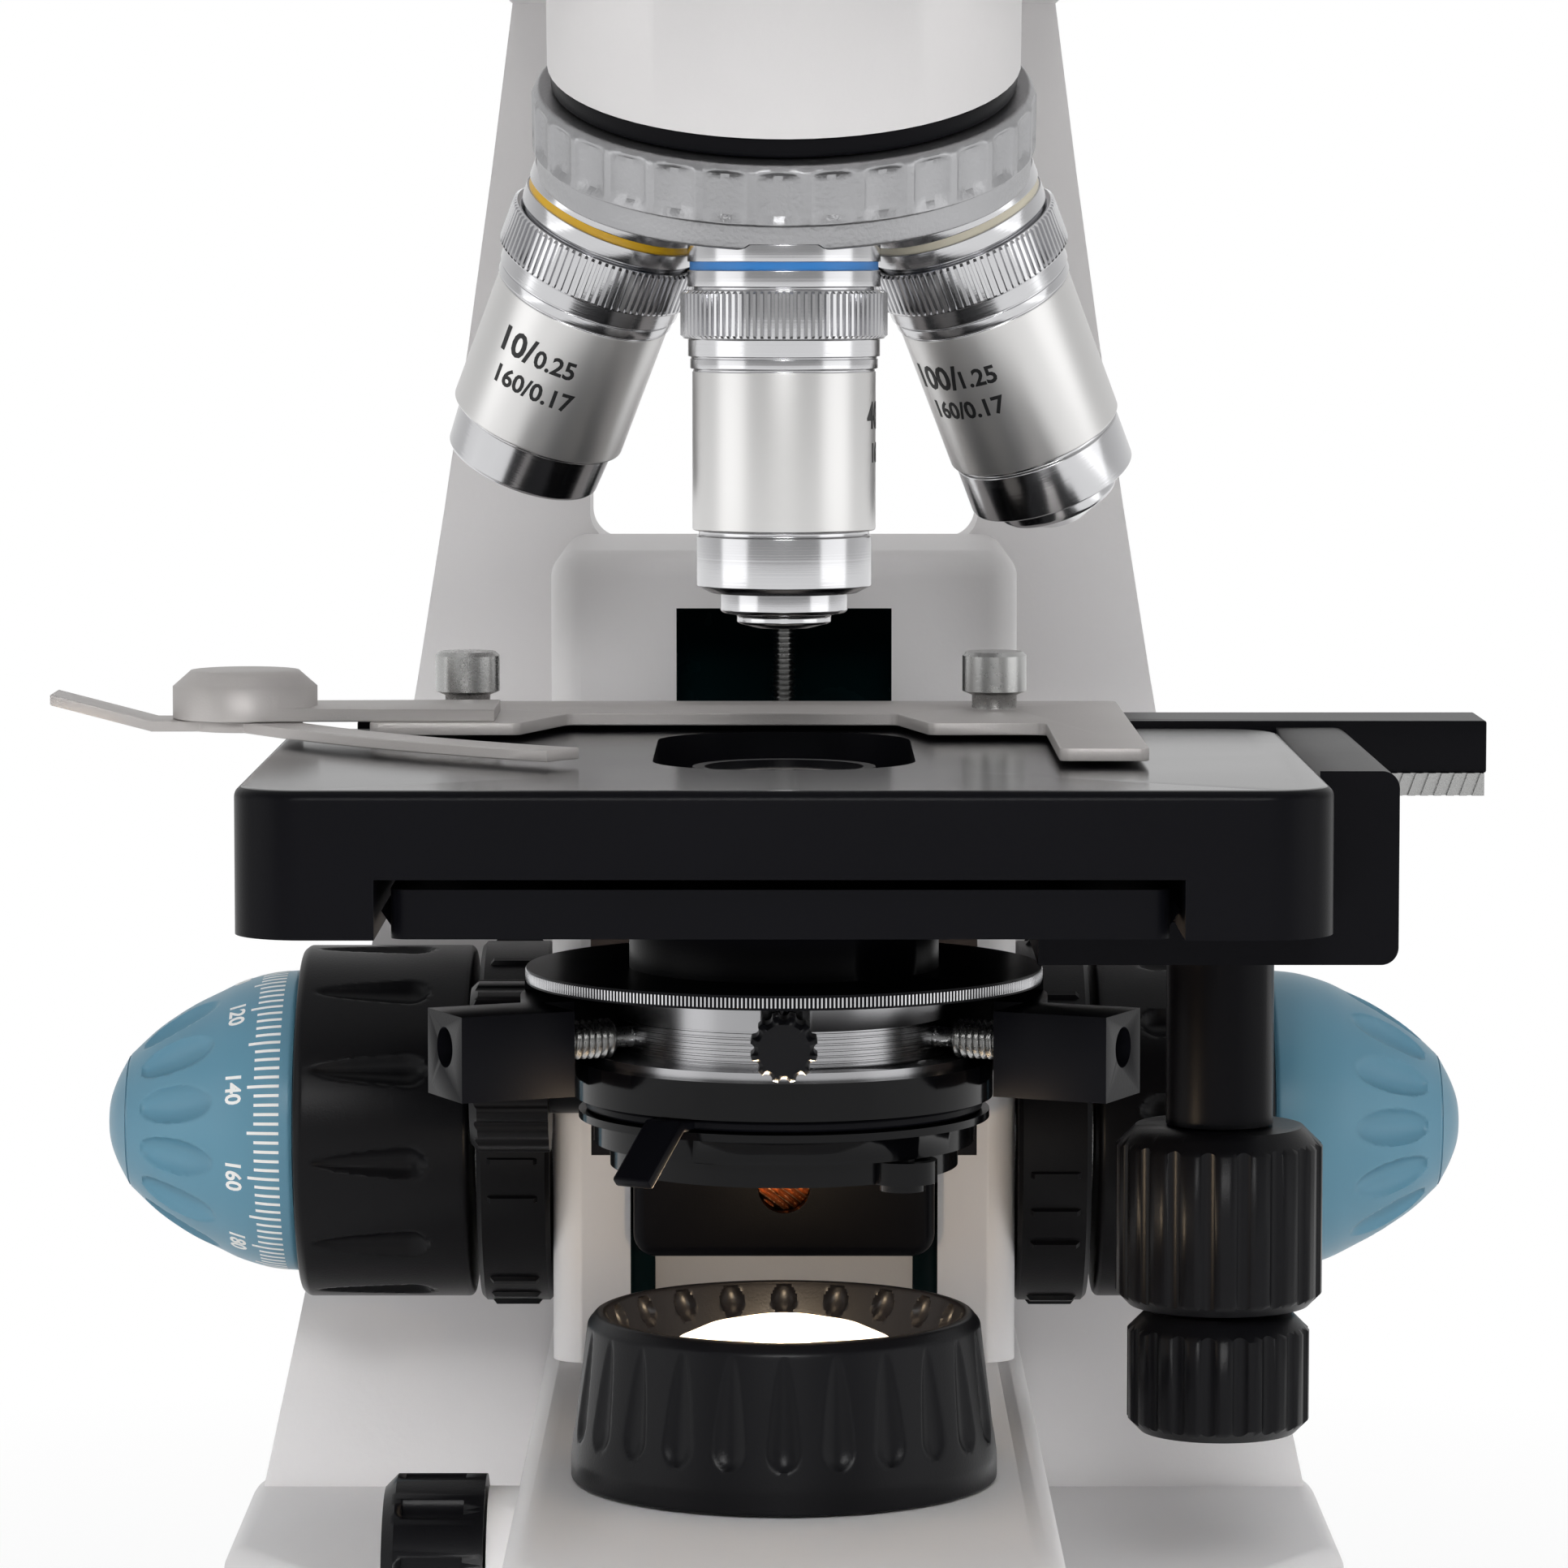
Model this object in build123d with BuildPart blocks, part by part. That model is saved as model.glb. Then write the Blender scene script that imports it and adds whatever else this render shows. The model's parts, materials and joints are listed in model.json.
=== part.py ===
from build123d import *
import math

# Compound microscope in millimetres: +X right, -Y towards the user, +Z up.
# Z = 0 is the table and the optical axis stands at X = Y = 0.

# Clearances
RUN = 0.05  # radial clearance of a shaft in its bearing
SLIDE = 0.1  # clearance beside a sliding face
GAP = 0.3  # gap between pieces that pass each other
FIT = 0.02  # clearance of a piece fixed on its shaft

# Base
FOOT_HEIGHT = 4.0
FOOT_RADIUS = 9.0
FOOT_INSET = 15.0  # foot centre in from the base outline
BASE_BEHIND_ARM = 2.0
BASE_HALF_WIDTH = 74.0
BASE_DECK = 28.0  # height of the rear deck
BASE_WALL = 5.0
BASE_CORNER = 22.0
DECK_ROUND = 3.0
PLATE_THICK = 1.6
PLATE_LEDGE = 2.5  # width of the rim that the base plate leaves
NOSE_FRONT = 62.0  # reach of the nose in front of the axis
NOSE_HALF_WIDTH = 34.0
NOSE_RISE = 26.0  # nose above the deck
NOSE_TAPER = 5.5  # degrees
NOSE_CORNER = 16.0
NOSE_ROUND = 4.0
FLARE_START = 20.0  # where the nose starts to widen to the rear
FLARE_END = 84.0
SCREW_RADIUS = 1.5
SCREW_HEAD = 3.0
SCREW_LENGTH = 9.0

# Arm and limb
COLUMN_DEPTH = 48.0
ARM_DEPTH = 24.0
ARM_STEP = 2.0  # deck left free beside the foot of the arm
ARM_HALF_MID = 51.2
ARM_HALF_TOP = 33.8
ARM_MID_HEIGHT = 134.0
NOSEPIECE_STACK = 32.5  # objective shoulder to the underside of the limb
LIMB_THICK = 26.0
LIMB_FRONT = 35.0  # reach of the limb in front of the axis
LIMB_ROUND = 40.0  # plan radius of the limb's front
LIMB_EDGE = 4.0
ELBOW_INNER = 18.0  # corner of the arm below the limb
ELBOW_OUTER = 28.0
WINDOW_HALF_WIDTH = 26.5
WINDOW_HEIGHT = 44.1
WINDOW_DROP = 29.0  # window below the limb
WINDOW_CORNER = 4.0
NECK_STEP = 0.4  # tilted neck beyond the nosepiece disc

# Focus column
COLUMN_HALF_WIDTH = 30.2
COLUMN_FRONT = 76.0
COLUMN_ROOF = 7.4
COLUMN_EDGE = 4.0
COLUMN_TOP_EDGE = 3.5
CHANNEL_HALF_WIDTH = 20.0
CHANNEL_CLEAR = 1.7  # room left above the carrier at the top of its travel
CHANNEL_DEPTH = 3.0  # room behind the slide
STRIP_WIDTH = 3.0  # guide strips on both channel walls
SLOT_HALF_WIDTH = 13.9
SLOT_RISE = 14.1
STOP_ROD_RADIUS = 1.5
STOP_ROD_BEHIND = 3.0  # stop rod behind the carrier
STOP_ROD_HOLE = 3.0
SLIDE_DROP = 3.0  # top of the slide below the channel at the top of its travel

# Focus drive
DRIVE_RACK = 1.0  # rack behind the slide
DRIVE_LIFT = 29.0  # focus axis above the nose
PINION_RADIUS = 5.0  # pitch radius of the focus pinion
COARSE_TUBE_RADIUS = 4.0
FINE_SHAFT_RADIUS = 2.0
BUSH_RADIUS = 11.9
BUSH_NECK = 8.0
RING_RADIUS = 23.9
RING_WIDTH = 9.5
COARSE_RADIUS = 23.35
RING_STEP = 0.7  # gap from ring to knob, beyond the running gap
COARSE_LENGTH = 22.9
FINE_RADIUS = 20.3
FINE_LENGTH = 26.0
FINE_WAIST = 17.3  # radius of a fine knob part of the way out
FINE_WAIST_AT = 10.6
CAP_RADIUS = 8.9  # end cap let into a fine knob
CAP_STEP = 0.4
CAP_RISE = 3.1
DIMPLE_RADIUS = 5.5
DIMPLE_DEPTH = 0.6
DIMPLE_LENGTH = 16.0
DIMPLE_SAG = 1.0  # bulge of the side over its chord
COARSE_DIMPLES = 12
FINE_DIMPLES = 13
COARSE_UP = 13.2  # travel of the stage above rest
COARSE_DOWN = 3.0
FINE_TRAVEL = 0.5

# Stage carrier
CARRIER_SIDE = 0.5  # carrier to channel wall
CARRIER_PROUD = 6.0  # carrier in front of the column
CARRIER_SUNK = 8.0  # carrier inside the column
CARRIER_HEIGHT = 54.3
CARRIER_HOLE = 3.4
CARRIER_CORNER = 3.0
CARRIER_EDGE = 1.5
SHELF_HALF_WIDTH = 28.0
SHELF_REACH = 37.0
SHELF_THICK = 7.4
SHELF_CORNER = 4.0
COARSE_SLIDE_THICK = 7.0

# Stage
LENS_BELOW_STAGE = 1.3
STAGE_HALF_WIDTH = 61.0
STAGE_FRONT = 48.5
STAGE_REAR = 41.0
STAGE_SKIRT = 16.5
STAGE_SLAB = 9.8
STAGE_CORNER = 8.0
STAGE_EDGE = 1.2
SKIRT_WIDTH_LEFT = 15.9
SKIRT_WIDTH_RIGHT = 16.9
PORT_WIDTH = 30.5
PORT_FRONT = 21.0
PORT_REAR = 34.5
RAIL_SLACK_LEFT = 0.4
RAIL_SLACK_RIGHT = 0.2
LOWER_THICK = 5.5
PLATE_SPACE = 1.4  # between the two stage plates
LOWER_INSET_FRONT = 3.0
LOWER_INSET_REAR = 2.0
RAIL_WIDTH = 1.2
Y_TRAVEL_BACK = 9.0
Y_TRAVEL_FRONT = 12.0

# Stage drive and slide holder
KNOB_INSET = 7.0  # knob axis in from the side of the stage
KNOB_INSET_REAR = 3.0
STAGE_PINION = 5.0  # pitch radius of both stage pinions
BAR_LEFT = 53.0
BAR_END = 10.3  # bar beyond the pinion at the end of its travel
BAR_STEP = 2.4  # bar behind the stage
BAR_DEPTH = 14.6
BAR_THICK = 6.5
BAR_LIFT = 0.7  # bar above the stage
X_RACK_HEIGHT = 2.8
X_RACK_PITCH = 1.6
X_RACK_LEAN = 20.0  # degrees that the teeth slant
GUIDE_LEFT = 40.0
GUIDE_RIGHT = 38.0
HOLDER_THICK = 1.5
BRACKET_PROUD = 9.1  # bracket beyond the side of the stage
BRACKET_CLEAR = 1.0  # bracket to shelf
BRACKET_FRONT = 22.5
BRACKET_BEHIND = 12.0  # bracket behind the knob axis
BRACKET_THICK = 4.9
BRACKET_CORNER = 2.0
TUBE_RADIUS = 6.65
TUBE_BORE = 4.6
TUBE_DROP = 26.6
Y_SHAFT_BORE = 2.6
Y_KNOB_RADIUS = 12.8
Y_KNOB_HEIGHT = 22.3
X_KNOB_RADIUS = 11.3
KNOB_STEP = 0.8  # between the two knobs
X_KNOB_HEIGHT = 15.1
STAGE_KNOB_FLUTES = 18
X_TRAVEL_LEFT = 23.0
THUMB_RADIUS = 4.0
THUMB_LEFT = 39.4
THUMB_RIGHT = 26.2
THUMB_Y = 46.0
HOLDER_LEFT = 50.0
HOLDER_FRONT = 20.5
SHOULDER_LEFT = 32.0
SHOULDER_RIGHT = 17.5
NOTCH_LEFT = 26.6
NOTCH_RIGHT = 13.8
NOTCH_Y = 36.0
JAW_LEFT = 31.6
JAW_RIGHT = 41.9
JAW_FRONT = 17.5
CLIP_X = 65.7  # pivot of the slide clip, left of the axis
CLIP_Y = 29.5
CLIP_CAP_RADIUS = 8.8
CLIP_CAP_HEIGHT = 4.3
CLIP_TIP_X = 25.3
CLIP_TIP_Y = 17.5
CLIP_TAIL = 23.3  # finger tail beyond the pivot

# Condenser
UPPER_HEIGHT = 23.5  # flange to the rim of the top lens
CONDENSER_RIM = 10.75
UPPER_BARREL = 18.2
BARREL_CLEAR = 1.6  # upper barrel below the moving plate
FLANGE_RADIUS = 30.3
FLANGE_THICK = 1.7
BARREL_LENGTH = 8.1
BARREL_RADIUS = 19.6
SKIRT_RING_RADIUS = 23.2
SKIRT_RING_THICK = 1.0
IRIS_DRUM = 4.4
IRIS_RADIUS = 24.6
IRIS_RING = 2.5
IRIS_LOWER_STEP = 0.4
IRIS_TAIL = 2.9
IRIS_TAIL_STEP = 2.2
CONDENSER_CLEAR = 8.5  # iris to lamp at the bottom of the condenser travel
IRIS_CLEAR = 14.0
FORK_CLEAR = 1.0  # fork round the iris housing
FORK_WIDTH = 5.4
FORK_THICK = 9.9
FORK_SEAT_THICK = 1.7
SEAT_CLEAR = 0.8  # fork seat round the barrel
LUG_ANGLE = 25.0  # degrees that the lugs lie forward of the side
LUG_STEP = 5.0
LUG_SIZE = 10.4
CENTRING_RADIUS = 2.3
CLAMP_RADIUS = 3.85
CLAMP_FACE = 33.0
HEIGHT_KNOB_RADIUS = 11.0
HEIGHT_KNOB_WIDTH = 10.0
HUB_LENGTH = 5.7
HEIGHT_AHEAD = 9.0  # pinion axis in front of the carrier
HEIGHT_DROP = 6.7  # pinion axis below the fork
HEIGHT_PINION = 5.0
SUBSTAGE_DOWN = 12.0
SUBSTAGE_THICK = 10.0
SUBSTAGE_HALF_WIDTH = 18.0
SUBSTAGE_DROP = 5.0  # slide plate below the pinion axis
CHEEK_WIDTH = 6.0
CHEEK_PROUD = 2.0
CHEEK_DROP = 9.0
FILTER_RADIUS = 20.5
FILTER_BORE = 16.0
FILTER_THICK = 2.6
FILTER_PIVOT_ANGLE = -48.0

# Nosepiece and objectives
PARFOCAL = 45.0  # shoulder to specimen
FOCUS_CLEAR = 1.0  # specimen plane above the stage at the top of its travel
TURRET_TILT = 20.0
HOLE_CIRCLE = 19.0
HOLE_COUNT = 4
RMS_RADIUS = 10.16  # standard objective thread
THREAD_LENGTH = 4.5
SEAT_STEP = 1.34
FLANGE_STEP = 0.5
TURRET_RIM = 10.9  # turret beyond the hole circle
TURRET_RIM_LOW = 6.0
TURRET_RIM_HIGH = 13.2
TURRET_FLUTES = 30
DISC_STEP = 2.3
DISC_TOP = 16.0
PIVOT_RADIUS = 4.0
PIVOT_HEAD = 7.0
PIVOT_DEPTH = 4.0  # pivot end in the arm
BARREL_BAND = 11.26
BARREL_RING = 10.8
KNURL_RADIUS = 12.1
KNURL_START = 5.3
KNURL_END = 10.9
SLEEVE_RADIUS = 10.7
SLEEVE_END = 33.2
TIP_RING = 10.28
TIP_RING_END = 40.6
SPRING_TRAVEL = 2.0

# Lamp, switch and dimmer
COLLECTOR_HEIGHT = 19.9
COLLECTOR_WALL = 4.2
COLLECTOR_FLARE = 2.0
LENS_WALL = 2.5
COLLECTOR_DIMPLES = 24
COLLECTOR_NOTCHES = 20
COLLECTOR_NOTCH = 1.6
GRIP_RADIUS = 1.6
GRIP_OUT = 1.0
LENS_RADIUS = 16.5
LENS_LIFT = 12.0
LAMP_TUBE = 14.0
DIMMER_RADIUS = 13.0
DIMMER_WIDTH = 12.1
DIMMER_STEP = 1.5
DIMMER_Y = 6.0
DIMMER_LIFT = 12.0
DIMMER_SHAFT = 3.0
DIMMER_BOSS = 11.5
SWITCH_X = 34.0
SWITCH_WIDTH = 19.0
SWITCH_HEIGHT = 12.6
INLET_X = -34.0
INLET_RADIUS = 4.0
INLET_BODY = 6.0
ROCKER_PIN = 1.5
ROCKER_PIN_LENGTH = 2.0
ROCK = 7.0  # degrees that the rocker tips to each side

# Viewing head
HEAD_RADIUS = 26.0
HEAD_EDGE = 3.0
SOCKET_RADIUS = 21.0
SOCKET_DEPTH = 7.0
HEAD_PITCH = 30.0  # degrees that the eye tubes rise
HINGE_Y = -58.0
HINGE_RISE = 38.0
SWING_RADIUS = 37.5  # hinge axis to tube axis
EYE_SPACING = 62.0
HOUSING_DEPTH = 22.0
HOUSING_RADIUS = 20.0
HINGE_DISC = 15.0
TUBE_OUTER = 15.0
EYE_BORE = 11.6  # standard eyepiece barrel
TUBE_LENGTH = 40.0
EYE_REACH = 150.0  # front of the eye cups from the axis
EYEPIECE_RADIUS = 17.0
DIOPTRE_RADIUS = 17.4
DIOPTRE_WIDTH = 11.0

# Heights, from the table up
NOSE_TOP = BASE_DECK + NOSE_RISE
SWITCH_Z = (FOOT_HEIGHT + BASE_DECK) / 2
DIMMER_Z = BASE_DECK + DIMMER_LIFT
DRIVE_Z = NOSE_TOP + DRIVE_LIFT
LENS_HEIGHT = NOSE_TOP + LENS_LIFT
COLLECTOR_TOP = NOSE_TOP + COLLECTOR_HEIGHT
IRIS_BOTTOM = COLLECTOR_TOP + SUBSTAGE_DOWN + CONDENSER_CLEAR
IRIS_RING_BOTTOM = IRIS_BOTTOM + IRIS_TAIL
IRIS_SPLIT = IRIS_RING_BOTTOM + IRIS_RING
SKIRT_RING_BOTTOM = IRIS_SPLIT + IRIS_DRUM
BARREL_BOTTOM = SKIRT_RING_BOTTOM + SKIRT_RING_THICK
FLANGE_BOTTOM = BARREL_BOTTOM + BARREL_LENGTH
FLANGE_TOP = FLANGE_BOTTOM + FLANGE_THICK
CONDENSER_TOP = FLANGE_TOP + UPPER_HEIGHT
CENTRING_Z = BARREL_BOTTOM + CENTRING_RADIUS + SLIDE
CLAMP_Z = FLANGE_BOTTOM - CLAMP_RADIUS - GAP
FORK_TOP = FLANGE_BOTTOM - FORK_SEAT_THICK
FORK_BOTTOM = FORK_TOP - FORK_THICK
HEIGHT_Z = FORK_BOTTOM - HEIGHT_DROP
SUBSTAGE_BOTTOM = HEIGHT_Z - SUBSTAGE_DROP
CHEEK_BOTTOM = HEIGHT_Z - CHEEK_DROP
STAGE_TOP = CONDENSER_TOP + LENS_BELOW_STAGE
STAGE_BOTTOM = STAGE_TOP - STAGE_SKIRT
UPPER_BARREL_TOP = STAGE_TOP - STAGE_SLAB - BARREL_CLEAR
LOWER_TOP = STAGE_TOP - STAGE_SLAB - PLATE_SPACE
LOWER_BOTTOM = LOWER_TOP - LOWER_THICK
SHELF_BOTTOM = LOWER_BOTTOM - SHELF_THICK
CARRIER_BOTTOM = LOWER_BOTTOM - CARRIER_HEIGHT
CARRIER_HOLE_Z = DRIVE_Z - PINION_RADIUS
BAR_TOP = STAGE_TOP + BAR_LIFT
BAR_BOTTOM = BAR_TOP - BAR_THICK
BRACKET_TOP = min(LOWER_BOTTOM, STAGE_BOTTOM) - 2 * GAP
BRACKET_BOTTOM = BRACKET_TOP - BRACKET_THICK
TUBE_BOTTOM = BRACKET_BOTTOM - TUBE_DROP
Y_KNOB_BOTTOM = TUBE_BOTTOM - GAP - Y_KNOB_HEIGHT
X_KNOB_TOP = Y_KNOB_BOTTOM - KNOB_STEP
X_KNOB_BOTTOM = X_KNOB_TOP - X_KNOB_HEIGHT
CHANNEL_TOP = LOWER_BOTTOM + COARSE_UP + FINE_TRAVEL + CHANNEL_CLEAR
SLOT_TOP = CHANNEL_TOP + SLOT_RISE
COLUMN_TOP = SLOT_TOP + COLUMN_ROOF
SEAT_HEIGHT = STAGE_TOP + COARSE_UP + FINE_TRAVEL + FOCUS_CLEAR + PARFOCAL
LIMB_BOTTOM = SEAT_HEIGHT + NOSEPIECE_STACK
LIMB_TOP = LIMB_BOTTOM + LIMB_THICK
WINDOW_TOP = LIMB_BOTTOM - WINDOW_DROP
WINDOW_SILL = WINDOW_TOP - WINDOW_HEIGHT
HINGE_Z = LIMB_TOP + HINGE_RISE

# Depths, from the optical axis to the rear
CARRIER_FRONT = COLUMN_FRONT - CARRIER_PROUD
CARRIER_BACK = COLUMN_FRONT + CARRIER_SUNK
COARSE_SLIDE_BACK = CARRIER_BACK + COARSE_SLIDE_THICK
CHANNEL_BACK = COARSE_SLIDE_BACK + CHANNEL_DEPTH
DRIVE_Y = COARSE_SLIDE_BACK + DRIVE_RACK + PINION_RADIUS
ARM_FRONT = COLUMN_FRONT + COLUMN_DEPTH
ARM_BACK = ARM_FRONT + ARM_DEPTH
BASE_REAR = ARM_BACK + BASE_BEHIND_ARM
SHELF_FRONT = CARRIER_FRONT - SHELF_REACH
HEIGHT_Y = CARRIER_FRONT - HEIGHT_AHEAD
SUBSTAGE_PLATE_FRONT = HEIGHT_Y - HEIGHT_PINION - SUBSTAGE_THICK
CHEEK_FRONT = SUBSTAGE_PLATE_FRONT - CHEEK_PROUD
LOWER_FRONT = STAGE_FRONT - LOWER_INSET_FRONT
LOWER_REAR = STAGE_REAR - LOWER_INSET_REAR
KNOB_Y = STAGE_REAR - KNOB_INSET_REAR
BAR_FRONT = STAGE_REAR + BAR_STEP
BAR_REAR = BAR_FRONT + BAR_DEPTH
BRACKET_REAR = KNOB_Y + BRACKET_BEHIND

# Widths and radii, from the middle outwards
ARM_HALF_FOOT = BASE_HALF_WIDTH - ARM_STEP
COARSE_START = COLUMN_HALF_WIDTH + GAP + RING_WIDTH + GAP + RING_STEP
COARSE_END = COARSE_START + COARSE_LENGTH
FINE_END = COARSE_END + GAP + FINE_LENGTH
CARRIER_HALF_WIDTH = CHANNEL_HALF_WIDTH - CARRIER_SIDE
SKIRT_LEFT = STAGE_HALF_WIDTH - SKIRT_WIDTH_LEFT
SKIRT_RIGHT = STAGE_HALF_WIDTH - SKIRT_WIDTH_RIGHT
LOWER_LEFT = SKIRT_LEFT - RAIL_WIDTH - RAIL_SLACK_LEFT
LOWER_RIGHT = SKIRT_RIGHT - RAIL_WIDTH - RAIL_SLACK_RIGHT
KNOB_X = STAGE_HALF_WIDTH - KNOB_INSET
BAR_RIGHT = KNOB_X + X_TRAVEL_LEFT + BAR_END
BRACKET_RIGHT = STAGE_HALF_WIDTH + BRACKET_PROUD
BRACKET_LEFT = SHELF_HALF_WIDTH + BRACKET_CLEAR
CLIP_TAIL_X = CLIP_X + CLIP_TAIL
IRIS_LOWER_RADIUS = IRIS_RADIUS - IRIS_LOWER_STEP
IRIS_TAIL_RADIUS = IRIS_RADIUS - IRIS_TAIL_STEP
FORK_INNER = IRIS_RADIUS + FORK_CLEAR
FORK_OUTER = FORK_INNER + FORK_WIDTH
FORK_SEAT = BARREL_RADIUS + SEAT_CLEAR
LUG_REACH = FORK_OUTER + LUG_STEP
CHEEK_INNER = SUBSTAGE_HALF_WIDTH + SLIDE
CHEEK_OUTER = CHEEK_INNER + CHEEK_WIDTH
HEIGHT_KNOB_RIGHT = CHEEK_OUTER + HUB_LENGTH
HEIGHT_KNOB_LEFT = HEIGHT_KNOB_RIGHT + HEIGHT_KNOB_WIDTH
SEAT_RADIUS = RMS_RADIUS + SEAT_STEP
TURRET_RADIUS = HOLE_CIRCLE + TURRET_RIM
FLANGE_OUT = TURRET_RADIUS - FLANGE_STEP
DISC_RADIUS = TURRET_RADIUS - DISC_STEP
NECK_RADIUS = DISC_RADIUS + NECK_STEP
COLLECTOR_BORE = LENS_RADIUS + LENS_WALL
COLLECTOR_TOP_RADIUS = COLLECTOR_BORE + COLLECTOR_WALL
COLLECTOR_FOOT_RADIUS = COLLECTOR_TOP_RADIUS + COLLECTOR_FLARE
DIMMER_RIGHT = NOSE_HALF_WIDTH + DIMMER_STEP
DIMMER_LEFT = DIMMER_RIGHT + DIMMER_WIDTH

# Places worked out from the sizes above
TILT_SIN = math.sin(math.radians(TURRET_TILT))
TILT_COS = math.cos(math.radians(TURRET_TILT))
turret_plane = Plane(
    (0, HOLE_CIRCLE * TILT_COS, SEAT_HEIGHT + HOLE_CIRCLE * TILT_SIN),
    x_dir=(1, 0, 0),
    z_dir=(0, -TILT_SIN, TILT_COS),
)
drive_plane = Plane((0, DRIVE_Y, DRIVE_Z), x_dir=(0, 0, 1), z_dir=(1, 0, 0))


def turn(corners, spindle, mode=Mode.ADD):
    """Turn a profile of (radius, height) corners about the spindle's Z axis."""
    side = spindle.x_dir.cross(spindle.z_dir)
    section = Plane(spindle.origin, x_dir=spindle.x_dir, z_dir=side)
    with BuildSketch(section, mode=Mode.PRIVATE) as profile:
        with BuildLine():
            Polyline(*corners, close=True)
        make_face()
    revolve(profile.sketch, axis=Axis(spindle.origin, spindle.z_dir), mode=mode)


def upright(corners, mode=Mode.ADD):
    """Turn a profile of (radius, height) corners about the optical axis."""
    turn(corners, Plane.XY, mode)


def block(x, y, z, mode=Mode.ADD):
    """Box between three (low, high) pairs."""
    with Locations(((x[0] + x[1]) / 2, (y[0] + y[1]) / 2, (z[0] + z[1]) / 2)):
        Box(x[1] - x[0], y[1] - y[0], z[1] - z[0], mode=mode)


def rod(radius, start, end, mode=Mode.ADD):
    """Round bar between two points."""
    run = Vector(*end) - Vector(*start)
    with BuildSketch(Plane(start, z_dir=run), mode=Mode.PRIVATE) as section:
        Circle(radius)
    extrude(section.sketch, amount=run.length, mode=mode)


def domed_lens(rim, low, shoulder, top):
    """Lens on the optical axis, flat below and domed from its shoulder to its top."""
    rise = top - shoulder
    ball = (rim**2 + rise**2) / (2 * rise)
    middle = (rim / 2, top - ball + math.sqrt(ball**2 - rim**2 / 4))
    with BuildPart() as lens:
        with BuildSketch(Plane.XZ):
            with BuildLine():
                Polyline((0, top), (0, low), (rim, low), (rim, shoulder))
                ThreePointArc((rim, shoulder), middle, (0, top))
            make_face()
        revolve(axis=Axis.Z)
    return lens


def plan_plate(corners, low, high, mode=Mode.ADD, corner_radius=0):
    """Plate between two heights with a polygon plan."""
    with BuildSketch(Plane.XY.offset(low), mode=Mode.PRIVATE) as plan:
        with BuildLine():
            Polyline(*corners, close=True)
        make_face()
        if corner_radius:
            fillet(plan.vertices(), corner_radius)
    extrude(plan.sketch, amount=high - low, mode=mode)


def base_plan(height, inset):
    """Outline of the base at a height, drawn in by an inset."""
    with BuildSketch(Plane.XY.offset(height), mode=Mode.PRIVATE) as plan:
        with BuildLine():
            Polyline(
                (-NOSE_HALF_WIDTH, -NOSE_FRONT),
                (NOSE_HALF_WIDTH, -NOSE_FRONT),
                (NOSE_HALF_WIDTH, FLARE_START),
                (BASE_HALF_WIDTH, FLARE_END),
                (BASE_HALF_WIDTH, BASE_REAR),
                (-BASE_HALF_WIDTH, BASE_REAR),
                (-BASE_HALF_WIDTH, FLARE_END),
                (-NOSE_HALF_WIDTH, FLARE_START),
                close=True,
            )
        make_face()
        fillet(plan.vertices().group_by(Axis.Y)[0], NOSE_CORNER)
        fillet(plan.vertices().group_by(Axis.Y)[-1], BASE_CORNER)
        if inset:
            offset(amount=-inset, mode=Mode.REPLACE)
    return plan.sketch


# Feet and base plate screws stand at the same four corners
FRONT_FOOT = (NOSE_HALF_WIDTH - FOOT_INSET, -NOSE_FRONT + FOOT_INSET + FOOT_RADIUS / 2)
REAR_FOOT = (BASE_HALF_WIDTH - FOOT_INSET, BASE_REAR - FOOT_INSET - FOOT_RADIUS)
foot_places = [(side * x, y) for x, y in (FRONT_FOOT, REAR_FOOT) for side in (-1, 1)]
SCREW_STEP = FOOT_RADIUS + SCREW_HEAD + 2.0
screw_places = [(x, y + SCREW_STEP) for x, y in foot_places[:2]]
screw_places += [(x, y - SCREW_STEP) for x, y in foot_places[2:]]
PLATE_TOP = FOOT_HEIGHT + PLATE_THICK
ROOF = BASE_DECK - BASE_WALL
NOSE_ROOF = NOSE_TOP - BASE_WALL
REAR_WALL = BASE_REAR - BASE_WALL
ROCKER_Y = BASE_REAR - BASE_WALL / 2

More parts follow.
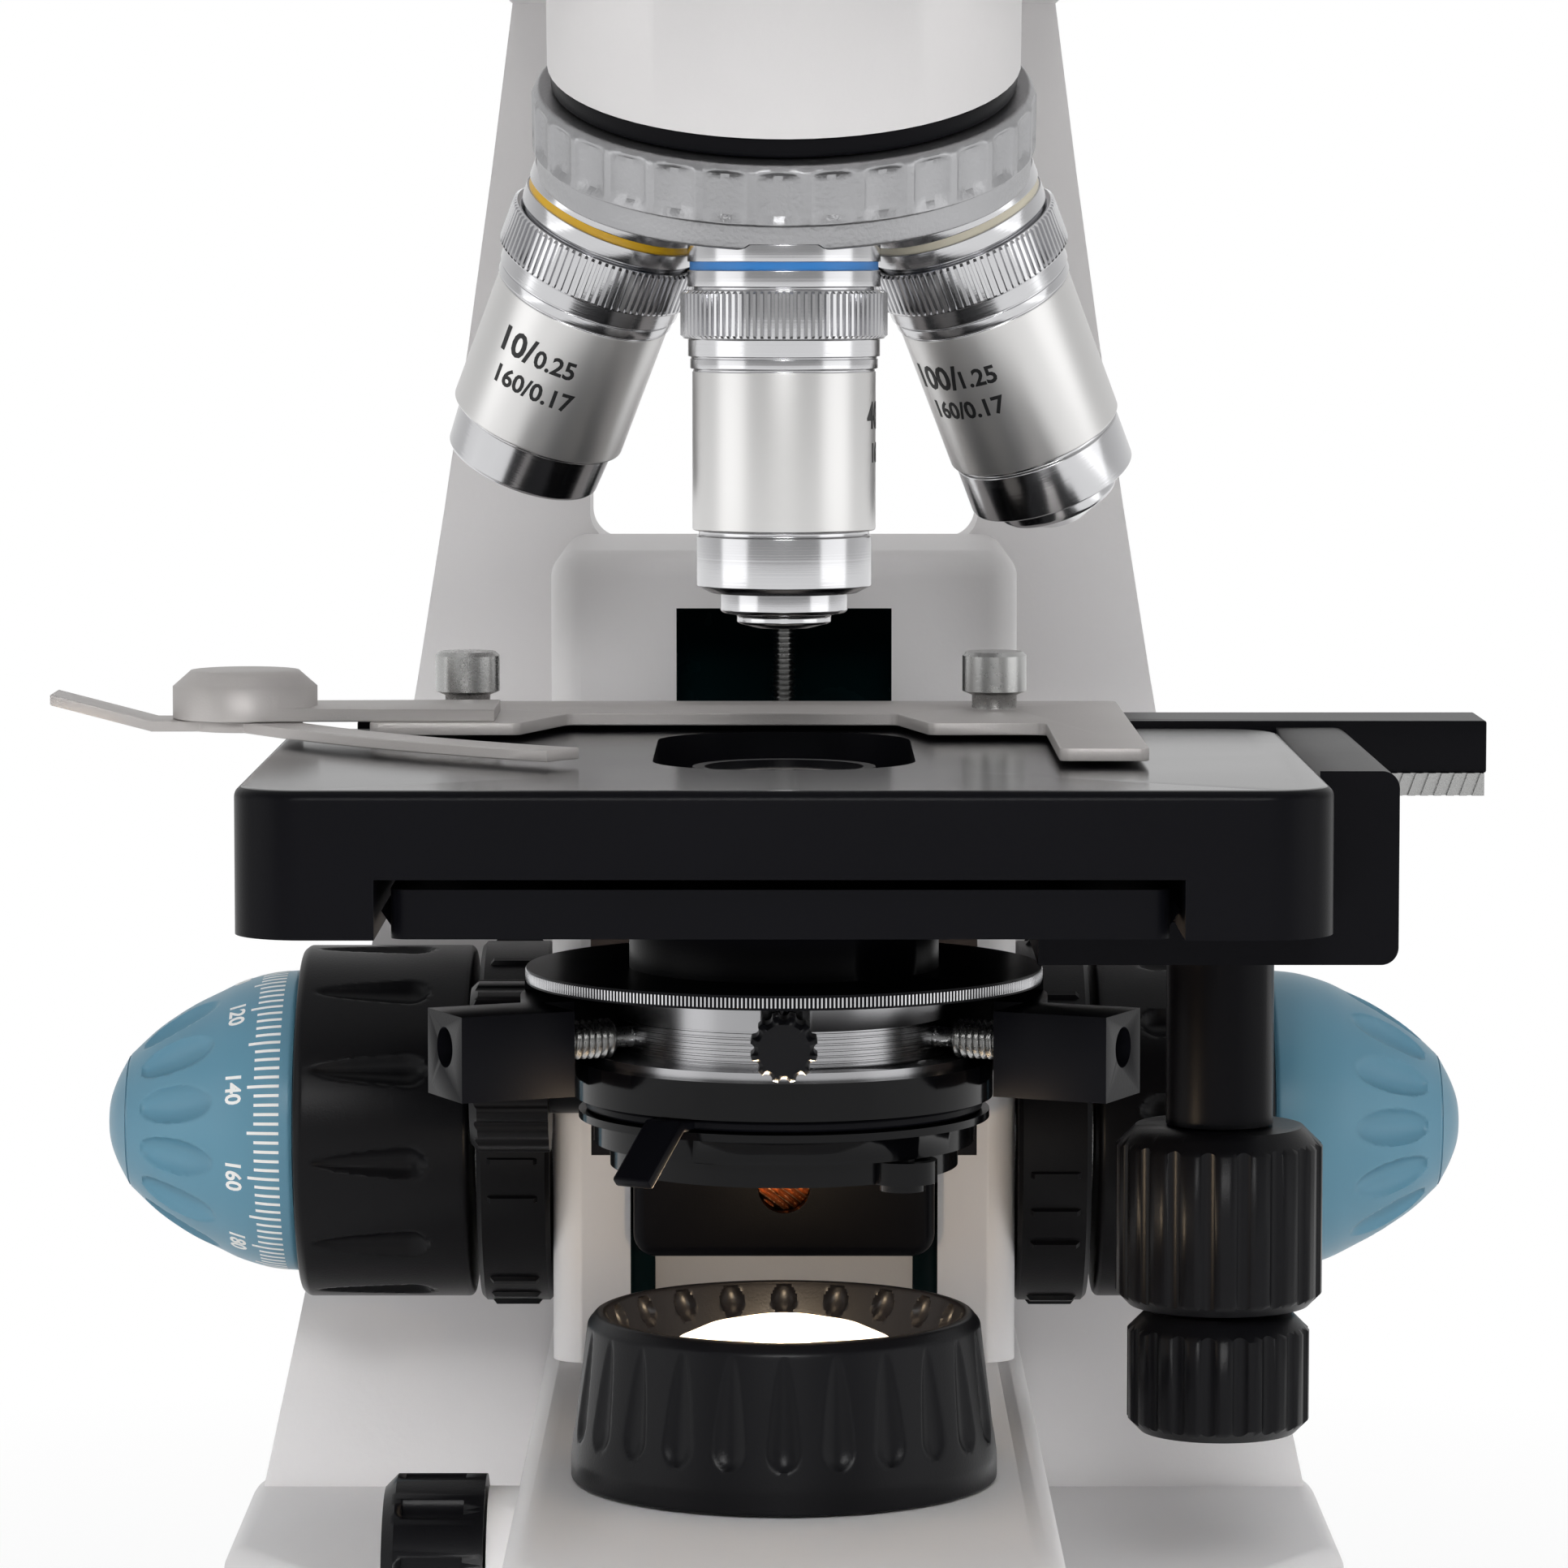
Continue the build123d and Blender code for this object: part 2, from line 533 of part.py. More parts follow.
# Base: hollow casting, open below, with the nose that carries the lamp
with BuildPart() as base:
    extrude(base_plan(FOOT_HEIGHT, 0), amount=BASE_DECK - FOOT_HEIGHT)
    deck_edges = base.edges().group_by(Axis.Z)[-1].filter_by(lambda e: e.center().Y > FLARE_START)
    fillet(deck_edges, DECK_ROUND)
    with BuildSketch(Plane.XY.offset(BASE_DECK - 0.01)) as nose_plan:
        with Locations((0, (ARM_FRONT - NOSE_FRONT) / 2)):
            Rectangle(2 * NOSE_HALF_WIDTH, ARM_FRONT + NOSE_FRONT)
        fillet(nose_plan.vertices().group_by(Axis.Y)[0], NOSE_CORNER)
    extrude(amount=NOSE_TOP - BASE_DECK + 0.01, taper=NOSE_TAPER)
    fillet(base.edges().group_by(Axis.Z)[-1].sort_by(Axis.Y)[:-1], NOSE_ROUND)
    extrude(base_plan(FOOT_HEIGHT, PLATE_LEDGE), amount=PLATE_THICK, mode=Mode.SUBTRACT)
    extrude(base_plan(FOOT_HEIGHT, BASE_WALL), amount=ROOF - FOOT_HEIGHT, mode=Mode.SUBTRACT)
    half_room = NOSE_HALF_WIDTH - 2 * BASE_WALL
    room_front = -NOSE_FRONT + 2 * BASE_WALL
    room_y = (room_front, COLUMN_FRONT - BASE_WALL)
    block((-half_room, half_room), room_y, (PLATE_TOP, NOSE_ROOF), Mode.SUBTRACT)
    boss_face = (-DIMMER_RIGHT + GAP, DIMMER_Y, DIMMER_Z)
    rod(DIMMER_BOSS, (-half_room, DIMMER_Y, DIMMER_Z), boss_face)
    rod(DIMMER_SHAFT + RUN, (0, DIMMER_Y, DIMMER_Z), (-DIMMER_LEFT, DIMMER_Y, DIMMER_Z), Mode.SUBTRACT)
    rod(LAMP_TUBE, (0, 0, PLATE_TOP), (0, 0, NOSE_TOP + 1), Mode.SUBTRACT)
    for x, y in screw_places:
        post_top = NOSE_ROOF if y < FLARE_START else ROOF
        rod(SCREW_HEAD + 1.5, (x, y, PLATE_TOP), (x, y, post_top))
        rod(SCREW_RADIUS + RUN, (x, y, PLATE_TOP), (x, y, PLATE_TOP + SCREW_LENGTH), Mode.SUBTRACT)
    inlet_start = (INLET_X, REAR_WALL - 1, SWITCH_Z)
    rod(INLET_BODY, inlet_start, (INLET_X, BASE_REAR + 1, SWITCH_Z), Mode.SUBTRACT)
    switch_x = (SWITCH_X - SWITCH_WIDTH / 2, SWITCH_X + SWITCH_WIDTH / 2)
    switch_z = (SWITCH_Z - SWITCH_HEIGHT / 2, SWITCH_Z + SWITCH_HEIGHT / 2)
    block(switch_x, (REAR_WALL - 1, BASE_REAR + 1), switch_z, Mode.SUBTRACT)
    pin_start = (switch_x[0] - ROCKER_PIN_LENGTH, ROCKER_Y, SWITCH_Z)
    pin_end = (switch_x[1] + ROCKER_PIN_LENGTH, ROCKER_Y, SWITCH_Z)
    rod(ROCKER_PIN + RUN, pin_start, pin_end, Mode.SUBTRACT)

# Base plate, let into the rim of the base
with BuildPart() as base_plate:
    extrude(base_plan(FOOT_HEIGHT, PLATE_LEDGE + SLIDE), amount=PLATE_THICK)
    for x, y in screw_places:
        rod(SCREW_RADIUS + RUN, (x, y, 0), (x, y, PLATE_TOP + 1), Mode.SUBTRACT)

# Rubber feet
with BuildPart() as feet:
    for x, y in foot_places:
        foot = Plane((x, y, 0))
        turn([(0, 0), (FOOT_RADIUS - 1.5, 0), (FOOT_RADIUS, FOOT_HEIGHT), (0, FOOT_HEIGHT)], foot)

# Screws that hold the base plate
HEAD_THICK = 1.8
with BuildPart() as base_screws:
    for x, y in screw_places:
        rod(SCREW_HEAD, (x, y, FOOT_HEIGHT - HEAD_THICK), (x, y, FOOT_HEIGHT))
        rod(SCREW_RADIUS, (x, y, FOOT_HEIGHT), (x, y, PLATE_TOP + SCREW_LENGTH - 1))

# Arm: a front outline that narrows upwards, cut to its side outline, with the handle window
NECK_RISE = LIMB_BOTTOM + 4.0 - turret_plane.origin.Z + NECK_RADIUS * TILT_SIN
NECK_LENGTH = NECK_RISE / TILT_COS - DISC_TOP
ARM_LEAN = 14.0  # how far the back leans forward at the top
LIGHT_BORE = 10.0
with BuildPart() as arm:
    with BuildSketch(Plane.XZ.offset(-ARM_BACK)):
        with BuildLine():
            right_foot = (ARM_HALF_FOOT, BASE_DECK)
            right_top = (ARM_HALF_TOP, LIMB_TOP)
            ThreePointArc(right_foot, (ARM_HALF_MID, ARM_MID_HEIGHT), right_top)
            Line(right_top, (-ARM_HALF_TOP, LIMB_TOP))
            left_foot = (-ARM_HALF_FOOT, BASE_DECK)
            ThreePointArc((-ARM_HALF_TOP, LIMB_TOP), (-ARM_HALF_MID, ARM_MID_HEIGHT), left_foot)
            Line(left_foot, right_foot)
        make_face()
    extrude(amount=ARM_BACK + LIMB_FRONT)
    with BuildSketch(Plane.YZ) as side_outline:
        with BuildLine():
            Polyline(
                (ARM_FRONT, BASE_DECK),
                (ARM_FRONT, LIMB_BOTTOM),
                (-LIMB_FRONT, LIMB_BOTTOM),
                (-LIMB_FRONT, LIMB_TOP),
                (ARM_BACK - ARM_LEAN, LIMB_TOP),
                (ARM_BACK, BASE_DECK),
                close=True,
            )
        make_face()
        inner_corner = side_outline.vertices().sort_by_distance((0, ARM_FRONT, LIMB_BOTTOM))[0]
        fillet(inner_corner, ELBOW_INNER)
        outer_corner = side_outline.vertices().sort_by_distance((0, ARM_BACK - ARM_LEAN, LIMB_TOP))[0]
        fillet(outer_corner, ELBOW_OUTER)
    extrude(amount=BASE_HALF_WIDTH, both=True, mode=Mode.INTERSECT)
    with BuildSketch(Plane.XY.offset(BASE_DECK)):
        with Locations((0, LIMB_ROUND - LIMB_FRONT)):
            Circle(LIMB_ROUND)
        with Locations((0, LIMB_ROUND - LIMB_FRONT + ARM_BACK / 2)):
            Rectangle(2 * BASE_HALF_WIDTH, ARM_BACK)
    extrude(amount=LIMB_TOP - BASE_DECK, mode=Mode.INTERSECT)
    fillet(arm.edges().group_by(Axis.Z)[-1].sort_by(Axis.Y)[:-1], LIMB_EDGE)
    with BuildSketch(Plane.XZ.offset(-ARM_BACK - 1)):
        with Locations((0, (WINDOW_SILL + WINDOW_TOP) / 2)):
            RectangleRounded(2 * WINDOW_HALF_WIDTH, WINDOW_TOP - WINDOW_SILL, WINDOW_CORNER)
    extrude(amount=ARM_BACK - ARM_FRONT + 2, mode=Mode.SUBTRACT)
    with BuildSketch(turret_plane.offset(DISC_TOP)):
        Circle(NECK_RADIUS)
    extrude(amount=NECK_LENGTH)
    rod(LIGHT_BORE, (0, 0, SEAT_HEIGHT), (0, 0, LIMB_TOP + 1), Mode.SUBTRACT)
    rod(SOCKET_RADIUS + GAP, (0, 0, LIMB_TOP - SOCKET_DEPTH), (0, 0, LIMB_TOP + 1), Mode.SUBTRACT)
    with BuildSketch(turret_plane.offset(DISC_TOP)):
        Circle(PIVOT_RADIUS + FIT)
    extrude(amount=PIVOT_DEPTH, mode=Mode.SUBTRACT)

# Focus column: white housing with the channel that the stage carrier runs in
with BuildPart() as focus_column:
    with BuildSketch(Plane.XY.offset(NOSE_TOP)):
        with Locations((0, (COLUMN_FRONT + ARM_FRONT) / 2)):
            Rectangle(2 * COLUMN_HALF_WIDTH, ARM_FRONT - COLUMN_FRONT)
    extrude(amount=COLUMN_TOP - NOSE_TOP)
    fillet(focus_column.edges().filter_by(Axis.Z).sort_by(Axis.Y)[:2], COLUMN_EDGE)
    fillet(focus_column.edges().group_by(Axis.Z)[-1].sort_by(Axis.Y)[:-1], COLUMN_TOP_EDGE)
    channel_y = (COLUMN_FRONT - 1, CHANNEL_BACK)
    channel_x = (-CHANNEL_HALF_WIDTH, CHANNEL_HALF_WIDTH)
    block(channel_x, channel_y, (NOSE_TOP - 1, CHANNEL_TOP), Mode.SUBTRACT)
    block((-SLOT_HALF_WIDTH, SLOT_HALF_WIDTH), channel_y, (CHANNEL_TOP - 1, SLOT_TOP), Mode.SUBTRACT)
    for side in (-1, 1):
        strip_x = sorted((side * (CHANNEL_HALF_WIDTH - STRIP_WIDTH), side * CHANNEL_HALF_WIDTH))
        block(strip_x, (CARRIER_BACK + GAP, CHANNEL_BACK), (NOSE_TOP, CHANNEL_TOP))
    rod(BUSH_NECK, (-COARSE_END, DRIVE_Y, DRIVE_Z), (COARSE_END, DRIVE_Y, DRIVE_Z), Mode.SUBTRACT)
    stop_y = CARRIER_BACK + STOP_ROD_BEHIND
    stop_end = (0, stop_y, SLOT_TOP + STOP_ROD_HOLE)
    rod(STOP_ROD_RADIUS + RUN, (0, stop_y, SLOT_TOP), stop_end, Mode.SUBTRACT)

# Stop rod that ends the upward travel of the slide
SLIDE_TOP = CHANNEL_TOP - COARSE_UP - SLIDE_DROP
with BuildPart() as stop_rod:
    rod(STOP_ROD_RADIUS, (0, stop_y, SLIDE_TOP + COARSE_UP + GAP), stop_end)

# Flanged bushes that carry the focus shafts and the two rings
with BuildPart() as drive_bushes:
    for side in (-1, 1):
        outward = Plane((0, DRIVE_Y, DRIVE_Z), x_dir=(0, 0, 1), z_dir=(side, 0, 0))
        bore = COARSE_TUBE_RADIUS + RUN
        turn(
            [
                (bore, CHANNEL_HALF_WIDTH),
                (BUSH_NECK - RUN, CHANNEL_HALF_WIDTH),
                (BUSH_NECK - RUN, COLUMN_HALF_WIDTH),
                (BUSH_RADIUS, COLUMN_HALF_WIDTH),
                (BUSH_RADIUS, COARSE_START - GAP),
                (bore, COARSE_START - GAP),
            ],
            outward,
        )

# Focus shafts: the coarse tube with its pinion, and the fine shaft inside it
PINION_LEFT = 16.0
PINION_RIGHT = 8.0
with BuildPart() as coarse_shaft:
    tube_end = COARSE_END - 2.0
    tube_bore = FINE_SHAFT_RADIUS + RUN
    turn(
        [
            (tube_bore, -tube_end),
            (COARSE_TUBE_RADIUS, -tube_end),
            (COARSE_TUBE_RADIUS, -PINION_LEFT),
            (PINION_RADIUS - SLIDE, -PINION_LEFT),
            (PINION_RADIUS - SLIDE, PINION_RIGHT),
            (COARSE_TUBE_RADIUS, PINION_RIGHT),
            (COARSE_TUBE_RADIUS, tube_end),
            (tube_bore, tube_end),
        ],
        drive_plane,
    )
fine_start = COARSE_END + GAP
SHAFT_END = (fine_start + FINE_END) / 2


# Coarse knobs, each with a ring of long finger dimples
with BuildPart() as coarse_knobs:
    for side in (-1, 1):
        outward = Plane((0, DRIVE_Y, DRIVE_Z), x_dir=(0, 0, 1), z_dir=(side, 0, 0))
        bore = COARSE_TUBE_RADIUS + FIT
        turn(
            [
                (bore, COARSE_START),
                (COARSE_RADIUS - 1.0, COARSE_START),
                (COARSE_RADIUS, COARSE_START + 1.0),
                (COARSE_RADIUS, COARSE_END - 1.0),
                (COARSE_RADIUS - 1.0, COARSE_END),
                (bore, COARSE_END),
            ],
            outward,
        )
        with Locations(outward.offset((COARSE_START + COARSE_END) / 2)):
            with PolarLocations(COARSE_RADIUS + 1.7, COARSE_DIMPLES):
                Cylinder(2.8, 14, rotation=(0, 4, 0), mode=Mode.SUBTRACT)


def fine_knob(side):
    """Bullet-shaped fine knob with finger dimples; the right one carries the fine shaft."""
    outward = Plane((0, DRIVE_Y, DRIVE_Z), x_dir=(0, 0, 1), z_dir=(side, 0, 0))
    cap_foot = FINE_END - CAP_RISE
    waist = (FINE_WAIST, fine_start + FINE_WAIST_AT)
    inner_cap = CAP_RADIUS - CAP_STEP
    ball = (inner_cap**2 + CAP_RISE**2) / (2 * CAP_RISE)
    on_cap = (inner_cap / 2, FINE_END - ball + math.sqrt(ball**2 - inner_cap**2 / 4))
    section = Plane(outward.origin, x_dir=outward.x_dir, z_dir=outward.x_dir.cross(outward.z_dir))
    with BuildPart() as knob:
        with BuildSketch(section):
            with BuildLine():
                ThreePointArc((FINE_RADIUS, fine_start), waist, (CAP_RADIUS, cap_foot))
                Line((CAP_RADIUS, cap_foot), (inner_cap, cap_foot))
                ThreePointArc((inner_cap, cap_foot), on_cap, (0, FINE_END))
                Polyline((0, FINE_END), (0, fine_start), (FINE_RADIUS, fine_start))
            make_face()
        revolve(axis=Axis(outward.origin, outward.z_dir))
        run = Vector(CAP_RADIUS - FINE_WAIST, cap_foot - waist[1])
        lean = math.atan2(-run.X, run.Y)
        middle = (FINE_WAIST + CAP_RADIUS) / 2 + DIMPLE_SAG
        reach = middle + (DIMPLE_RADIUS - DIMPLE_DEPTH) / math.cos(lean)
        with Locations(outward.offset((waist[1] + cap_foot) / 2)):
            with PolarLocations(reach, FINE_DIMPLES):
                tip = (0, -math.degrees(lean), 0)
                Cylinder(DIMPLE_RADIUS, DIMPLE_LENGTH, rotation=tip, mode=Mode.SUBTRACT)
        knob_foot = (side * fine_start, DRIVE_Y, DRIVE_Z)
        if side < 0:
            rod(FINE_SHAFT_RADIUS + FIT, knob_foot, (-SHAFT_END, DRIVE_Y, DRIVE_Z), Mode.SUBTRACT)
        else:
            rod(FINE_SHAFT_RADIUS, knob_foot, (-SHAFT_END, DRIVE_Y, DRIVE_Z))
    return knob


def focus_ring(side):
    """Ribbed ring that turns on the bush beside the column."""
    outward = Plane((0, DRIVE_Y, DRIVE_Z), x_dir=(0, 0, 1), z_dir=(side, 0, 0))
    start = COLUMN_HALF_WIDTH + GAP
    with BuildPart() as ring:
        turn(
            [
                (BUSH_RADIUS + SLIDE, start),
                (RING_RADIUS - 0.6, start),
                (RING_RADIUS, start + 0.6),
                (RING_RADIUS, start + RING_WIDTH - 0.6),
                (RING_RADIUS - 0.6, start + RING_WIDTH),
                (BUSH_RADIUS + SLIDE, start + RING_WIDTH),
            ],
            outward,
        )
    return ring


fine_knob_left = fine_knob(-1)
fine_knob_right = fine_knob(1)
tension_ring = focus_ring(-1)
stop_collar = focus_ring(1)

# Coarse slide and its rack, behind the stage carrier
RACK_RIGHT = -6.0
SLIDE_HALF_WIDTH = CHANNEL_HALF_WIDTH - STRIP_WIDTH - SLIDE
SLIDE_BOTTOM = NOSE_TOP + COARSE_DOWN + 1.0
with BuildPart() as coarse_slide:
    slide_y = (CARRIER_BACK, COARSE_SLIDE_BACK)
    block((-SLIDE_HALF_WIDTH, SLIDE_HALF_WIDTH), slide_y, (SLIDE_BOTTOM, SLIDE_TOP))
    hole_start = (0, CARRIER_FRONT - 1, CARRIER_HOLE_Z)
    rod(CARRIER_HOLE, hole_start, (0, COARSE_SLIDE_BACK + 1, CARRIER_HOLE_Z), Mode.SUBTRACT)
    rack_y = (COARSE_SLIDE_BACK, DRIVE_Y - PINION_RADIUS)
    block((-SLIDE_HALF_WIDTH, RACK_RIGHT), rack_y, (SLIDE_BOTTOM, SLIDE_TOP))

# Stage carrier: black block in the channel with the shelf that the stage stands on
with BuildPart() as stage_carrier:
    with BuildSketch(Plane.YZ):
        with BuildLine():
            Polyline(
                (CARRIER_BACK, CARRIER_BOTTOM),
                (CARRIER_BACK, LOWER_BOTTOM - 0.6),
                (COLUMN_FRONT - GAP, LOWER_BOTTOM),
                (CARRIER_FRONT, LOWER_BOTTOM),
                (CARRIER_FRONT, CARRIER_BOTTOM),
                close=True,
            )
        make_face()
    extrude(amount=CARRIER_HALF_WIDTH, both=True)
    fillet(stage_carrier.edges().filter_by(Axis.Y).group_by(Axis.Z)[0], CARRIER_CORNER)
    fillet(stage_carrier.edges().filter_by(Axis.Z).sort_by(Axis.Y)[:2], CARRIER_EDGE)
    with BuildSketch(Plane.XY.offset(SHELF_BOTTOM)):
        with Locations((0, (SHELF_FRONT + CARRIER_FRONT + 2) / 2)):
            RectangleRounded(2 * SHELF_HALF_WIDTH, CARRIER_FRONT + 2 - SHELF_FRONT, SHELF_CORNER)
    extrude(amount=SHELF_THICK)
    rod(CARRIER_HOLE, hole_start, (0, CARRIER_BACK + 1, CARRIER_HOLE_Z), Mode.SUBTRACT)

# Fixed lower stage plate, its side rails and the rack for the Y drive
RAIL_Y = (-LOWER_FRONT + 4, LOWER_REAR - 4)
RAIL_MID = (LOWER_BOTTOM + LOWER_TOP) / 2
RAIL_HALF = 1.8
Y_RACK_X = KNOB_X - STAGE_PINION
Y_RACK_Z = (STAGE_BOTTOM + 0.3, LOWER_TOP - 0.4)
Y_RACK_Y = (KNOB_Y - Y_TRAVEL_FRONT - 4.0, KNOB_Y + Y_TRAVEL_BACK + 3.0)
with BuildPart() as stage_lower_plate:
    plan_plate(
        [
            (-LOWER_LEFT, -LOWER_FRONT),
            (LOWER_RIGHT, -LOWER_FRONT),
            (LOWER_RIGHT, LOWER_REAR),
            (-LOWER_LEFT, LOWER_REAR),
        ],
        LOWER_BOTTOM,
        LOWER_TOP,
        corner_radius=2,
    )
    rod(UPPER_BARREL + 1.2, (0, 0, LOWER_BOTTOM - 1), (0, 0, LOWER_TOP + 1), Mode.SUBTRACT)
    for wall, side in ((-LOWER_LEFT, -1), (LOWER_RIGHT, 1)):
        with BuildSketch(Plane.XZ.offset(-RAIL_Y[1])):
            with BuildLine():
                Polyline(
                    (wall, RAIL_MID - RAIL_HALF),
                    (wall + side * RAIL_WIDTH, RAIL_MID),
                    (wall, RAIL_MID + RAIL_HALF),
                    close=True,
                )
            make_face()
        extrude(amount=RAIL_Y[1] - RAIL_Y[0])
    block((LOWER_RIGHT, Y_RACK_X), (Y_RACK_Y[0], LOWER_REAR - 3), Y_RACK_Z)
    block((Y_RACK_X - 3.0, Y_RACK_X), Y_RACK_Y, Y_RACK_Z)

# Moving upper stage plate with its skirts, the light port and the X guide behind
with BuildPart() as stage_upper_plate:
    with BuildSketch(Plane.XY.offset(STAGE_BOTTOM)):
        with Locations((0, (STAGE_REAR - STAGE_FRONT) / 2)):
            RectangleRounded(2 * STAGE_HALF_WIDTH, STAGE_REAR + STAGE_FRONT, STAGE_CORNER)
    extrude(amount=STAGE_SKIRT)
    fillet(stage_upper_plate.edges().group_by(Axis.Z)[-1], STAGE_EDGE)
    under = (STAGE_BOTTOM - 1, STAGE_TOP - STAGE_SLAB)
    block((-SKIRT_LEFT, SKIRT_RIGHT), (-STAGE_FRONT - 1, STAGE_REAR + 1), under, Mode.SUBTRACT)
    with BuildSketch(Plane.XY.offset(STAGE_BOTTOM)):
        with Locations((0, (PORT_REAR - PORT_FRONT) / 2)):
            RectangleRounded(PORT_WIDTH, PORT_REAR + PORT_FRONT, PORT_WIDTH / 2 - 2.5)
    extrude(amount=STAGE_SKIRT, mode=Mode.SUBTRACT)
    pinion_room = STAGE_PINION + 1.0
    room_x = (KNOB_X - pinion_room, STAGE_HALF_WIDTH + 1)
    room_y = (KNOB_Y - pinion_room, STAGE_REAR + 1)
    block(room_x, room_y, (STAGE_BOTTOM - 1, BAR_BOTTOM + 0.6), Mode.SUBTRACT)
    rack_room_x = (SKIRT_RIGHT - 1, Y_RACK_X + 0.6)
    rack_room_y = (Y_RACK_Y[0] - Y_TRAVEL_BACK - 1.0, STAGE_REAR + 1)
    block(rack_room_x, rack_room_y, (STAGE_BOTTOM - 1, LOWER_TOP + 0.4), Mode.SUBTRACT)
    with BuildSketch(Plane.YZ.offset(-GUIDE_LEFT)):
        with BuildLine():
            Polyline(
                (STAGE_REAR, LOWER_TOP + GAP),
                (BAR_REAR - 1.0, LOWER_TOP + GAP),
                (BAR_REAR - 1.0, BAR_BOTTOM - RUN),
                (BAR_FRONT + 6.0, BAR_BOTTOM - RUN),
                (BAR_FRONT + 6.0, BAR_BOTTOM - X_RACK_HEIGHT - GAP),
                (STAGE_REAR, BAR_BOTTOM - X_RACK_HEIGHT - GAP),
                close=True,
            )
        make_face()
    extrude(amount=GUIDE_LEFT + GUIDE_RIGHT)

# X bar with its slanted rack, which runs on the guide behind the upper plate
with BuildPart() as x_bar:
    with BuildSketch(Plane.XY.offset(BAR_BOTTOM)):
        with Locations(((BAR_RIGHT - BAR_LEFT) / 2, (BAR_FRONT + BAR_REAR) / 2)):
            Rectangle(BAR_RIGHT + BAR_LEFT, BAR_REAR - BAR_FRONT)
    extrude(amount=BAR_TOP - BAR_BOTTOM)
    for x in (-THUMB_LEFT, THUMB_RIGHT):
        rod(SCREW_RADIUS + RUN, (x, THUMB_Y, BAR_BOTTOM + 2), (x, THUMB_Y, BAR_TOP + 1), Mode.SUBTRACT)
X_RACK_FACE = KNOB_Y + STAGE_PINION
X_RACK_X = (-BAR_LEFT + 3.0, BAR_RIGHT - GAP)
X_RACK_Z = (BAR_BOTTOM - X_RACK_HEIGHT, BAR_BOTTOM)
with BuildPart() as x_rack:
    block(X_RACK_X, (X_RACK_FACE, BAR_FRONT + 4.0), X_RACK_Z)
    teeth = int((X_RACK_X[1] - X_RACK_X[0]) / X_RACK_PITCH)
    with BuildSketch(Plane.XZ.offset(-X_RACK_FACE)):
        with Locations((sum(X_RACK_X) / 2, sum(X_RACK_Z) / 2)):
            with GridLocations(X_RACK_PITCH, 1, teeth, 1):
                Rectangle(X_RACK_PITCH / 2.5, 2 * X_RACK_HEIGHT, rotation=-X_RACK_LEAN)
    extrude(amount=-X_RACK_PITCH / 2.5, mode=Mode.SUBTRACT)

# Slide holder on the bar, with its two thumbscrews
HOLDER_TOP = BAR_TOP + HOLDER_THICK
with BuildPart() as slide_holder:
    plan_plate(
        [
            (-HOLDER_LEFT, BAR_REAR - 1.0),
            (-HOLDER_LEFT, HOLDER_FRONT),
            (-SHOULDER_LEFT, HOLDER_FRONT),
            (-NOTCH_LEFT, NOTCH_Y),
            (NOTCH_RIGHT, NOTCH_Y),
            (SHOULDER_RIGHT, HOLDER_FRONT),
            (JAW_LEFT, HOLDER_FRONT),
            (JAW_LEFT, -JAW_FRONT),
            (JAW_RIGHT, -JAW_FRONT),
            (JAW_RIGHT, BAR_REAR - 1.0),
        ],
        BAR_TOP,
        HOLDER_TOP,
        corner_radius=1.2,
    )
    for x in (-THUMB_LEFT, THUMB_RIGHT):
        rod(SCREW_RADIUS + RUN, (x, THUMB_Y, BAR_TOP - 1), (x, THUMB_Y, HOLDER_TOP + 1), Mode.SUBTRACT)
THUMB_COLLAR = 2.8
THUMB_HEAD_LOW = HOLDER_TOP + 1.6
THUMB_HEAD_HIGH = HOLDER_TOP + 7.0
with BuildPart() as holder_screws:
    for x in (-THUMB_LEFT, THUMB_RIGHT):
        turn(
            [
                (0, BAR_BOTTOM + 2.5),
                (SCREW_RADIUS, BAR_BOTTOM + 2.5),
                (SCREW_RADIUS, HOLDER_TOP),
                (THUMB_COLLAR, HOLDER_TOP),
                (THUMB_COLLAR, THUMB_HEAD_LOW),
                (THUMB_RADIUS, THUMB_HEAD_LOW + 0.5),
                (THUMB_RADIUS, THUMB_HEAD_HIGH - 0.5),
                (THUMB_RADIUS - 0.5, THUMB_HEAD_HIGH),
                (0, THUMB_HEAD_HIGH),
            ],
            Plane((x, THUMB_Y, 0)),
        )

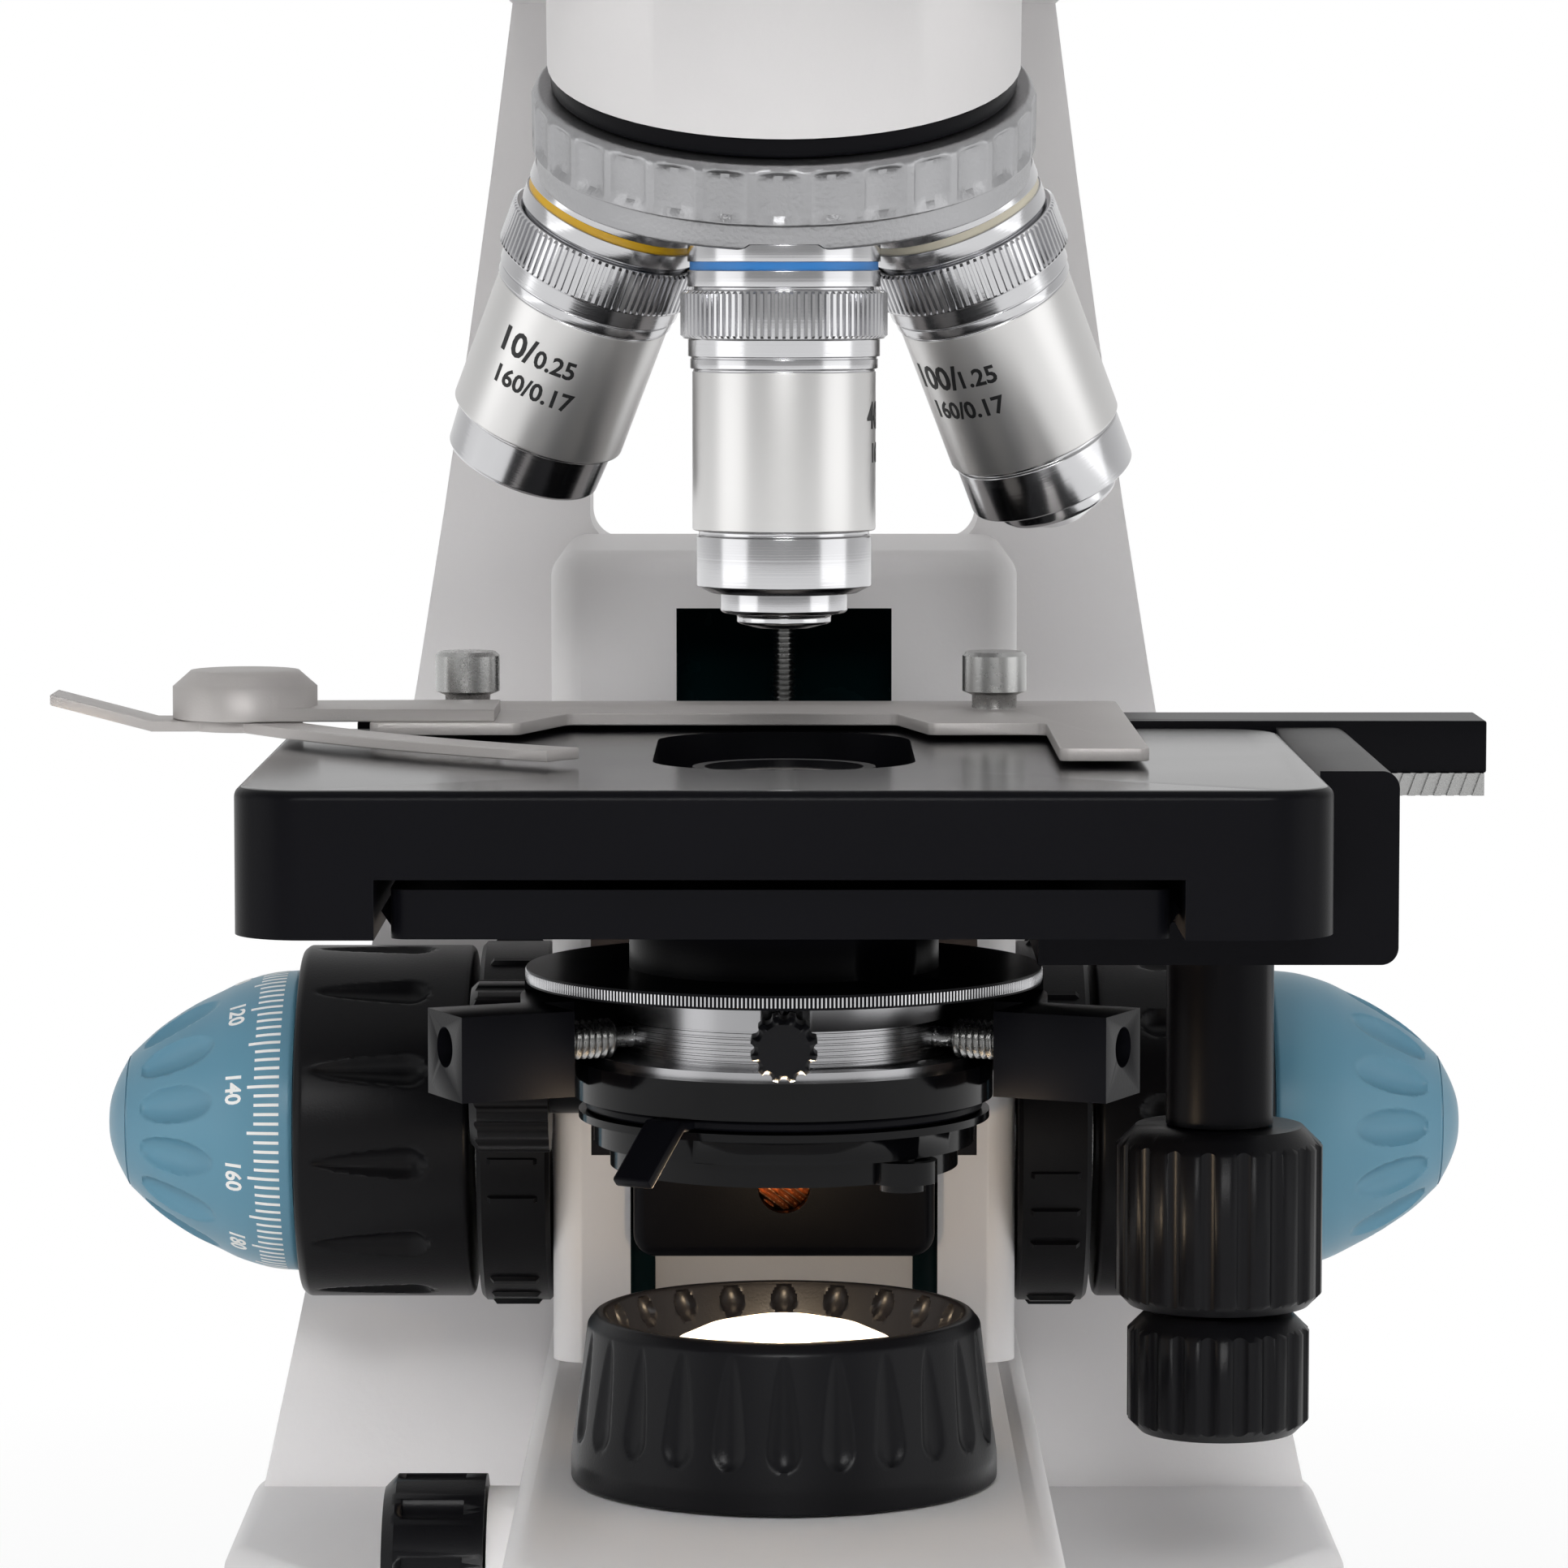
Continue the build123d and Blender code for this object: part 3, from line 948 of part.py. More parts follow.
# Slide clip: the fixed arm with its cap and pin, and the sprung finger lever below
CLIP_PIN = 2.0
ARM_TOP = HOLDER_TOP + HOLDER_THICK
LEVER_LOW = STAGE_TOP + 0.8
LEVER_HIGH = HOLDER_TOP - SLIDE
LEVER_HUB = 7.0
FINGER_HALF = 3.0
TAIL_HALF = 4.5
TAIL_RISE = 3.2
with BuildPart() as clip_arm:
    with BuildSketch(Plane.XY.offset(HOLDER_TOP)):
        with Locations((-CLIP_X, CLIP_Y)):
            Circle(CLIP_CAP_RADIUS)
        with BuildLine():
            Polyline(
                (-CLIP_X, CLIP_Y + CLIP_CAP_RADIUS - 1.0),
                (-CLIP_X, CLIP_Y - CLIP_CAP_RADIUS + 1.0),
                (-SHOULDER_LEFT - 3.0, HOLDER_FRONT + 2.0),
                (-SHOULDER_LEFT - 3.0, THUMB_Y - THUMB_RADIUS - 3.0),
                close=True,
            )
        make_face()
    extrude(amount=HOLDER_THICK)
    turn(
        [
            (0, LEVER_LOW),
            (CLIP_PIN, LEVER_LOW),
            (CLIP_PIN, ARM_TOP),
            (CLIP_CAP_RADIUS, ARM_TOP),
            (CLIP_CAP_RADIUS, ARM_TOP + CLIP_CAP_HEIGHT * 0.55),
            (CLIP_CAP_RADIUS - 2.2, ARM_TOP + CLIP_CAP_HEIGHT),
            (0, ARM_TOP + CLIP_CAP_HEIGHT),
        ],
        Plane((-CLIP_X, CLIP_Y, 0)),
    )
with BuildPart() as clip_lever:
    with BuildSketch(Plane.XY.offset(LEVER_LOW)):
        with Locations((-CLIP_X, CLIP_Y)):
            Circle(LEVER_HUB)
        with BuildLine():
            bend = (-(CLIP_X + CLIP_TIP_X) / 2 - 2.5, (CLIP_Y - CLIP_TIP_Y) / 2 - 2.5)
            ThreePointArc((-CLIP_X, CLIP_Y), bend, (-CLIP_TIP_X, -CLIP_TIP_Y))
        trace(line_width=2 * FINGER_HALF)
    extrude(amount=LEVER_HIGH - LEVER_LOW)
    thick = LEVER_HIGH - LEVER_LOW
    bend_x = -CLIP_X - LEVER_HUB - 4.0
    with BuildSketch(Plane.XZ.offset(-CLIP_Y - TAIL_HALF)):
        with BuildLine():
            Polyline(
                (-CLIP_X - LEVER_HUB + 2.0, LEVER_LOW),
                (-CLIP_X - LEVER_HUB + 2.0, LEVER_HIGH),
                (bend_x, LEVER_HIGH),
                (-CLIP_TAIL_X, LEVER_HIGH + TAIL_RISE),
                (-CLIP_TAIL_X, LEVER_LOW + TAIL_RISE),
                (bend_x, LEVER_LOW),
                close=True,
            )
        make_face()
    extrude(amount=2 * TAIL_HALF)
    pin_low = (-CLIP_X, CLIP_Y, LEVER_LOW - 1)
    rod(CLIP_PIN + RUN, pin_low, (-CLIP_X, CLIP_Y, LEVER_HIGH + 1), Mode.SUBTRACT)

# Stage drive: bracket on the upper plate, hanging tube, two coaxial knobs
knob_axis = Plane((KNOB_X, KNOB_Y, 0))
with BuildPart() as drive_bracket:
    with BuildSketch(Plane.XZ.offset(-BRACKET_REAR)):
        with BuildLine():
            Polyline(
                (BRACKET_LEFT, BRACKET_BOTTOM),
                (BRACKET_RIGHT, BRACKET_BOTTOM),
                (BRACKET_RIGHT, STAGE_TOP),
                (STAGE_HALF_WIDTH, STAGE_TOP),
                (STAGE_HALF_WIDTH, BRACKET_TOP),
                (BRACKET_LEFT, BRACKET_TOP),
                close=True,
            )
        make_face()
    extrude(amount=BRACKET_REAR + BRACKET_FRONT)
    fillet(drive_bracket.edges().filter_by(Axis.Y).group_by(Axis.X)[-1], BRACKET_CORNER)
    rod(TUBE_RADIUS, (KNOB_X, KNOB_Y, TUBE_BOTTOM), (KNOB_X, KNOB_Y, BRACKET_TOP))
    tube_top = (KNOB_X, KNOB_Y, BRACKET_TOP + 1)
    rod(TUBE_BORE, (KNOB_X, KNOB_Y, TUBE_BOTTOM - 1), tube_top, Mode.SUBTRACT)
    bar_room_y = (X_RACK_FACE - 1.0, BRACKET_REAR + 1)
    bar_room_z = (X_RACK_Z[0] - GAP, STAGE_TOP + 1)
    block((STAGE_HALF_WIDTH - 1, BRACKET_RIGHT + 1), bar_room_y, bar_room_z, Mode.SUBTRACT)


def fluted_knob(radius, low, high, shaft):
    """Round knob with bevelled ends and upright finger flutes, on its turned shaft and pinion."""
    bore = shaft[0][0]
    with BuildPart() as knob:
        turn(
            [
                (bore, low),
                (radius - 1.6, low),
                (radius, low + 1.6),
                (radius, high - 2.4),
                (radius - 2.4, high),
                (bore, high),
            ],
            knob_axis,
        )
        with Locations(Plane((KNOB_X, KNOB_Y, (low + high) / 2))):
            with PolarLocations(radius + 0.7, STAGE_KNOB_FLUTES):
                Cylinder(1.3, high - low, mode=Mode.SUBTRACT)
        turn(shaft, knob_axis)
    return knob


X_SHAFT_RADIUS = Y_SHAFT_BORE - RUN
Y_SHAFT_RADIUS = TUBE_BORE - RUN
PINION_TIP = STAGE_PINION - SLIDE
y_shaft_profile = [
    (Y_SHAFT_BORE, Y_KNOB_BOTTOM),
    (Y_SHAFT_RADIUS, Y_KNOB_BOTTOM),
    (Y_SHAFT_RADIUS, Y_RACK_Z[0]),
    (PINION_TIP, Y_RACK_Z[0]),
    (PINION_TIP, Y_RACK_Z[1]),
    (Y_SHAFT_BORE, Y_RACK_Z[1]),
]
x_shaft_profile = [
    (0, X_KNOB_BOTTOM),
    (X_SHAFT_RADIUS, X_KNOB_BOTTOM),
    (X_SHAFT_RADIUS, X_RACK_Z[0]),
    (PINION_TIP, X_RACK_Z[0]),
    (PINION_TIP, X_RACK_Z[1] - SLIDE),
    (0, X_RACK_Z[1] - SLIDE),
]
y_knob = fluted_knob(Y_KNOB_RADIUS, Y_KNOB_BOTTOM, TUBE_BOTTOM - GAP, y_shaft_profile)
x_knob = fluted_knob(X_KNOB_RADIUS, X_KNOB_BOTTOM, X_KNOB_TOP, x_shaft_profile)

# Substage guide on the front of the carrier: two cheeks, a web and the knob bearings
RACK_BACK = HEIGHT_Y - HEIGHT_PINION
WEB_FRONT = HEIGHT_Y + HEIGHT_PINION + 0.6
HEIGHT_SHAFT = 2.5
with BuildPart() as substage_guide:
    plan_plate(
        [
            (-CHEEK_OUTER, CHEEK_FRONT),
            (-CHEEK_INNER, CHEEK_FRONT),
            (-CHEEK_INNER, WEB_FRONT),
            (CHEEK_INNER, WEB_FRONT),
            (CHEEK_INNER, CHEEK_FRONT),
            (CHEEK_OUTER, CHEEK_FRONT),
            (CHEEK_OUTER, CARRIER_FRONT),
            (-CHEEK_OUTER, CARRIER_FRONT),
        ],
        CHEEK_BOTTOM,
        SHELF_BOTTOM,
    )
    shaft_start = (-CHEEK_OUTER - 1, HEIGHT_Y, HEIGHT_Z)
    rod(HEIGHT_SHAFT + RUN, shaft_start, (CHEEK_OUTER + 1, HEIGHT_Y, HEIGHT_Z), Mode.SUBTRACT)

# Condenser height knob on its shaft with the pinion
HUB_RADIUS = 6.0
with BuildPart() as height_knob:
    height_plane = Plane((0, HEIGHT_Y, HEIGHT_Z), x_dir=(0, 0, 1), z_dir=(1, 0, 0))
    turn(
        [
            (0, -HEIGHT_KNOB_LEFT),
            (HEIGHT_KNOB_RADIUS - 1.0, -HEIGHT_KNOB_LEFT),
            (HEIGHT_KNOB_RADIUS, -HEIGHT_KNOB_LEFT + 1.0),
            (HEIGHT_KNOB_RADIUS, -HEIGHT_KNOB_RIGHT),
            (HUB_RADIUS, -HEIGHT_KNOB_RIGHT),
            (HUB_RADIUS, -CHEEK_OUTER - GAP),
            (HEIGHT_SHAFT, -CHEEK_OUTER - GAP),
            (HEIGHT_SHAFT, -SUBSTAGE_HALF_WIDTH + 4.0),
            (HEIGHT_PINION - SLIDE, -SUBSTAGE_HALF_WIDTH + 4.0),
            (HEIGHT_PINION - SLIDE, 0),
            (HEIGHT_SHAFT, 0),
            (HEIGHT_SHAFT, CHEEK_OUTER),
            (0, CHEEK_OUTER),
        ],
        height_plane,
    )
    with Locations(height_plane.offset(-(HEIGHT_KNOB_LEFT + HEIGHT_KNOB_RIGHT) / 2)):
        with PolarLocations(HEIGHT_KNOB_RADIUS + 0.6, 20):
            Cylinder(1.0, HEIGHT_KNOB_LEFT - HEIGHT_KNOB_RIGHT + 2, mode=Mode.SUBTRACT)

# Condenser slide with the open fork, its seat and the two centring lugs
LUG_LENGTH = 14.0
RING_END = LUG_ANGLE - 8.0
FORK_REACH = 2 * FORK_OUTER
BRIDGE_HALF = 14.0
lug_angles = [180 + LUG_ANGLE, -LUG_ANGLE]


def around_axis(radius, degrees, height):
    """Point at a radius and angle about the optical axis."""
    angle = math.radians(degrees)
    return (radius * math.cos(angle), radius * math.sin(angle), height)


def fork_ring(inner, end, low, high):
    """Part of a ring that stays open towards the user."""
    with BuildSketch(Plane.XY.offset(low), mode=Mode.PRIVATE) as ring:
        Circle(FORK_OUTER)
        Circle(inner, mode=Mode.SUBTRACT)
        with BuildLine():
            mouth = [around_axis(FORK_REACH, a, 0) for a in (180 + end, 225, 270, 315, 360 - end)]
            Polyline((0, 0), *mouth, close=True)
        make_face(mode=Mode.SUBTRACT)
    extrude(ring.sketch, amount=high - low)


with BuildPart() as condenser_fork:
    plate_x = (-SUBSTAGE_HALF_WIDTH, SUBSTAGE_HALF_WIDTH)
    block(plate_x, (SUBSTAGE_PLATE_FRONT, RACK_BACK), (SUBSTAGE_BOTTOM, SHELF_BOTTOM - GAP))
    bridge_y = (FORK_INNER + 1.5, SUBSTAGE_PLATE_FRONT + 1)
    block((-BRIDGE_HALF, BRIDGE_HALF), bridge_y, (FORK_BOTTOM, FORK_TOP))
    fork_ring(FORK_INNER, RING_END, FORK_BOTTOM, FORK_TOP)
    fork_ring(FORK_SEAT, -8, FORK_TOP - 0.01, FLANGE_BOTTOM)
    for angle in lug_angles:
        outward = Vector(*around_axis(1, angle, 0))
        middle = around_axis(LUG_REACH, angle, (FORK_BOTTOM + FORK_TOP) / 2)
        with Locations(Plane(middle, x_dir=outward, z_dir=(0, 0, 1))):
            Box(LUG_LENGTH, LUG_SIZE, FORK_TOP - FORK_BOTTOM)
    for angle in lug_angles:
        tip = around_axis(BARREL_RADIUS, angle, CENTRING_Z)
        end = around_axis(LUG_REACH + LUG_LENGTH, angle, CENTRING_Z)
        rod(CENTRING_RADIUS + RUN, tip, end, Mode.SUBTRACT)

# Centring screws with dog points on the barrel
DOG_RADIUS = 1.2
DOG_LENGTH = 2.6
with BuildPart() as centring_screws:
    for angle in lug_angles:
        neck = around_axis(BARREL_RADIUS + DOG_LENGTH, angle, CENTRING_Z)
        rod(DOG_RADIUS, around_axis(BARREL_RADIUS + RUN, angle, CENTRING_Z), neck)
        rod(CENTRING_RADIUS, neck, around_axis(LUG_REACH + 2.0, angle, CENTRING_Z))

# Condenser optics: black upper barrel with the flange, top lens, bright barrel, iris housing
LIGHT_PATH = 15.0
RIM_WALL = 1.4
LENS_SEAT = 1.7
SHOULDER_Z = STAGE_TOP - STAGE_SLAB - 0.6
with BuildPart() as condenser_body:
    upright(
        [
            (LIGHT_PATH, FLANGE_BOTTOM),
            (FLANGE_RADIUS, FLANGE_BOTTOM),
            (FLANGE_RADIUS, FLANGE_TOP),
            (UPPER_BARREL, FLANGE_TOP),
            (UPPER_BARREL, UPPER_BARREL_TOP),
            (CONDENSER_RIM + 0.8, SHOULDER_Z),
            (CONDENSER_RIM, CONDENSER_TOP),
            (CONDENSER_RIM - RIM_WALL, CONDENSER_TOP),
            (CONDENSER_RIM - RIM_WALL, CONDENSER_TOP - LENS_SEAT),
            (CONDENSER_RIM - 2 * RIM_WALL, CONDENSER_TOP - LENS_SEAT),
            (CONDENSER_RIM - 2 * RIM_WALL, SHOULDER_Z),
            (LIGHT_PATH, UPPER_BARREL_TOP - 3.0),
        ]
    )
LENS_EDGE_RADIUS = CONDENSER_RIM - RIM_WALL - RUN
condenser_lens = domed_lens(
    LENS_EDGE_RADIUS, CONDENSER_TOP - LENS_SEAT, CONDENSER_TOP - 0.9, CONDENSER_TOP - 0.3
)
CLAMP_SHANK = 2.0
CLAMP_HEAD_BACK = CLAMP_FACE - 5.0
with BuildPart() as condenser_barrel:
    upright(
        [
            (LIGHT_PATH, FLANGE_BOTTOM),
            (LIGHT_PATH, SKIRT_RING_BOTTOM),
            (SKIRT_RING_RADIUS, SKIRT_RING_BOTTOM),
            (SKIRT_RING_RADIUS, BARREL_BOTTOM),
            (BARREL_RADIUS, BARREL_BOTTOM),
            (BARREL_RADIUS, FLANGE_BOTTOM),
        ]
    )
    rod(CLAMP_SHANK + RUN, (0, -LIGHT_PATH - 1, CLAMP_Z), (0, -CLAMP_FACE, CLAMP_Z), Mode.SUBTRACT)
LEVER_TOP = IRIS_SPLIT - 0.2
LEVER_BOTTOM = LEVER_TOP - 1.2
GROOVE_BOTTOM = LEVER_BOTTOM - 0.2
GROOVE_RADIUS = 20.0
FILTER_TOP = IRIS_BOTTOM - 0.2
FILTER_PIN = 1.5
FILTER_PIVOT = around_axis(FILTER_RADIUS, FILTER_PIVOT_ANGLE, 0)
FILTER_HEAD = 2.6
with BuildPart() as iris_housing:
    upright(
        [
            (IRIS_CLEAR, SKIRT_RING_BOTTOM),
            (IRIS_RADIUS, SKIRT_RING_BOTTOM),
            (IRIS_RADIUS, IRIS_SPLIT),
            (GROOVE_RADIUS, IRIS_SPLIT),
            (GROOVE_RADIUS, GROOVE_BOTTOM),
            (IRIS_LOWER_RADIUS, GROOVE_BOTTOM),
            (IRIS_LOWER_RADIUS, IRIS_RING_BOTTOM),
            (IRIS_TAIL_RADIUS, IRIS_RING_BOTTOM),
            (IRIS_TAIL_RADIUS, IRIS_BOTTOM),
            (IRIS_CLEAR, IRIS_BOTTOM),
        ]
    )
    turn(
        [
            (0, IRIS_BOTTOM + 1.0),
            (FILTER_PIN, IRIS_BOTTOM + 1.0),
            (FILTER_PIN, FILTER_TOP - FILTER_THICK - 0.2),
            (FILTER_HEAD, FILTER_TOP - FILTER_THICK - 0.2),
            (FILTER_HEAD, FILTER_TOP - FILTER_THICK - 1.0),
            (0, FILTER_TOP - FILTER_THICK - 1.0),
        ],
        Plane(FILTER_PIVOT),
    )

# Iris lever: a ring in the groove with a strip that bends down and out
LEVER_ANGLE = 238.0
LEVER_TIP = 33.0
LEVER_DROP = 6.0
LEVER_HALF = 2.5
with BuildPart() as iris_lever:
    upright(
        [
            (GROOVE_RADIUS + RUN, LEVER_BOTTOM),
            (IRIS_LOWER_RADIUS - 0.8, LEVER_BOTTOM),
            (IRIS_LOWER_RADIUS - 0.8, LEVER_TOP),
            (GROOVE_RADIUS + RUN, LEVER_TOP),
        ]
    )
    outward = Vector(*around_axis(1, LEVER_ANGLE, 0))
    with BuildSketch(Plane((0, 0, 0), x_dir=outward, z_dir=outward.cross(Vector(0, 0, 1)))):
        with BuildLine():
            bend_r = IRIS_RADIUS + 1.4
            Polyline(
                (GROOVE_RADIUS + 1.0, LEVER_TOP),
                (bend_r, LEVER_TOP),
                (LEVER_TIP, LEVER_TOP - LEVER_DROP),
                (LEVER_TIP - 0.9, LEVER_BOTTOM - LEVER_DROP + 0.2),
                (bend_r - 0.6, LEVER_BOTTOM),
                (GROOVE_RADIUS + 1.0, LEVER_BOTTOM),
                close=True,
            )
        make_face()
    extrude(amount=LEVER_HALF, both=True)

# Swing-out filter holder below the iris
EAR_RADIUS = 4.0
with BuildPart() as filter_holder:
    with BuildSketch(Plane.XY.offset(FILTER_TOP - FILTER_THICK)):
        Circle(FILTER_RADIUS)
        with Locations(FILTER_PIVOT):
            Circle(EAR_RADIUS)
        Circle(FILTER_BORE, mode=Mode.SUBTRACT)
        with Locations(FILTER_PIVOT):
            Circle(FILTER_PIN + RUN, mode=Mode.SUBTRACT)
    extrude(amount=FILTER_THICK)

# Thumbscrew in the front of the condenser barrel
with BuildPart() as clamp_screw:
    forward = Plane((0, 0, CLAMP_Z), x_dir=(1, 0, 0), z_dir=(0, -1, 0))
    turn(
        [
            (0, LIGHT_PATH + 1.0),
            (CLAMP_SHANK, LIGHT_PATH + 1.0),
            (CLAMP_SHANK, CLAMP_HEAD_BACK),
            (CLAMP_RADIUS, CLAMP_HEAD_BACK),
            (CLAMP_RADIUS, CLAMP_FACE - 0.6),
            (CLAMP_RADIUS - 0.6, CLAMP_FACE),
            (0, CLAMP_FACE),
        ],
        forward,
    )
    with Locations(forward.offset((CLAMP_HEAD_BACK + CLAMP_FACE) / 2)):
        with PolarLocations(CLAMP_RADIUS + 0.3, 12):
            Cylinder(0.6, CLAMP_FACE - CLAMP_HEAD_BACK + 1, mode=Mode.SUBTRACT)

# Nosepiece: the fixed disc with its pivot, and the turret below it
HOLE_STEP = 360 / HOLE_COUNT
SEAT_DEPTH = 0.8  # spot face below the cone
CENTRE_FLAT = PIVOT_HEAD + 1.0
TURRET_BOWL = 9.0
BOWL_WALL = 3.9
BOWL_RADIUS = TURRET_RADIUS - BOWL_WALL
DISC_BORE = 7.0


def cone_height(radius):
    """Height of the turret's underside above the seat circle's plane."""
    return (radius - HOLE_CIRCLE) * TILT_SIN / TILT_COS - SEAT_DEPTH / TILT_COS


def objective_plane(hole):
    """Seat of an objective, with Z pointing down the objective; hole 0 is the one in use."""
    angle = math.radians(-90 + HOLE_STEP * hole)
    out = turret_plane.x_dir * math.cos(angle) + turret_plane.y_dir * math.sin(angle)
    seat = turret_plane.origin + out * HOLE_CIRCLE
    down = out * TILT_SIN - turret_plane.z_dir * TILT_COS
    return Plane(seat, x_dir=turret_plane.z_dir.cross(out), z_dir=down)


FLAT_HEIGHT = cone_height(CENTRE_FLAT)
with BuildPart() as turret:
    turn(
        [
            (PIVOT_RADIUS + RUN, FLAT_HEIGHT),
            (CENTRE_FLAT, FLAT_HEIGHT),
            (FLANGE_OUT, cone_height(FLANGE_OUT)),
            (FLANGE_OUT, TURRET_RIM_LOW),
            (TURRET_RADIUS, TURRET_RIM_LOW),
            (TURRET_RADIUS, TURRET_RIM_HIGH - 0.8),
            (TURRET_RADIUS - 0.8, TURRET_RIM_HIGH),
            (BOWL_RADIUS, TURRET_RIM_HIGH),
            (BOWL_RADIUS, TURRET_BOWL),
            (PIVOT_RADIUS + RUN, TURRET_BOWL),
        ],
        turret_plane,
    )
    flute_height = TURRET_RIM_HIGH - TURRET_RIM_LOW - 1.4
    with Locations(turret_plane.offset(TURRET_RIM_LOW + flute_height / 2)):
        with PolarLocations(TURRET_RADIUS + 2.6, TURRET_FLUTES):
            Cylinder(3.1, flute_height, mode=Mode.SUBTRACT)
    for hole in range(HOLE_COUNT):
        seat = objective_plane(hole)
        with BuildSketch(seat, mode=Mode.PRIVATE) as thread:
            Circle(RMS_RADIUS)
        extrude(thread.sketch, amount=-2 * TURRET_BOWL, mode=Mode.SUBTRACT)
        with BuildSketch(seat, mode=Mode.PRIVATE) as spot:
            Circle(SEAT_RADIUS)
        extrude(spot.sketch, amount=4, mode=Mode.SUBTRACT)
with BuildPart() as nosepiece_disc:
    turn(
        [
            (0, DISC_TOP + PIVOT_DEPTH),
            (PIVOT_RADIUS, DISC_TOP + PIVOT_DEPTH),
            (PIVOT_RADIUS, DISC_TOP),
            (DISC_RADIUS, DISC_TOP),
            (DISC_RADIUS, TURRET_RIM_HIGH + GAP),
            (BOWL_RADIUS - GAP, TURRET_RIM_HIGH + GAP),
            (BOWL_RADIUS - GAP, TURRET_BOWL + GAP),
            (PIVOT_RADIUS, TURRET_BOWL + GAP),
            (PIVOT_RADIUS, FLAT_HEIGHT - RUN),
            (PIVOT_HEAD, FLAT_HEIGHT - RUN),
            (PIVOT_HEAD - 1.0, FLAT_HEIGHT - 2.5),
            (0, FLAT_HEIGHT - 2.5),
        ],
        turret_plane,
    )
    rod(DISC_BORE, (0, 0, SEAT_HEIGHT), (0, 0, LIMB_BOTTOM), Mode.SUBTRACT)

# Objectives: a shared body with a colour ring and a knurled grip, then the tip of each
STEM_BORE = 5.0
GRIP_BAND = 11.2
NECK_BAND = 10.75


def objective(hole, tail):
    """Objective in a turret hole; the tail lists (radius, distance below the shoulder) to the tip."""
    with BuildPart() as lens_barrel:
        turn(
            [
                (STEM_BORE, -THREAD_LENGTH),
                (RMS_RADIUS - RUN, -THREAD_LENGTH),
                (RMS_RADIUS - RUN, 0),
                (BARREL_BAND, 0),
                (BARREL_BAND, 2.0),
                (BARREL_RING, 2.0),
                (BARREL_RING, 3.0),
                (BARREL_BAND, 3.0),
                (BARREL_BAND, KNURL_START - 0.4),
                (BARREL_RING - 0.4, KNURL_START - 0.4),
                (BARREL_RING - 0.4, KNURL_START),
                (KNURL_RADIUS, KNURL_START + 0.4),
                (KNURL_RADIUS, KNURL_END - 0.4),
                (GRIP_BAND, KNURL_END),
                (GRIP_BAND, KNURL_END + 2.3),
                (NECK_BAND, KNURL_END + 2.6),
                *tail,
            ],
            objective_plane(hole),
        )
    return lens_barrel


SPRING_RECESS = TIP_RING_END - SPRING_TRAVEL - GAP
NOSE_FLANGE = 7.45
sprung_tail = [
    (SLEEVE_RADIUS, SLEEVE_END),
    (TIP_RING - 0.3, SLEEVE_END),
    (TIP_RING - 0.3, SLEEVE_END + 0.7),
    (TIP_RING, SLEEVE_END + 0.7),
    (TIP_RING, TIP_RING_END - 0.8),
    (NOSE_FLANGE + 0.9, TIP_RING_END),
    (NOSE_FLANGE + RUN, TIP_RING_END),
    (NOSE_FLANGE + RUN, SPRING_RECESS),
    (STEM_BORE, SPRING_RECESS),
]
LOW_SLEEVE_END = 32.0
LOW_TIP_END = 37.5
low_power_tail = [
    (SLEEVE_RADIUS, LOW_SLEEVE_END),
    (TIP_RING - 0.5, LOW_SLEEVE_END + 0.4),
    (TIP_RING - 0.9, LOW_TIP_END),
    (STEM_BORE, LOW_TIP_END),
]
SHORT_SLEEVE_END = 22.0
SHORT_TIP_END = 27.0
scan_tail = [
    (SLEEVE_RADIUS, SHORT_SLEEVE_END),
    (TIP_RING - 0.5, SHORT_SLEEVE_END + 0.4),
    (TIP_RING - 0.9, SHORT_TIP_END),
    (STEM_BORE, SHORT_TIP_END),
]
HOLE_40X, HOLE_100X, HOLE_4X, HOLE_10X = 0, 1, 2, 3
objective_40x = objective(HOLE_40X, sprung_tail)
objective_100x = objective(HOLE_100X, sprung_tail)
objective_10x = objective(HOLE_10X, low_power_tail)
objective_4x = objective(HOLE_4X, scan_tail)

# Sprung noses of the two strong objectives
STEM_START = 26.0


def sprung_nose(hole, steps):
    """Nose that slides into its objective; steps lists (radius, distance) down to the tip."""
    with BuildPart() as nose:
        turn(
            [
                (0, STEM_START),
                (STEM_BORE - RUN, STEM_START),
                (STEM_BORE - RUN, TIP_RING_END - 0.3),
                (NOSE_FLANGE, TIP_RING_END - 0.3),
                *steps,
            ],
            objective_plane(hole),
        )
    return nose


nose_40x = sprung_nose(
    HOLE_40X,
    [(NOSE_FLANGE, 42.9), (5.5, 43.3), (5.5, 44.2), (3.3, PARFOCAL - GAP), (0, PARFOCAL - GAP)],
)
nose_100x = sprung_nose(
    HOLE_100X,
    [(NOSE_FLANGE, 42.4), (6.2, 42.8), (3.0, PARFOCAL - GAP), (0, PARFOCAL - GAP)],
)

# Lamp: tube in the nose, lens on top, grip ring around it, LED module below
SPIGOT_BOTTOM = NOSE_TOP - BASE_WALL - 1.0
TUBE_OUT = COLLECTOR_BORE - RUN
LENS_EDGE = 3.0
LENS_SEAT_Z = LENS_HEIGHT - LENS_EDGE - 1.0
RING_LIP = LENS_RADIUS + 0.7
with BuildPart() as lamp_tube:
    upright(
        [
            (LAMP_TUBE - 3.0, SPIGOT_BOTTOM),
            (LAMP_TUBE - RUN, SPIGOT_BOTTOM),
            (LAMP_TUBE - RUN, NOSE_TOP),
            (TUBE_OUT, NOSE_TOP),
            (TUBE_OUT, LENS_HEIGHT - 1.0),
            (LENS_RADIUS + RUN, LENS_HEIGHT - 1.0),
            (LENS_RADIUS + RUN, LENS_SEAT_Z),
            (LAMP_TUBE - 3.0, LENS_SEAT_Z),
        ]
    )
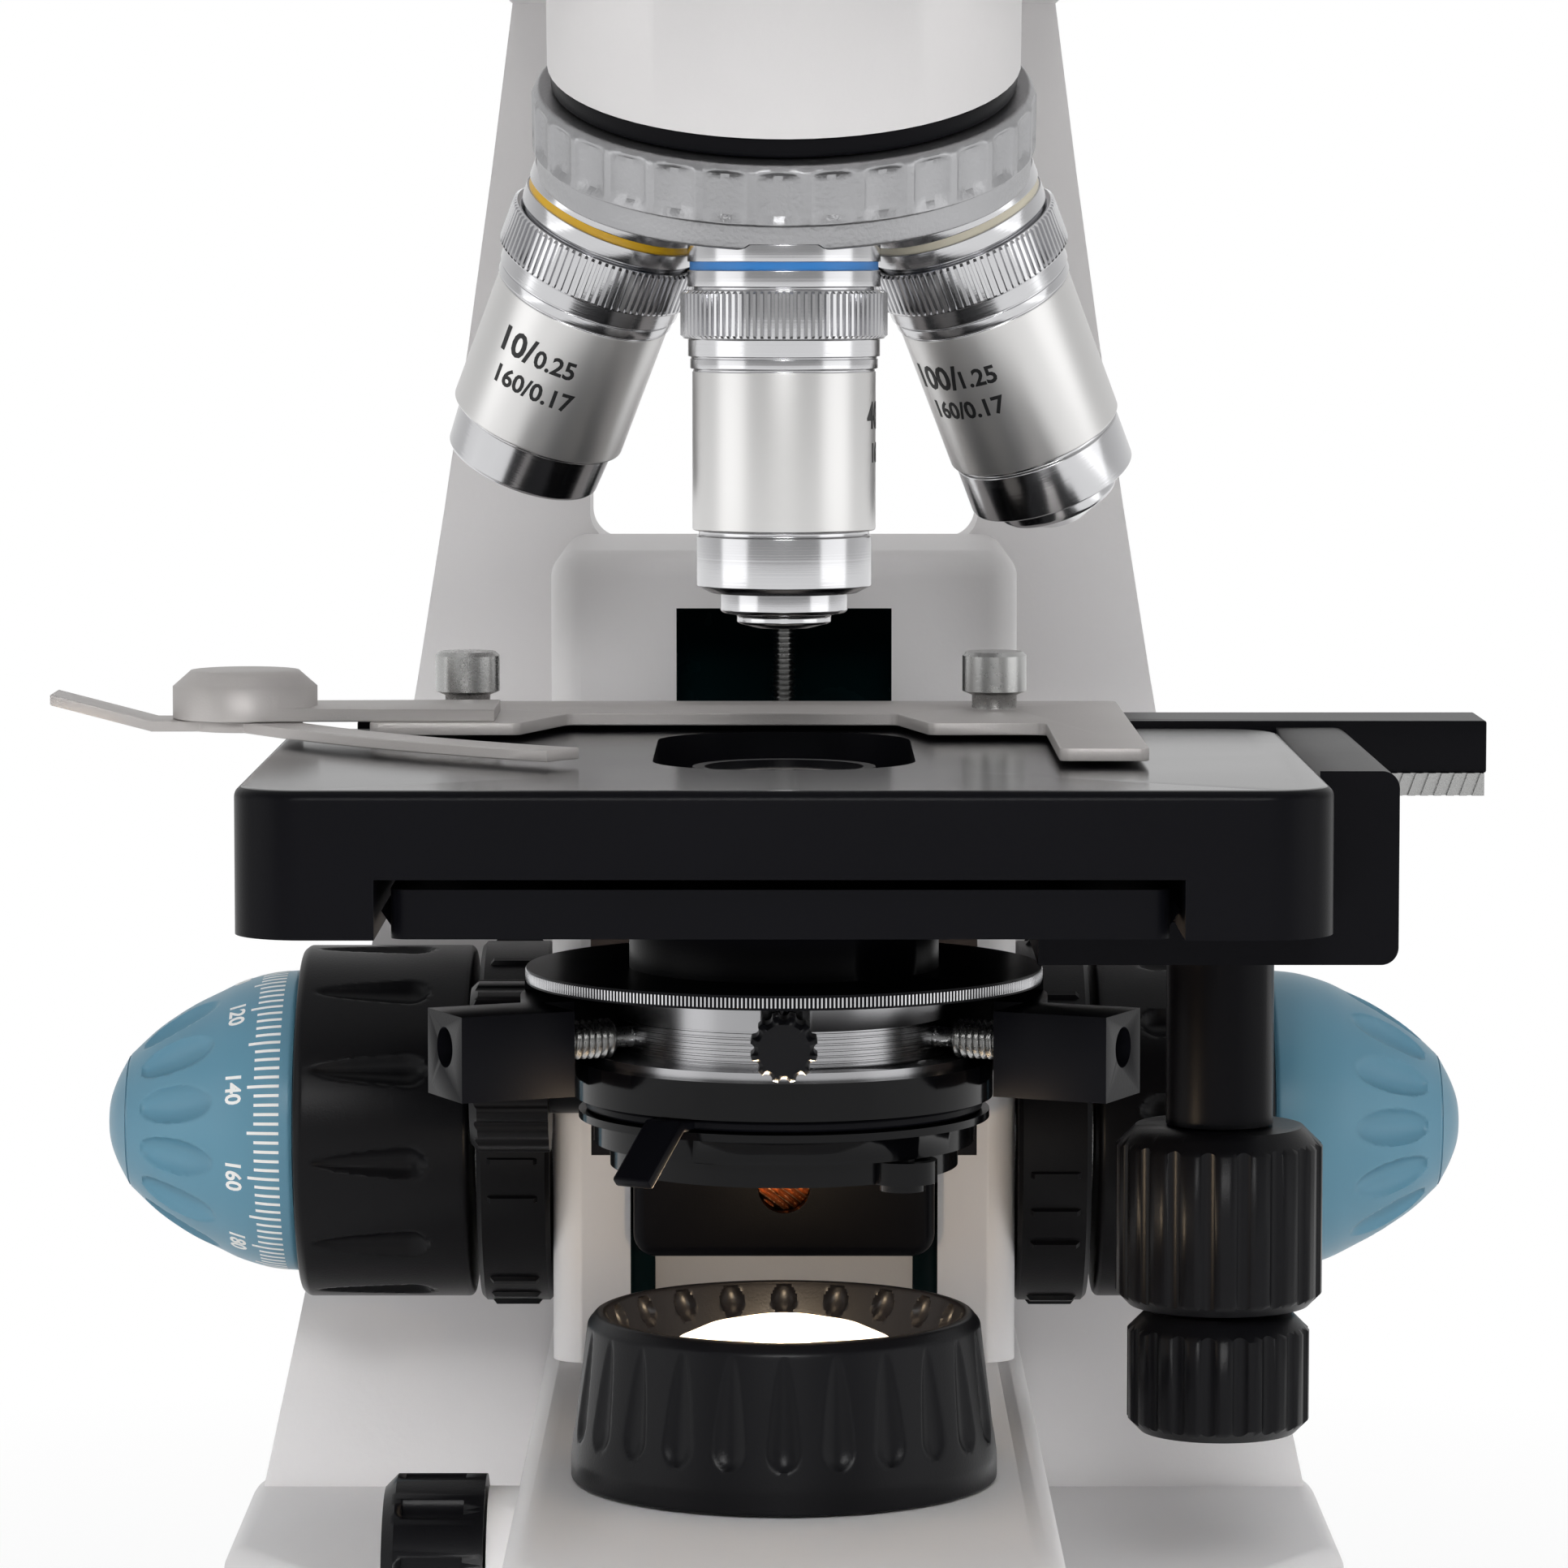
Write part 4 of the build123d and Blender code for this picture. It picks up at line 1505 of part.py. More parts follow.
collector_lens = domed_lens(LENS_RADIUS, LENS_SEAT_Z, LENS_SEAT_Z + LENS_EDGE, LENS_HEIGHT + 1.5)
with BuildPart() as collector_ring:
    upright(
        [
            (COLLECTOR_BORE, NOSE_TOP + GAP),
            (COLLECTOR_FOOT_RADIUS, NOSE_TOP + GAP),
            (COLLECTOR_FOOT_RADIUS, NOSE_TOP + 3.0),
            (COLLECTOR_TOP_RADIUS, COLLECTOR_TOP - 1.2),
            (COLLECTOR_TOP_RADIUS - 1.0, COLLECTOR_TOP),
            (COLLECTOR_TOP_RADIUS - 2.0, COLLECTOR_TOP),
            (RING_LIP + 1.0, LENS_HEIGHT + 0.6),
            (RING_LIP, LENS_HEIGHT + 0.6),
            (RING_LIP, LENS_HEIGHT - 0.7),
            (COLLECTOR_BORE, LENS_HEIGHT - 0.7),
        ]
    )
    ring_height = COLLECTOR_TOP - NOSE_TOP
    grip_lean = math.degrees(math.atan((COLLECTOR_FOOT_RADIUS - COLLECTOR_TOP_RADIUS) / ring_height))
    grip_radius = (COLLECTOR_FOOT_RADIUS + COLLECTOR_TOP_RADIUS) / 2
    with Locations((0, 0, (NOSE_TOP + COLLECTOR_TOP) / 2)):
        with PolarLocations(grip_radius + GRIP_OUT, COLLECTOR_DIMPLES):
            Cylinder(GRIP_RADIUS, ring_height * 0.6, rotation=(0, -grip_lean, 0), mode=Mode.SUBTRACT)
    cone_height = (COLLECTOR_TOP + LENS_HEIGHT) / 2
    cone_radius = (COLLECTOR_TOP_RADIUS + RING_LIP) / 2 - 0.5
    with Locations((0, 0, cone_height + COLLECTOR_NOTCH / 2)):
        with PolarLocations(cone_radius, COLLECTOR_NOTCHES):
            Sphere(COLLECTOR_NOTCH, mode=Mode.SUBTRACT)
FIN_RADIUS = 16.0
FIN_BOTTOM = PLATE_TOP + 12.0
FIN_TOP = FIN_BOTTOM + 10.0
with BuildPart() as lamp_module:
    upright(
        [
            (0, FIN_BOTTOM),
            (FIN_RADIUS, FIN_BOTTOM),
            (FIN_RADIUS, FIN_TOP),
            (LAMP_TUBE - 1.0, FIN_TOP),
            (LAMP_TUBE - 1.0, SPIGOT_BOTTOM),
            (0, SPIGOT_BOTTOM),
        ]
    )

# Control board on four posts in the base
BOARD_HALF = 26.0
BOARD_Y = (72.0, 112.0)
BOARD_Z = PLATE_TOP + 6.0
POST_RADIUS = 2.5
with BuildPart() as control_board:
    block((-BOARD_HALF, BOARD_HALF), BOARD_Y, (BOARD_Z, BOARD_Z + 1.6))
    for x in (-BOARD_HALF + 4.0, BOARD_HALF - 4.0):
        for y in (BOARD_Y[0] + 4.0, BOARD_Y[1] - 4.0):
            rod(POST_RADIUS, (x, y, PLATE_TOP), (x, y, BOARD_Z))

# Power inlet and rocker switch in the rear wall
INLET_NUT = INLET_BODY + 0.8
INLET_BACK = REAR_WALL - 8.0
with BuildPart() as power_inlet:
    rearward = Plane((INLET_X, 0, SWITCH_Z), x_dir=(1, 0, 0), z_dir=(0, 1, 0))
    turn(
        [
            (0, INLET_BACK),
            (INLET_BODY - RUN, INLET_BACK),
            (INLET_BODY - RUN, REAR_WALL - 2.0),
            (INLET_NUT, REAR_WALL - 2.0),
            (INLET_NUT, REAR_WALL),
            (INLET_BODY - RUN, REAR_WALL),
            (INLET_BODY - RUN, BASE_REAR),
            (INLET_RADIUS, BASE_REAR),
            (INLET_RADIUS, INLET_BACK + 2.0),
            (1.0, INLET_BACK + 2.0),
            (1.0, BASE_REAR - 1.0),
            (0, BASE_REAR - 1.0),
        ],
        rearward,
    )
with BuildPart() as switch_rocker:
    tipped = (0, math.cos(math.radians(ROCK)), math.sin(math.radians(ROCK)))
    rocker_half = SWITCH_HEIGHT / 2 - 2 * GAP
    with BuildSketch(Plane((SWITCH_X, ROCKER_Y, SWITCH_Z), x_dir=tipped, z_dir=(1, 0, 0))):
        with BuildLine():
            Polyline(
                (-4.0, 0),
                (-1.0, -rocker_half),
                (1.6, -rocker_half),
                (0.8, 0),
                (1.6, rocker_half),
                (-1.0, rocker_half),
                close=True,
            )
        make_face()
    extrude(amount=SWITCH_WIDTH / 2 - GAP, both=True)
    rod(ROCKER_PIN, pin_start, pin_end)

# Dimmer knob on the left of the nose
with BuildPart() as dimmer_knob:
    leftward = Plane((0, DIMMER_Y, DIMMER_Z), x_dir=(0, 0, 1), z_dir=(-1, 0, 0))
    turn(
        [
            (0, 18.0),
            (DIMMER_SHAFT, 18.0),
            (DIMMER_SHAFT, DIMMER_RIGHT),
            (DIMMER_RADIUS, DIMMER_RIGHT),
            (DIMMER_RADIUS, DIMMER_LEFT - 1.5),
            (DIMMER_RADIUS - 1.5, DIMMER_LEFT),
            (0, DIMMER_LEFT),
        ],
        leftward,
    )
    with Locations(leftward.offset((DIMMER_RIGHT + DIMMER_LEFT) / 2)):
        with PolarLocations(DIMMER_RADIUS + 1.4, 10):
            Cylinder(2.2, (DIMMER_LEFT - DIMMER_RIGHT) * 0.6, mode=Mode.SUBTRACT)

# Viewing head: body on the limb, two swinging tube housings with eyepieces
PITCH_SIN = math.sin(math.radians(HEAD_PITCH))
PITCH_COS = math.cos(math.radians(HEAD_PITCH))
hinge_plane = Plane((0, HINGE_Y, HINGE_Z), x_dir=(1, 0, 0), z_dir=(0, -PITCH_COS, PITCH_SIN))
HEAD_FLOOR = LIMB_TOP + RUN
FACE_HALF = 23.0
HINGE_PIN = 6.0
HALF_DEPTH = HOUSING_DEPTH / 2


def on_face(up, out):
    """Side-view point (Y, Z) on the hinge face, by its height and its distance out of the face."""
    spot = hinge_plane.origin + hinge_plane.y_dir * up + hinge_plane.z_dir * out
    return (spot.Y, spot.Z)


with BuildPart() as head_body:
    rod(SOCKET_RADIUS, (0, 0, LIMB_TOP - SOCKET_DEPTH + GAP), (0, 0, HEAD_FLOOR))
    with BuildSketch(Plane.YZ):
        with BuildLine():
            Polyline(
                (HEAD_RADIUS, HEAD_FLOOR),
                (HEAD_RADIUS, HEAD_FLOOR + HEAD_RADIUS),
                on_face(FACE_HALF, -GAP),
                on_face(-FACE_HALF, -GAP),
                (-HEAD_RADIUS, HEAD_FLOOR),
                close=True,
            )
        make_face()
    extrude(amount=HEAD_RADIUS, both=True)
    fillet(head_body.edges().filter_by(Axis.X).sort_by(Axis.Z)[-2:], HEAD_EDGE)
    with BuildSketch(hinge_plane.offset(-GAP)):
        Circle(HINGE_PIN)
    extrude(amount=HOUSING_DEPTH + GAP)
    rod(LIGHT_BORE, (0, 0, LIMB_TOP - SOCKET_DEPTH), (0, 0, HEAD_FLOOR + HEAD_RADIUS / 2), Mode.SUBTRACT)

TUBE_UP = math.sqrt(SWING_RADIUS**2 - (EYE_SPACING / 2) ** 2)
TUBE_END = HOUSING_DEPTH + TUBE_LENGTH
CUP_RADIUS = EYEPIECE_RADIUS
EYE_END = (EYE_REACH + HINGE_Y + TUBE_UP * PITCH_SIN - CUP_RADIUS * PITCH_SIN) / PITCH_COS


def tube_plane(side):
    """Axis of an eye tube, with Z towards the eye."""
    beside = hinge_plane.x_dir * (side * EYE_SPACING / 2)
    start = hinge_plane.origin + beside + hinge_plane.y_dir * TUBE_UP
    return Plane(start, x_dir=hinge_plane.x_dir, z_dir=hinge_plane.z_dir)


def tube_housing(side):
    """Prism housing that swings on the hinge pin, with its eye tube."""
    low = 0 if side < 0 else HALF_DEPTH + GAP / 2
    high = HALF_DEPTH - GAP / 2 if side < 0 else HOUSING_DEPTH
    axis = tube_plane(side)
    with BuildPart() as housing:
        with BuildSketch(hinge_plane.offset(low)) as link:
            Circle(HINGE_DISC)
            with Locations((side * EYE_SPACING / 2, TUBE_UP)):
                Circle(HOUSING_RADIUS)
            make_hull()
        extrude(amount=high - low)
        with BuildSketch(axis):
            Circle(HOUSING_RADIUS)
        extrude(amount=HOUSING_DEPTH)
        with BuildSketch(axis.offset(HOUSING_DEPTH - 1)):
            Circle(TUBE_OUTER)
        extrude(amount=TUBE_LENGTH + 1)
        with BuildSketch(axis.offset(HALF_DEPTH)):
            Circle(EYE_BORE)
        extrude(amount=HALF_DEPTH + TUBE_LENGTH, mode=Mode.SUBTRACT)
        with BuildSketch(hinge_plane):
            Circle(HINGE_PIN + RUN)
        extrude(amount=HOUSING_DEPTH, mode=Mode.SUBTRACT)
    return housing


def eyepiece(side):
    """Eyepiece in its tube, with a flared rim and a hollow eye cup."""
    barrel = EYE_BORE - RUN
    with BuildPart() as lens_set:
        turn(
            [
                (0, TUBE_END - 22.0),
                (barrel, TUBE_END - 22.0),
                (barrel, TUBE_END),
                (EYEPIECE_RADIUS - 1.0, TUBE_END),
                (EYEPIECE_RADIUS, TUBE_END + 3.0),
                (EYEPIECE_RADIUS, TUBE_END + 14.0),
                (EYEPIECE_RADIUS - 3.0, EYE_END - 16.0),
                (CUP_RADIUS - 1.5, EYE_END - 8.0),
                (CUP_RADIUS, EYE_END),
                (CUP_RADIUS - 2.0, EYE_END),
                (barrel, EYE_END - 7.0),
                (0, EYE_END - 6.0),
            ],
            tube_plane(side),
        )
    return lens_set


tube_left = tube_housing(-1)
tube_right = tube_housing(1)
eyepiece_left = eyepiece(-1)
eyepiece_right = eyepiece(1)

# Dioptre ring on the left tube
DIOPTRE_START = HOUSING_DEPTH + TUBE_LENGTH / 2
with BuildPart() as dioptre_ring:
    turn(
        [
            (TUBE_OUTER + SLIDE, DIOPTRE_START),
            (DIOPTRE_RADIUS, DIOPTRE_START),
            (DIOPTRE_RADIUS, DIOPTRE_START + DIOPTRE_WIDTH),
            (TUBE_OUTER + SLIDE, DIOPTRE_START + DIOPTRE_WIDTH),
        ],
        tube_plane(-1),
    )

# One file for each piece
pieces = {
    "base": base,
    "base_plate": base_plate,
    "feet": feet,
    "base_screws": base_screws,
    "arm": arm,
    "focus_column": focus_column,
    "stop_rod": stop_rod,
    "drive_bushes": drive_bushes,
    "nosepiece_disc": nosepiece_disc,
    "lamp_tube": lamp_tube,
    "lamp_module": lamp_module,
    "collector_lens": collector_lens,
    "control_board": control_board,
    "power_inlet": power_inlet,
    "turret": turret,
    "objective_4x": objective_4x,
    "objective_10x": objective_10x,
    "objective_40x": objective_40x,
    "objective_100x": objective_100x,
    "nose_40x": nose_40x,
    "nose_100x": nose_100x,
    "coarse_shaft": coarse_shaft,
    "coarse_knobs": coarse_knobs,
    "fine_knob_left": fine_knob_left,
    "fine_knob_right": fine_knob_right,
    "tension_ring": tension_ring,
    "stop_collar": stop_collar,
    "coarse_slide": coarse_slide,
    "stage_carrier": stage_carrier,
    "stage_lower_plate": stage_lower_plate,
    "substage_guide": substage_guide,
    "stage_upper_plate": stage_upper_plate,
    "drive_bracket": drive_bracket,
    "x_bar": x_bar,
    "x_rack": x_rack,
    "slide_holder": slide_holder,
    "holder_screws": holder_screws,
    "clip_arm": clip_arm,
    "clip_lever": clip_lever,
    "y_knob": y_knob,
    "x_knob": x_knob,
    "condenser_fork": condenser_fork,
    "centring_screws": centring_screws,
    "condenser_body": condenser_body,
    "condenser_lens": condenser_lens,
    "condenser_barrel": condenser_barrel,
    "iris_housing": iris_housing,
    "iris_lever": iris_lever,
    "filter_holder": filter_holder,
    "clamp_screw": clamp_screw,
    "height_knob": height_knob,
    "collector_ring": collector_ring,
    "dimmer_knob": dimmer_knob,
    "switch_rocker": switch_rocker,
    "head_body": head_body,
    "tube_left": tube_left,
    "tube_right": tube_right,
    "eyepiece_left": eyepiece_left,
    "eyepiece_right": eyepiece_right,
    "dioptre_ring": dioptre_ring,
}
for name, piece in pieces.items():
    piece.part.label = name
    export_step(piece.part, f"parts/{name}.step")
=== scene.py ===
"""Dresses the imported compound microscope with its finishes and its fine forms.

Every size in this file is in millimetres until it becomes a mesh, and in the
row frame of the solids: +X right, -Y towards the user, +Z up.
"""

import json
import logging
import math
from dataclasses import dataclass
from enum import Enum
from typing import Callable, Optional, Sequence

import bmesh
import bpy
from mathutils import Matrix, Vector


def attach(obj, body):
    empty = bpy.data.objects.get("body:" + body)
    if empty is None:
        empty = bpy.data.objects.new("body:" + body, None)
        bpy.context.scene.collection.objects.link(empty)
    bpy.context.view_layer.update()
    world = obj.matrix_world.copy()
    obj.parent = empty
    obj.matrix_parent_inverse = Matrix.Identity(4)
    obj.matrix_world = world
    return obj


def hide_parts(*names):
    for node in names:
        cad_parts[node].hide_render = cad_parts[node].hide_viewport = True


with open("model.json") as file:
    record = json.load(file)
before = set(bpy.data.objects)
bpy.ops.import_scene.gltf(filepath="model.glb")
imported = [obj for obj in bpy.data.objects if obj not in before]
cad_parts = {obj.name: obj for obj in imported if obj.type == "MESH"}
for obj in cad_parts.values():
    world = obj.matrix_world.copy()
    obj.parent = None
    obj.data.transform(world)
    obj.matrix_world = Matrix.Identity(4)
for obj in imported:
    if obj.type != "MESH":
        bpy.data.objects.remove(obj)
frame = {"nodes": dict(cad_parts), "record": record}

LOG = logging.getLogger("microscope")
MM = 0.001
MERGE = 1e-7  # points nearer than this, in metres, become one
PATCH = 24.0  # millimetres across the patches of tone and gloss
COAT_ROUGH = 0.12  # roughness of a clear top coat
RELIEF_DEPTH = 0.25  # depth of a relief as a share of its spacing
CAD_SHARP = 28.0  # degrees at which an edge of a dressed solid stays sharp
BODY_OF = {node: body for body, nodes in frame["record"]["behaviour"]["bodies"].items() for node in nodes}
Corner = tuple[float, float]
Shape = Callable[[float, float, float], float]
Wrap = Callable[[float, float, float], Vector]
Chooser = Callable[[Vector, Vector], bool]


def linear(code: str) -> tuple[float, float, float, float]:
    """Turn an sRGB hex colour into linear RGBA.

    Args:
        code: colour such as "#E4E2E1".

    Returns:
        Linear red, green, blue and an alpha of 1.
    """
    parts = [int(code[i : i + 2], 16) / 255 for i in (1, 3, 5)]
    bent = [p / 12.92 if p <= 0.04045 else ((p + 0.055) / 1.055) ** 2.4 for p in parts]
    return (*bent, 1.0)


def add_node(tree: bpy.types.NodeTree, kind: str, settings: dict, links: dict) -> bpy.types.Node:
    """Add one node with its settings and links.

    Args:
        tree: node tree that gets the node.
        kind: Blender's type name of the node.
        settings: attributes by name, or input values by "in:" and the input's name or number.
        links: output sockets by the name or number of the input that they feed.

    Returns:
        The new node.
    """
    made = tree.nodes.new(kind)
    for key, value in settings.items():
        if key.startswith("in:"):
            spot = key[3:]
            made.inputs[int(spot) if spot.isdigit() else spot].default_value = value
        else:
            setattr(made, key, value)
    for spot, source in links.items():
        tree.links.new(source, made.inputs[spot])
    return made


class Pattern(Enum):
    """Ways in which a surface was made, which decide its fine relief."""

    SPRAYED = "sprayed"
    MOULDED = "moulded"
    BLASTED = "blasted"
    TURNED = "turned"
    CAST = "cast"
    POLISHED = "polished"


@dataclass(frozen=True)
class Finish:
    """One surface finish, named for the material and how it was made.

    Attributes:
        name: plain name of the finish.
        colour: main sRGB colour.
        shade: sRGB colour of its darker patches.
        slot: the record's material slot.
        pattern: how the surface was made.
        grain: spacing of the relief in millimetres.
        relief: strength of the relief, from 0 to 1.
        rough: mean roughness.
        spread: how far the roughness swings from patch to patch.
        metallic: 1 for bare metal.
        coat: weight of a clear top coat.
        glow: emission strength.
        shine: level of the mirror-like share, 0.5 for common plastics.
    """

    name: str
    colour: str
    shade: str
    slot: str
    pattern: Pattern
    grain: float
    relief: float
    rough: float
    spread: float = 0.06
    metallic: float = 0.0
    coat: float = 0.0
    glow: float = 0.0
    shine: float = 0.5

    def material(self) -> bpy.types.Material:
        """Return the finish's material, made on first use.

        Returns:
            The material, with tone and gloss in patches and its relief as grain.
        """
        known = bpy.data.materials.get(self.name)
        if known:
            return known
        made = bpy.data.materials.new(self.name)
        made.use_nodes = True
        tree = made.node_tree
        shader = tree.nodes["Principled BSDF"].inputs
        shader["Metallic"].default_value = self.metallic
        shader["Coat Weight"].default_value = self.coat
        shader["Coat Roughness"].default_value = COAT_ROUGH
        shader["Specular IOR Level"].default_value = self.shine
        where = add_node(tree, "ShaderNodeTexCoord", {}, {}).outputs
        place, look = where["Object"], {"in:Scale": 1 / (self.grain * MM), "in:Detail": 3.0}
        if self.pattern is Pattern.TURNED:
            # Tool marks run round the piece: close together along its axis, hardly changing round it.
            scale = (0.6, 1 / self.grain, 1.0)
            place = add_node(tree, "ShaderNodeMapping", {"in:Scale": scale}, {0: where["UV"]}).outputs[0]
            look = {"in:Scale": 1.0, "in:Detail": 2.0}
        fine = add_node(tree, "ShaderNodeTexNoise", look, {"Vector": place}).outputs["Fac"]
        look = {"in:Scale": 1 / (PATCH * MM), "in:Detail": 4.0}
        patch = add_node(tree, "ShaderNodeTexNoise", look, {"Vector": where["Object"]}).outputs["Fac"]
        tones = {"in:1": linear(self.shade), "in:2": linear(self.colour)}
        tone = add_node(tree, "ShaderNodeMixRGB", tones, {0: patch})
        half = add_node(tree, "ShaderNodeMath", {"operation": "MULTIPLY", "in:1": 0.5}, {0: patch}).outputs[0]
        blend = {"operation": "MULTIPLY_ADD", "in:1": 0.5}
        mixed = add_node(tree, "ShaderNodeMath", blend, {0: fine, 2: half})
        limits = {"in:3": max(self.rough - self.spread, 0.02), "in:4": min(self.rough + self.spread, 1.0)}
        rough = add_node(tree, "ShaderNodeMapRange", limits, {0: mixed.outputs[0]})
        tree.links.new(tone.outputs[0], shader["Base Color"])
        tree.links.new(rough.outputs[0], shader["Roughness"])
        if self.relief:
            depth = {"in:Strength": self.relief, "in:Distance": self.grain * MM * RELIEF_DEPTH}
            bump = add_node(tree, "ShaderNodeBump", depth, {"Height": fine})
            tree.links.new(bump.outputs[0], shader["Normal"])
        if self.glow:
            shader["Emission Color"].default_value = linear(self.colour)
            shader["Emission Strength"].default_value = self.glow
        return made


# Each finish: name, colour, shade, slot, pattern, grain, relief, roughness and its spread
# Sprayed enamel on the castings: pale, with a faint orange peel about a millimetre across
ENAMEL = Finish(
    "sprayed_enamel", "#E6E4E4", "#DFDDDD", "white_enamel",
    Pattern.SPRAYED, 1.1, 0.10, 0.46, 0.06, shine=0.4,
)
# Satin black anodised plates: a broad sheen from a fine even grain
ANODISED = Finish(
    "satin_anodising", "#0C0C10", "#09090C", "black_anodised",
    Pattern.BLASTED, 0.25, 0.18, 0.34, shine=0.07,
)
# Top of the stage, rubbed smooth by slides, so that it mirrors the room at a low angle
RUBBED = Finish(
    "rubbed_anodising", "#0E0E13", "#0B0B0F", "black_anodised",
    Pattern.BLASTED, 0.25, 0.04, 0.18, 0.04, shine=0.6,
)
# Moulded ABS grips: fine spark-eroded grain
MOULDED = Finish(
    "black_moulding", "#0E0E11", "#0A0A0C", "black_plastic", Pattern.MOULDED, 0.3, 0.22, 0.34, shine=0.14
)
# Gloss lacquer on the iris housing: a dark mirror with sharp lights
LACQUER = Finish(
    "gloss_lacquer", "#060608", "#050506", "gloss_black",
    Pattern.POLISHED, 2.0, 0.02, 0.12, 0.03, shine=0.18,
)
# Bright chrome bands, turned: fine rings drawn 0.25 mm apart so that they show
CHROME = Finish(
    "turned_chrome", "#D9D9DB", "#C4C4C6", "bright_steel",
    Pattern.TURNED, 0.25, 0.10, 0.17, 0.07, metallic=1.0,
)
# Satin chrome sleeves of the objectives: even, pearly, with almost no grain
PEARL = Finish(
    "pearl_chrome", "#E2E1E0", "#DAD9D8", "satin_chrome",
    Pattern.BLASTED, 0.12, 0.10, 0.34, 0.03, metallic=0.92,
)
# Die-cast turret and lamp module: coarse skin with flow marks
DIE_CAST = Finish(
    "die_cast", "#BDBDBF", "#98989A", "cast_silver", Pattern.CAST, 0.55, 0.45, 0.36, 0.14, metallic=0.95
)
# Bead-blasted aluminium of the slide holder: dull, even grey
BLASTED = Finish(
    "bead_blasted", "#BCB8B6", "#AFABA9", "blasted_aluminium",
    Pattern.BLASTED, 0.28, 0.30, 0.45, 0.06, metallic=0.35,
)
# Turned aluminium barrel of the condenser: rings that draw the light out sideways
BARREL = Finish(
    "turned_barrel", "#B6B6B8", "#9C9C9E", "blasted_aluminium",
    Pattern.TURNED, 0.35, 0.25, 0.24, 0.08, metallic=1.0,
)
# Machined steel screws and rack: grey with bright edges
STEEL = Finish(
    "machined_steel", "#BDBDBC", "#A6A6A5", "bright_steel",
    Pattern.BLASTED, 0.3, 0.15, 0.28, 0.08, metallic=1.0,
)
# Machined bronze of the focus gear: warm glints on its teeth
BRASS = Finish(
    "machined_bronze", "#C58A62", "#A8714B", "brass", Pattern.BLASTED, 0.4, 0.15, 0.30, 0.08, metallic=1.0
)
# Smooth ABS of the fine knobs: one even colour with a soft sheen
TEAL = Finish("teal_moulding", "#5C8DA3", "#55849A", "teal_plastic", Pattern.MOULDED, 0.5, 0.05, 0.36, 0.04)
# Pale paint of the slide behind the stage carrier: flat warm grey
SLIDE_PAINT = Finish("slide_paint", "#CBC8C6", "#C2BFBD", "cast_silver", Pattern.SPRAYED, 1.0, 0.12, 0.5)
# Inside of the column's slot: painted shade of the deep unlit slot, with a painted teal reflection
SLOT_SHADE = Finish(
    "painted_slot_shade", "#06282C", "#030708", "white_enamel", Pattern.CAST, 6.0, 0.1, 0.25, 0.12, shine=0.1
)
# Rubber feet and eye cups: dull black without lights
RUBBER = Finish("moulded_rubber", "#1A1A1A", "#141414", "rubber", Pattern.MOULDED, 0.4, 0.30, 0.75)
# Powder coat under the base: dull, with a coarse peel
POWDER = Finish("powder_coat", "#2C2C2E", "#242426", "dark_steel", Pattern.SPRAYED, 0.8, 0.35, 0.55)
# Solder mask of the control board: glossy dark green
BOARD = Finish("solder_mask", "#1D4A2E", "#173D25", "board", Pattern.POLISHED, 1.0, 0.05, 0.30)
# Lit lens of the lamp: a warm white glow
LIT_LENS = Finish(
    "lit_lens", "#FFEFD8", "#FFE9CC", "lens_glass", Pattern.POLISHED, 4.0, 0.0, 0.10, glow=1.7
)
# Rim of the lit lens, seen through more glass: a dimmer amber band
LIT_RIM = Finish("lit_rim", "#FFD6A0", "#FFCF95", "lens_glass", Pattern.POLISHED, 4.0, 0.0, 0.10, glow=0.8)
# Coated glass of condenser, objectives and eyepieces: dark, with a sharp reflection
LENS = Finish(
    "coated_lens", "#8F8A84", "#6F6A66", "lens_glass",
    Pattern.POLISHED, 4.0, 0.0, 0.05, 0.02, metallic=0.3, coat=1.0,
)
# Printing inks: flat, even and without grain
INK = Finish("black_ink", "#111113", "#0E0E10", "black_plastic", Pattern.POLISHED, 0.5, 0.0, 0.45)
WHITE_INK = Finish("white_ink", "#F2F2F0", "#E8E8E6", "white_enamel", Pattern.POLISHED, 0.5, 0.0, 0.5)
# Enamelled bands that tell the powers apart: flat bright colour
YELLOW, BLUE, CREAM, RED = (
    Finish(f"{name}_ring", colour, shade, "satin_chrome", Pattern.POLISHED, 0.5, 0.0, 0.35)
    for name, colour, shade in (
        ("yellow", "#E3B31A", "#D9A814"),
        ("blue", "#2F7FC8", "#2A75BA"),
        ("cream", "#D9D2BE", "#CFC8B4"),
        ("red", "#C4312B", "#B52C27"),
    )
)
# Width of the broken edges that catch the light, in millimetres
EASED = {
    "condenser_fork": 0.5, "x_bar": 0.3, "iris_lever": 0.3,
    "slide_holder": 0.15, "clip_arm": 0.15, "clip_lever": 0.15,
}
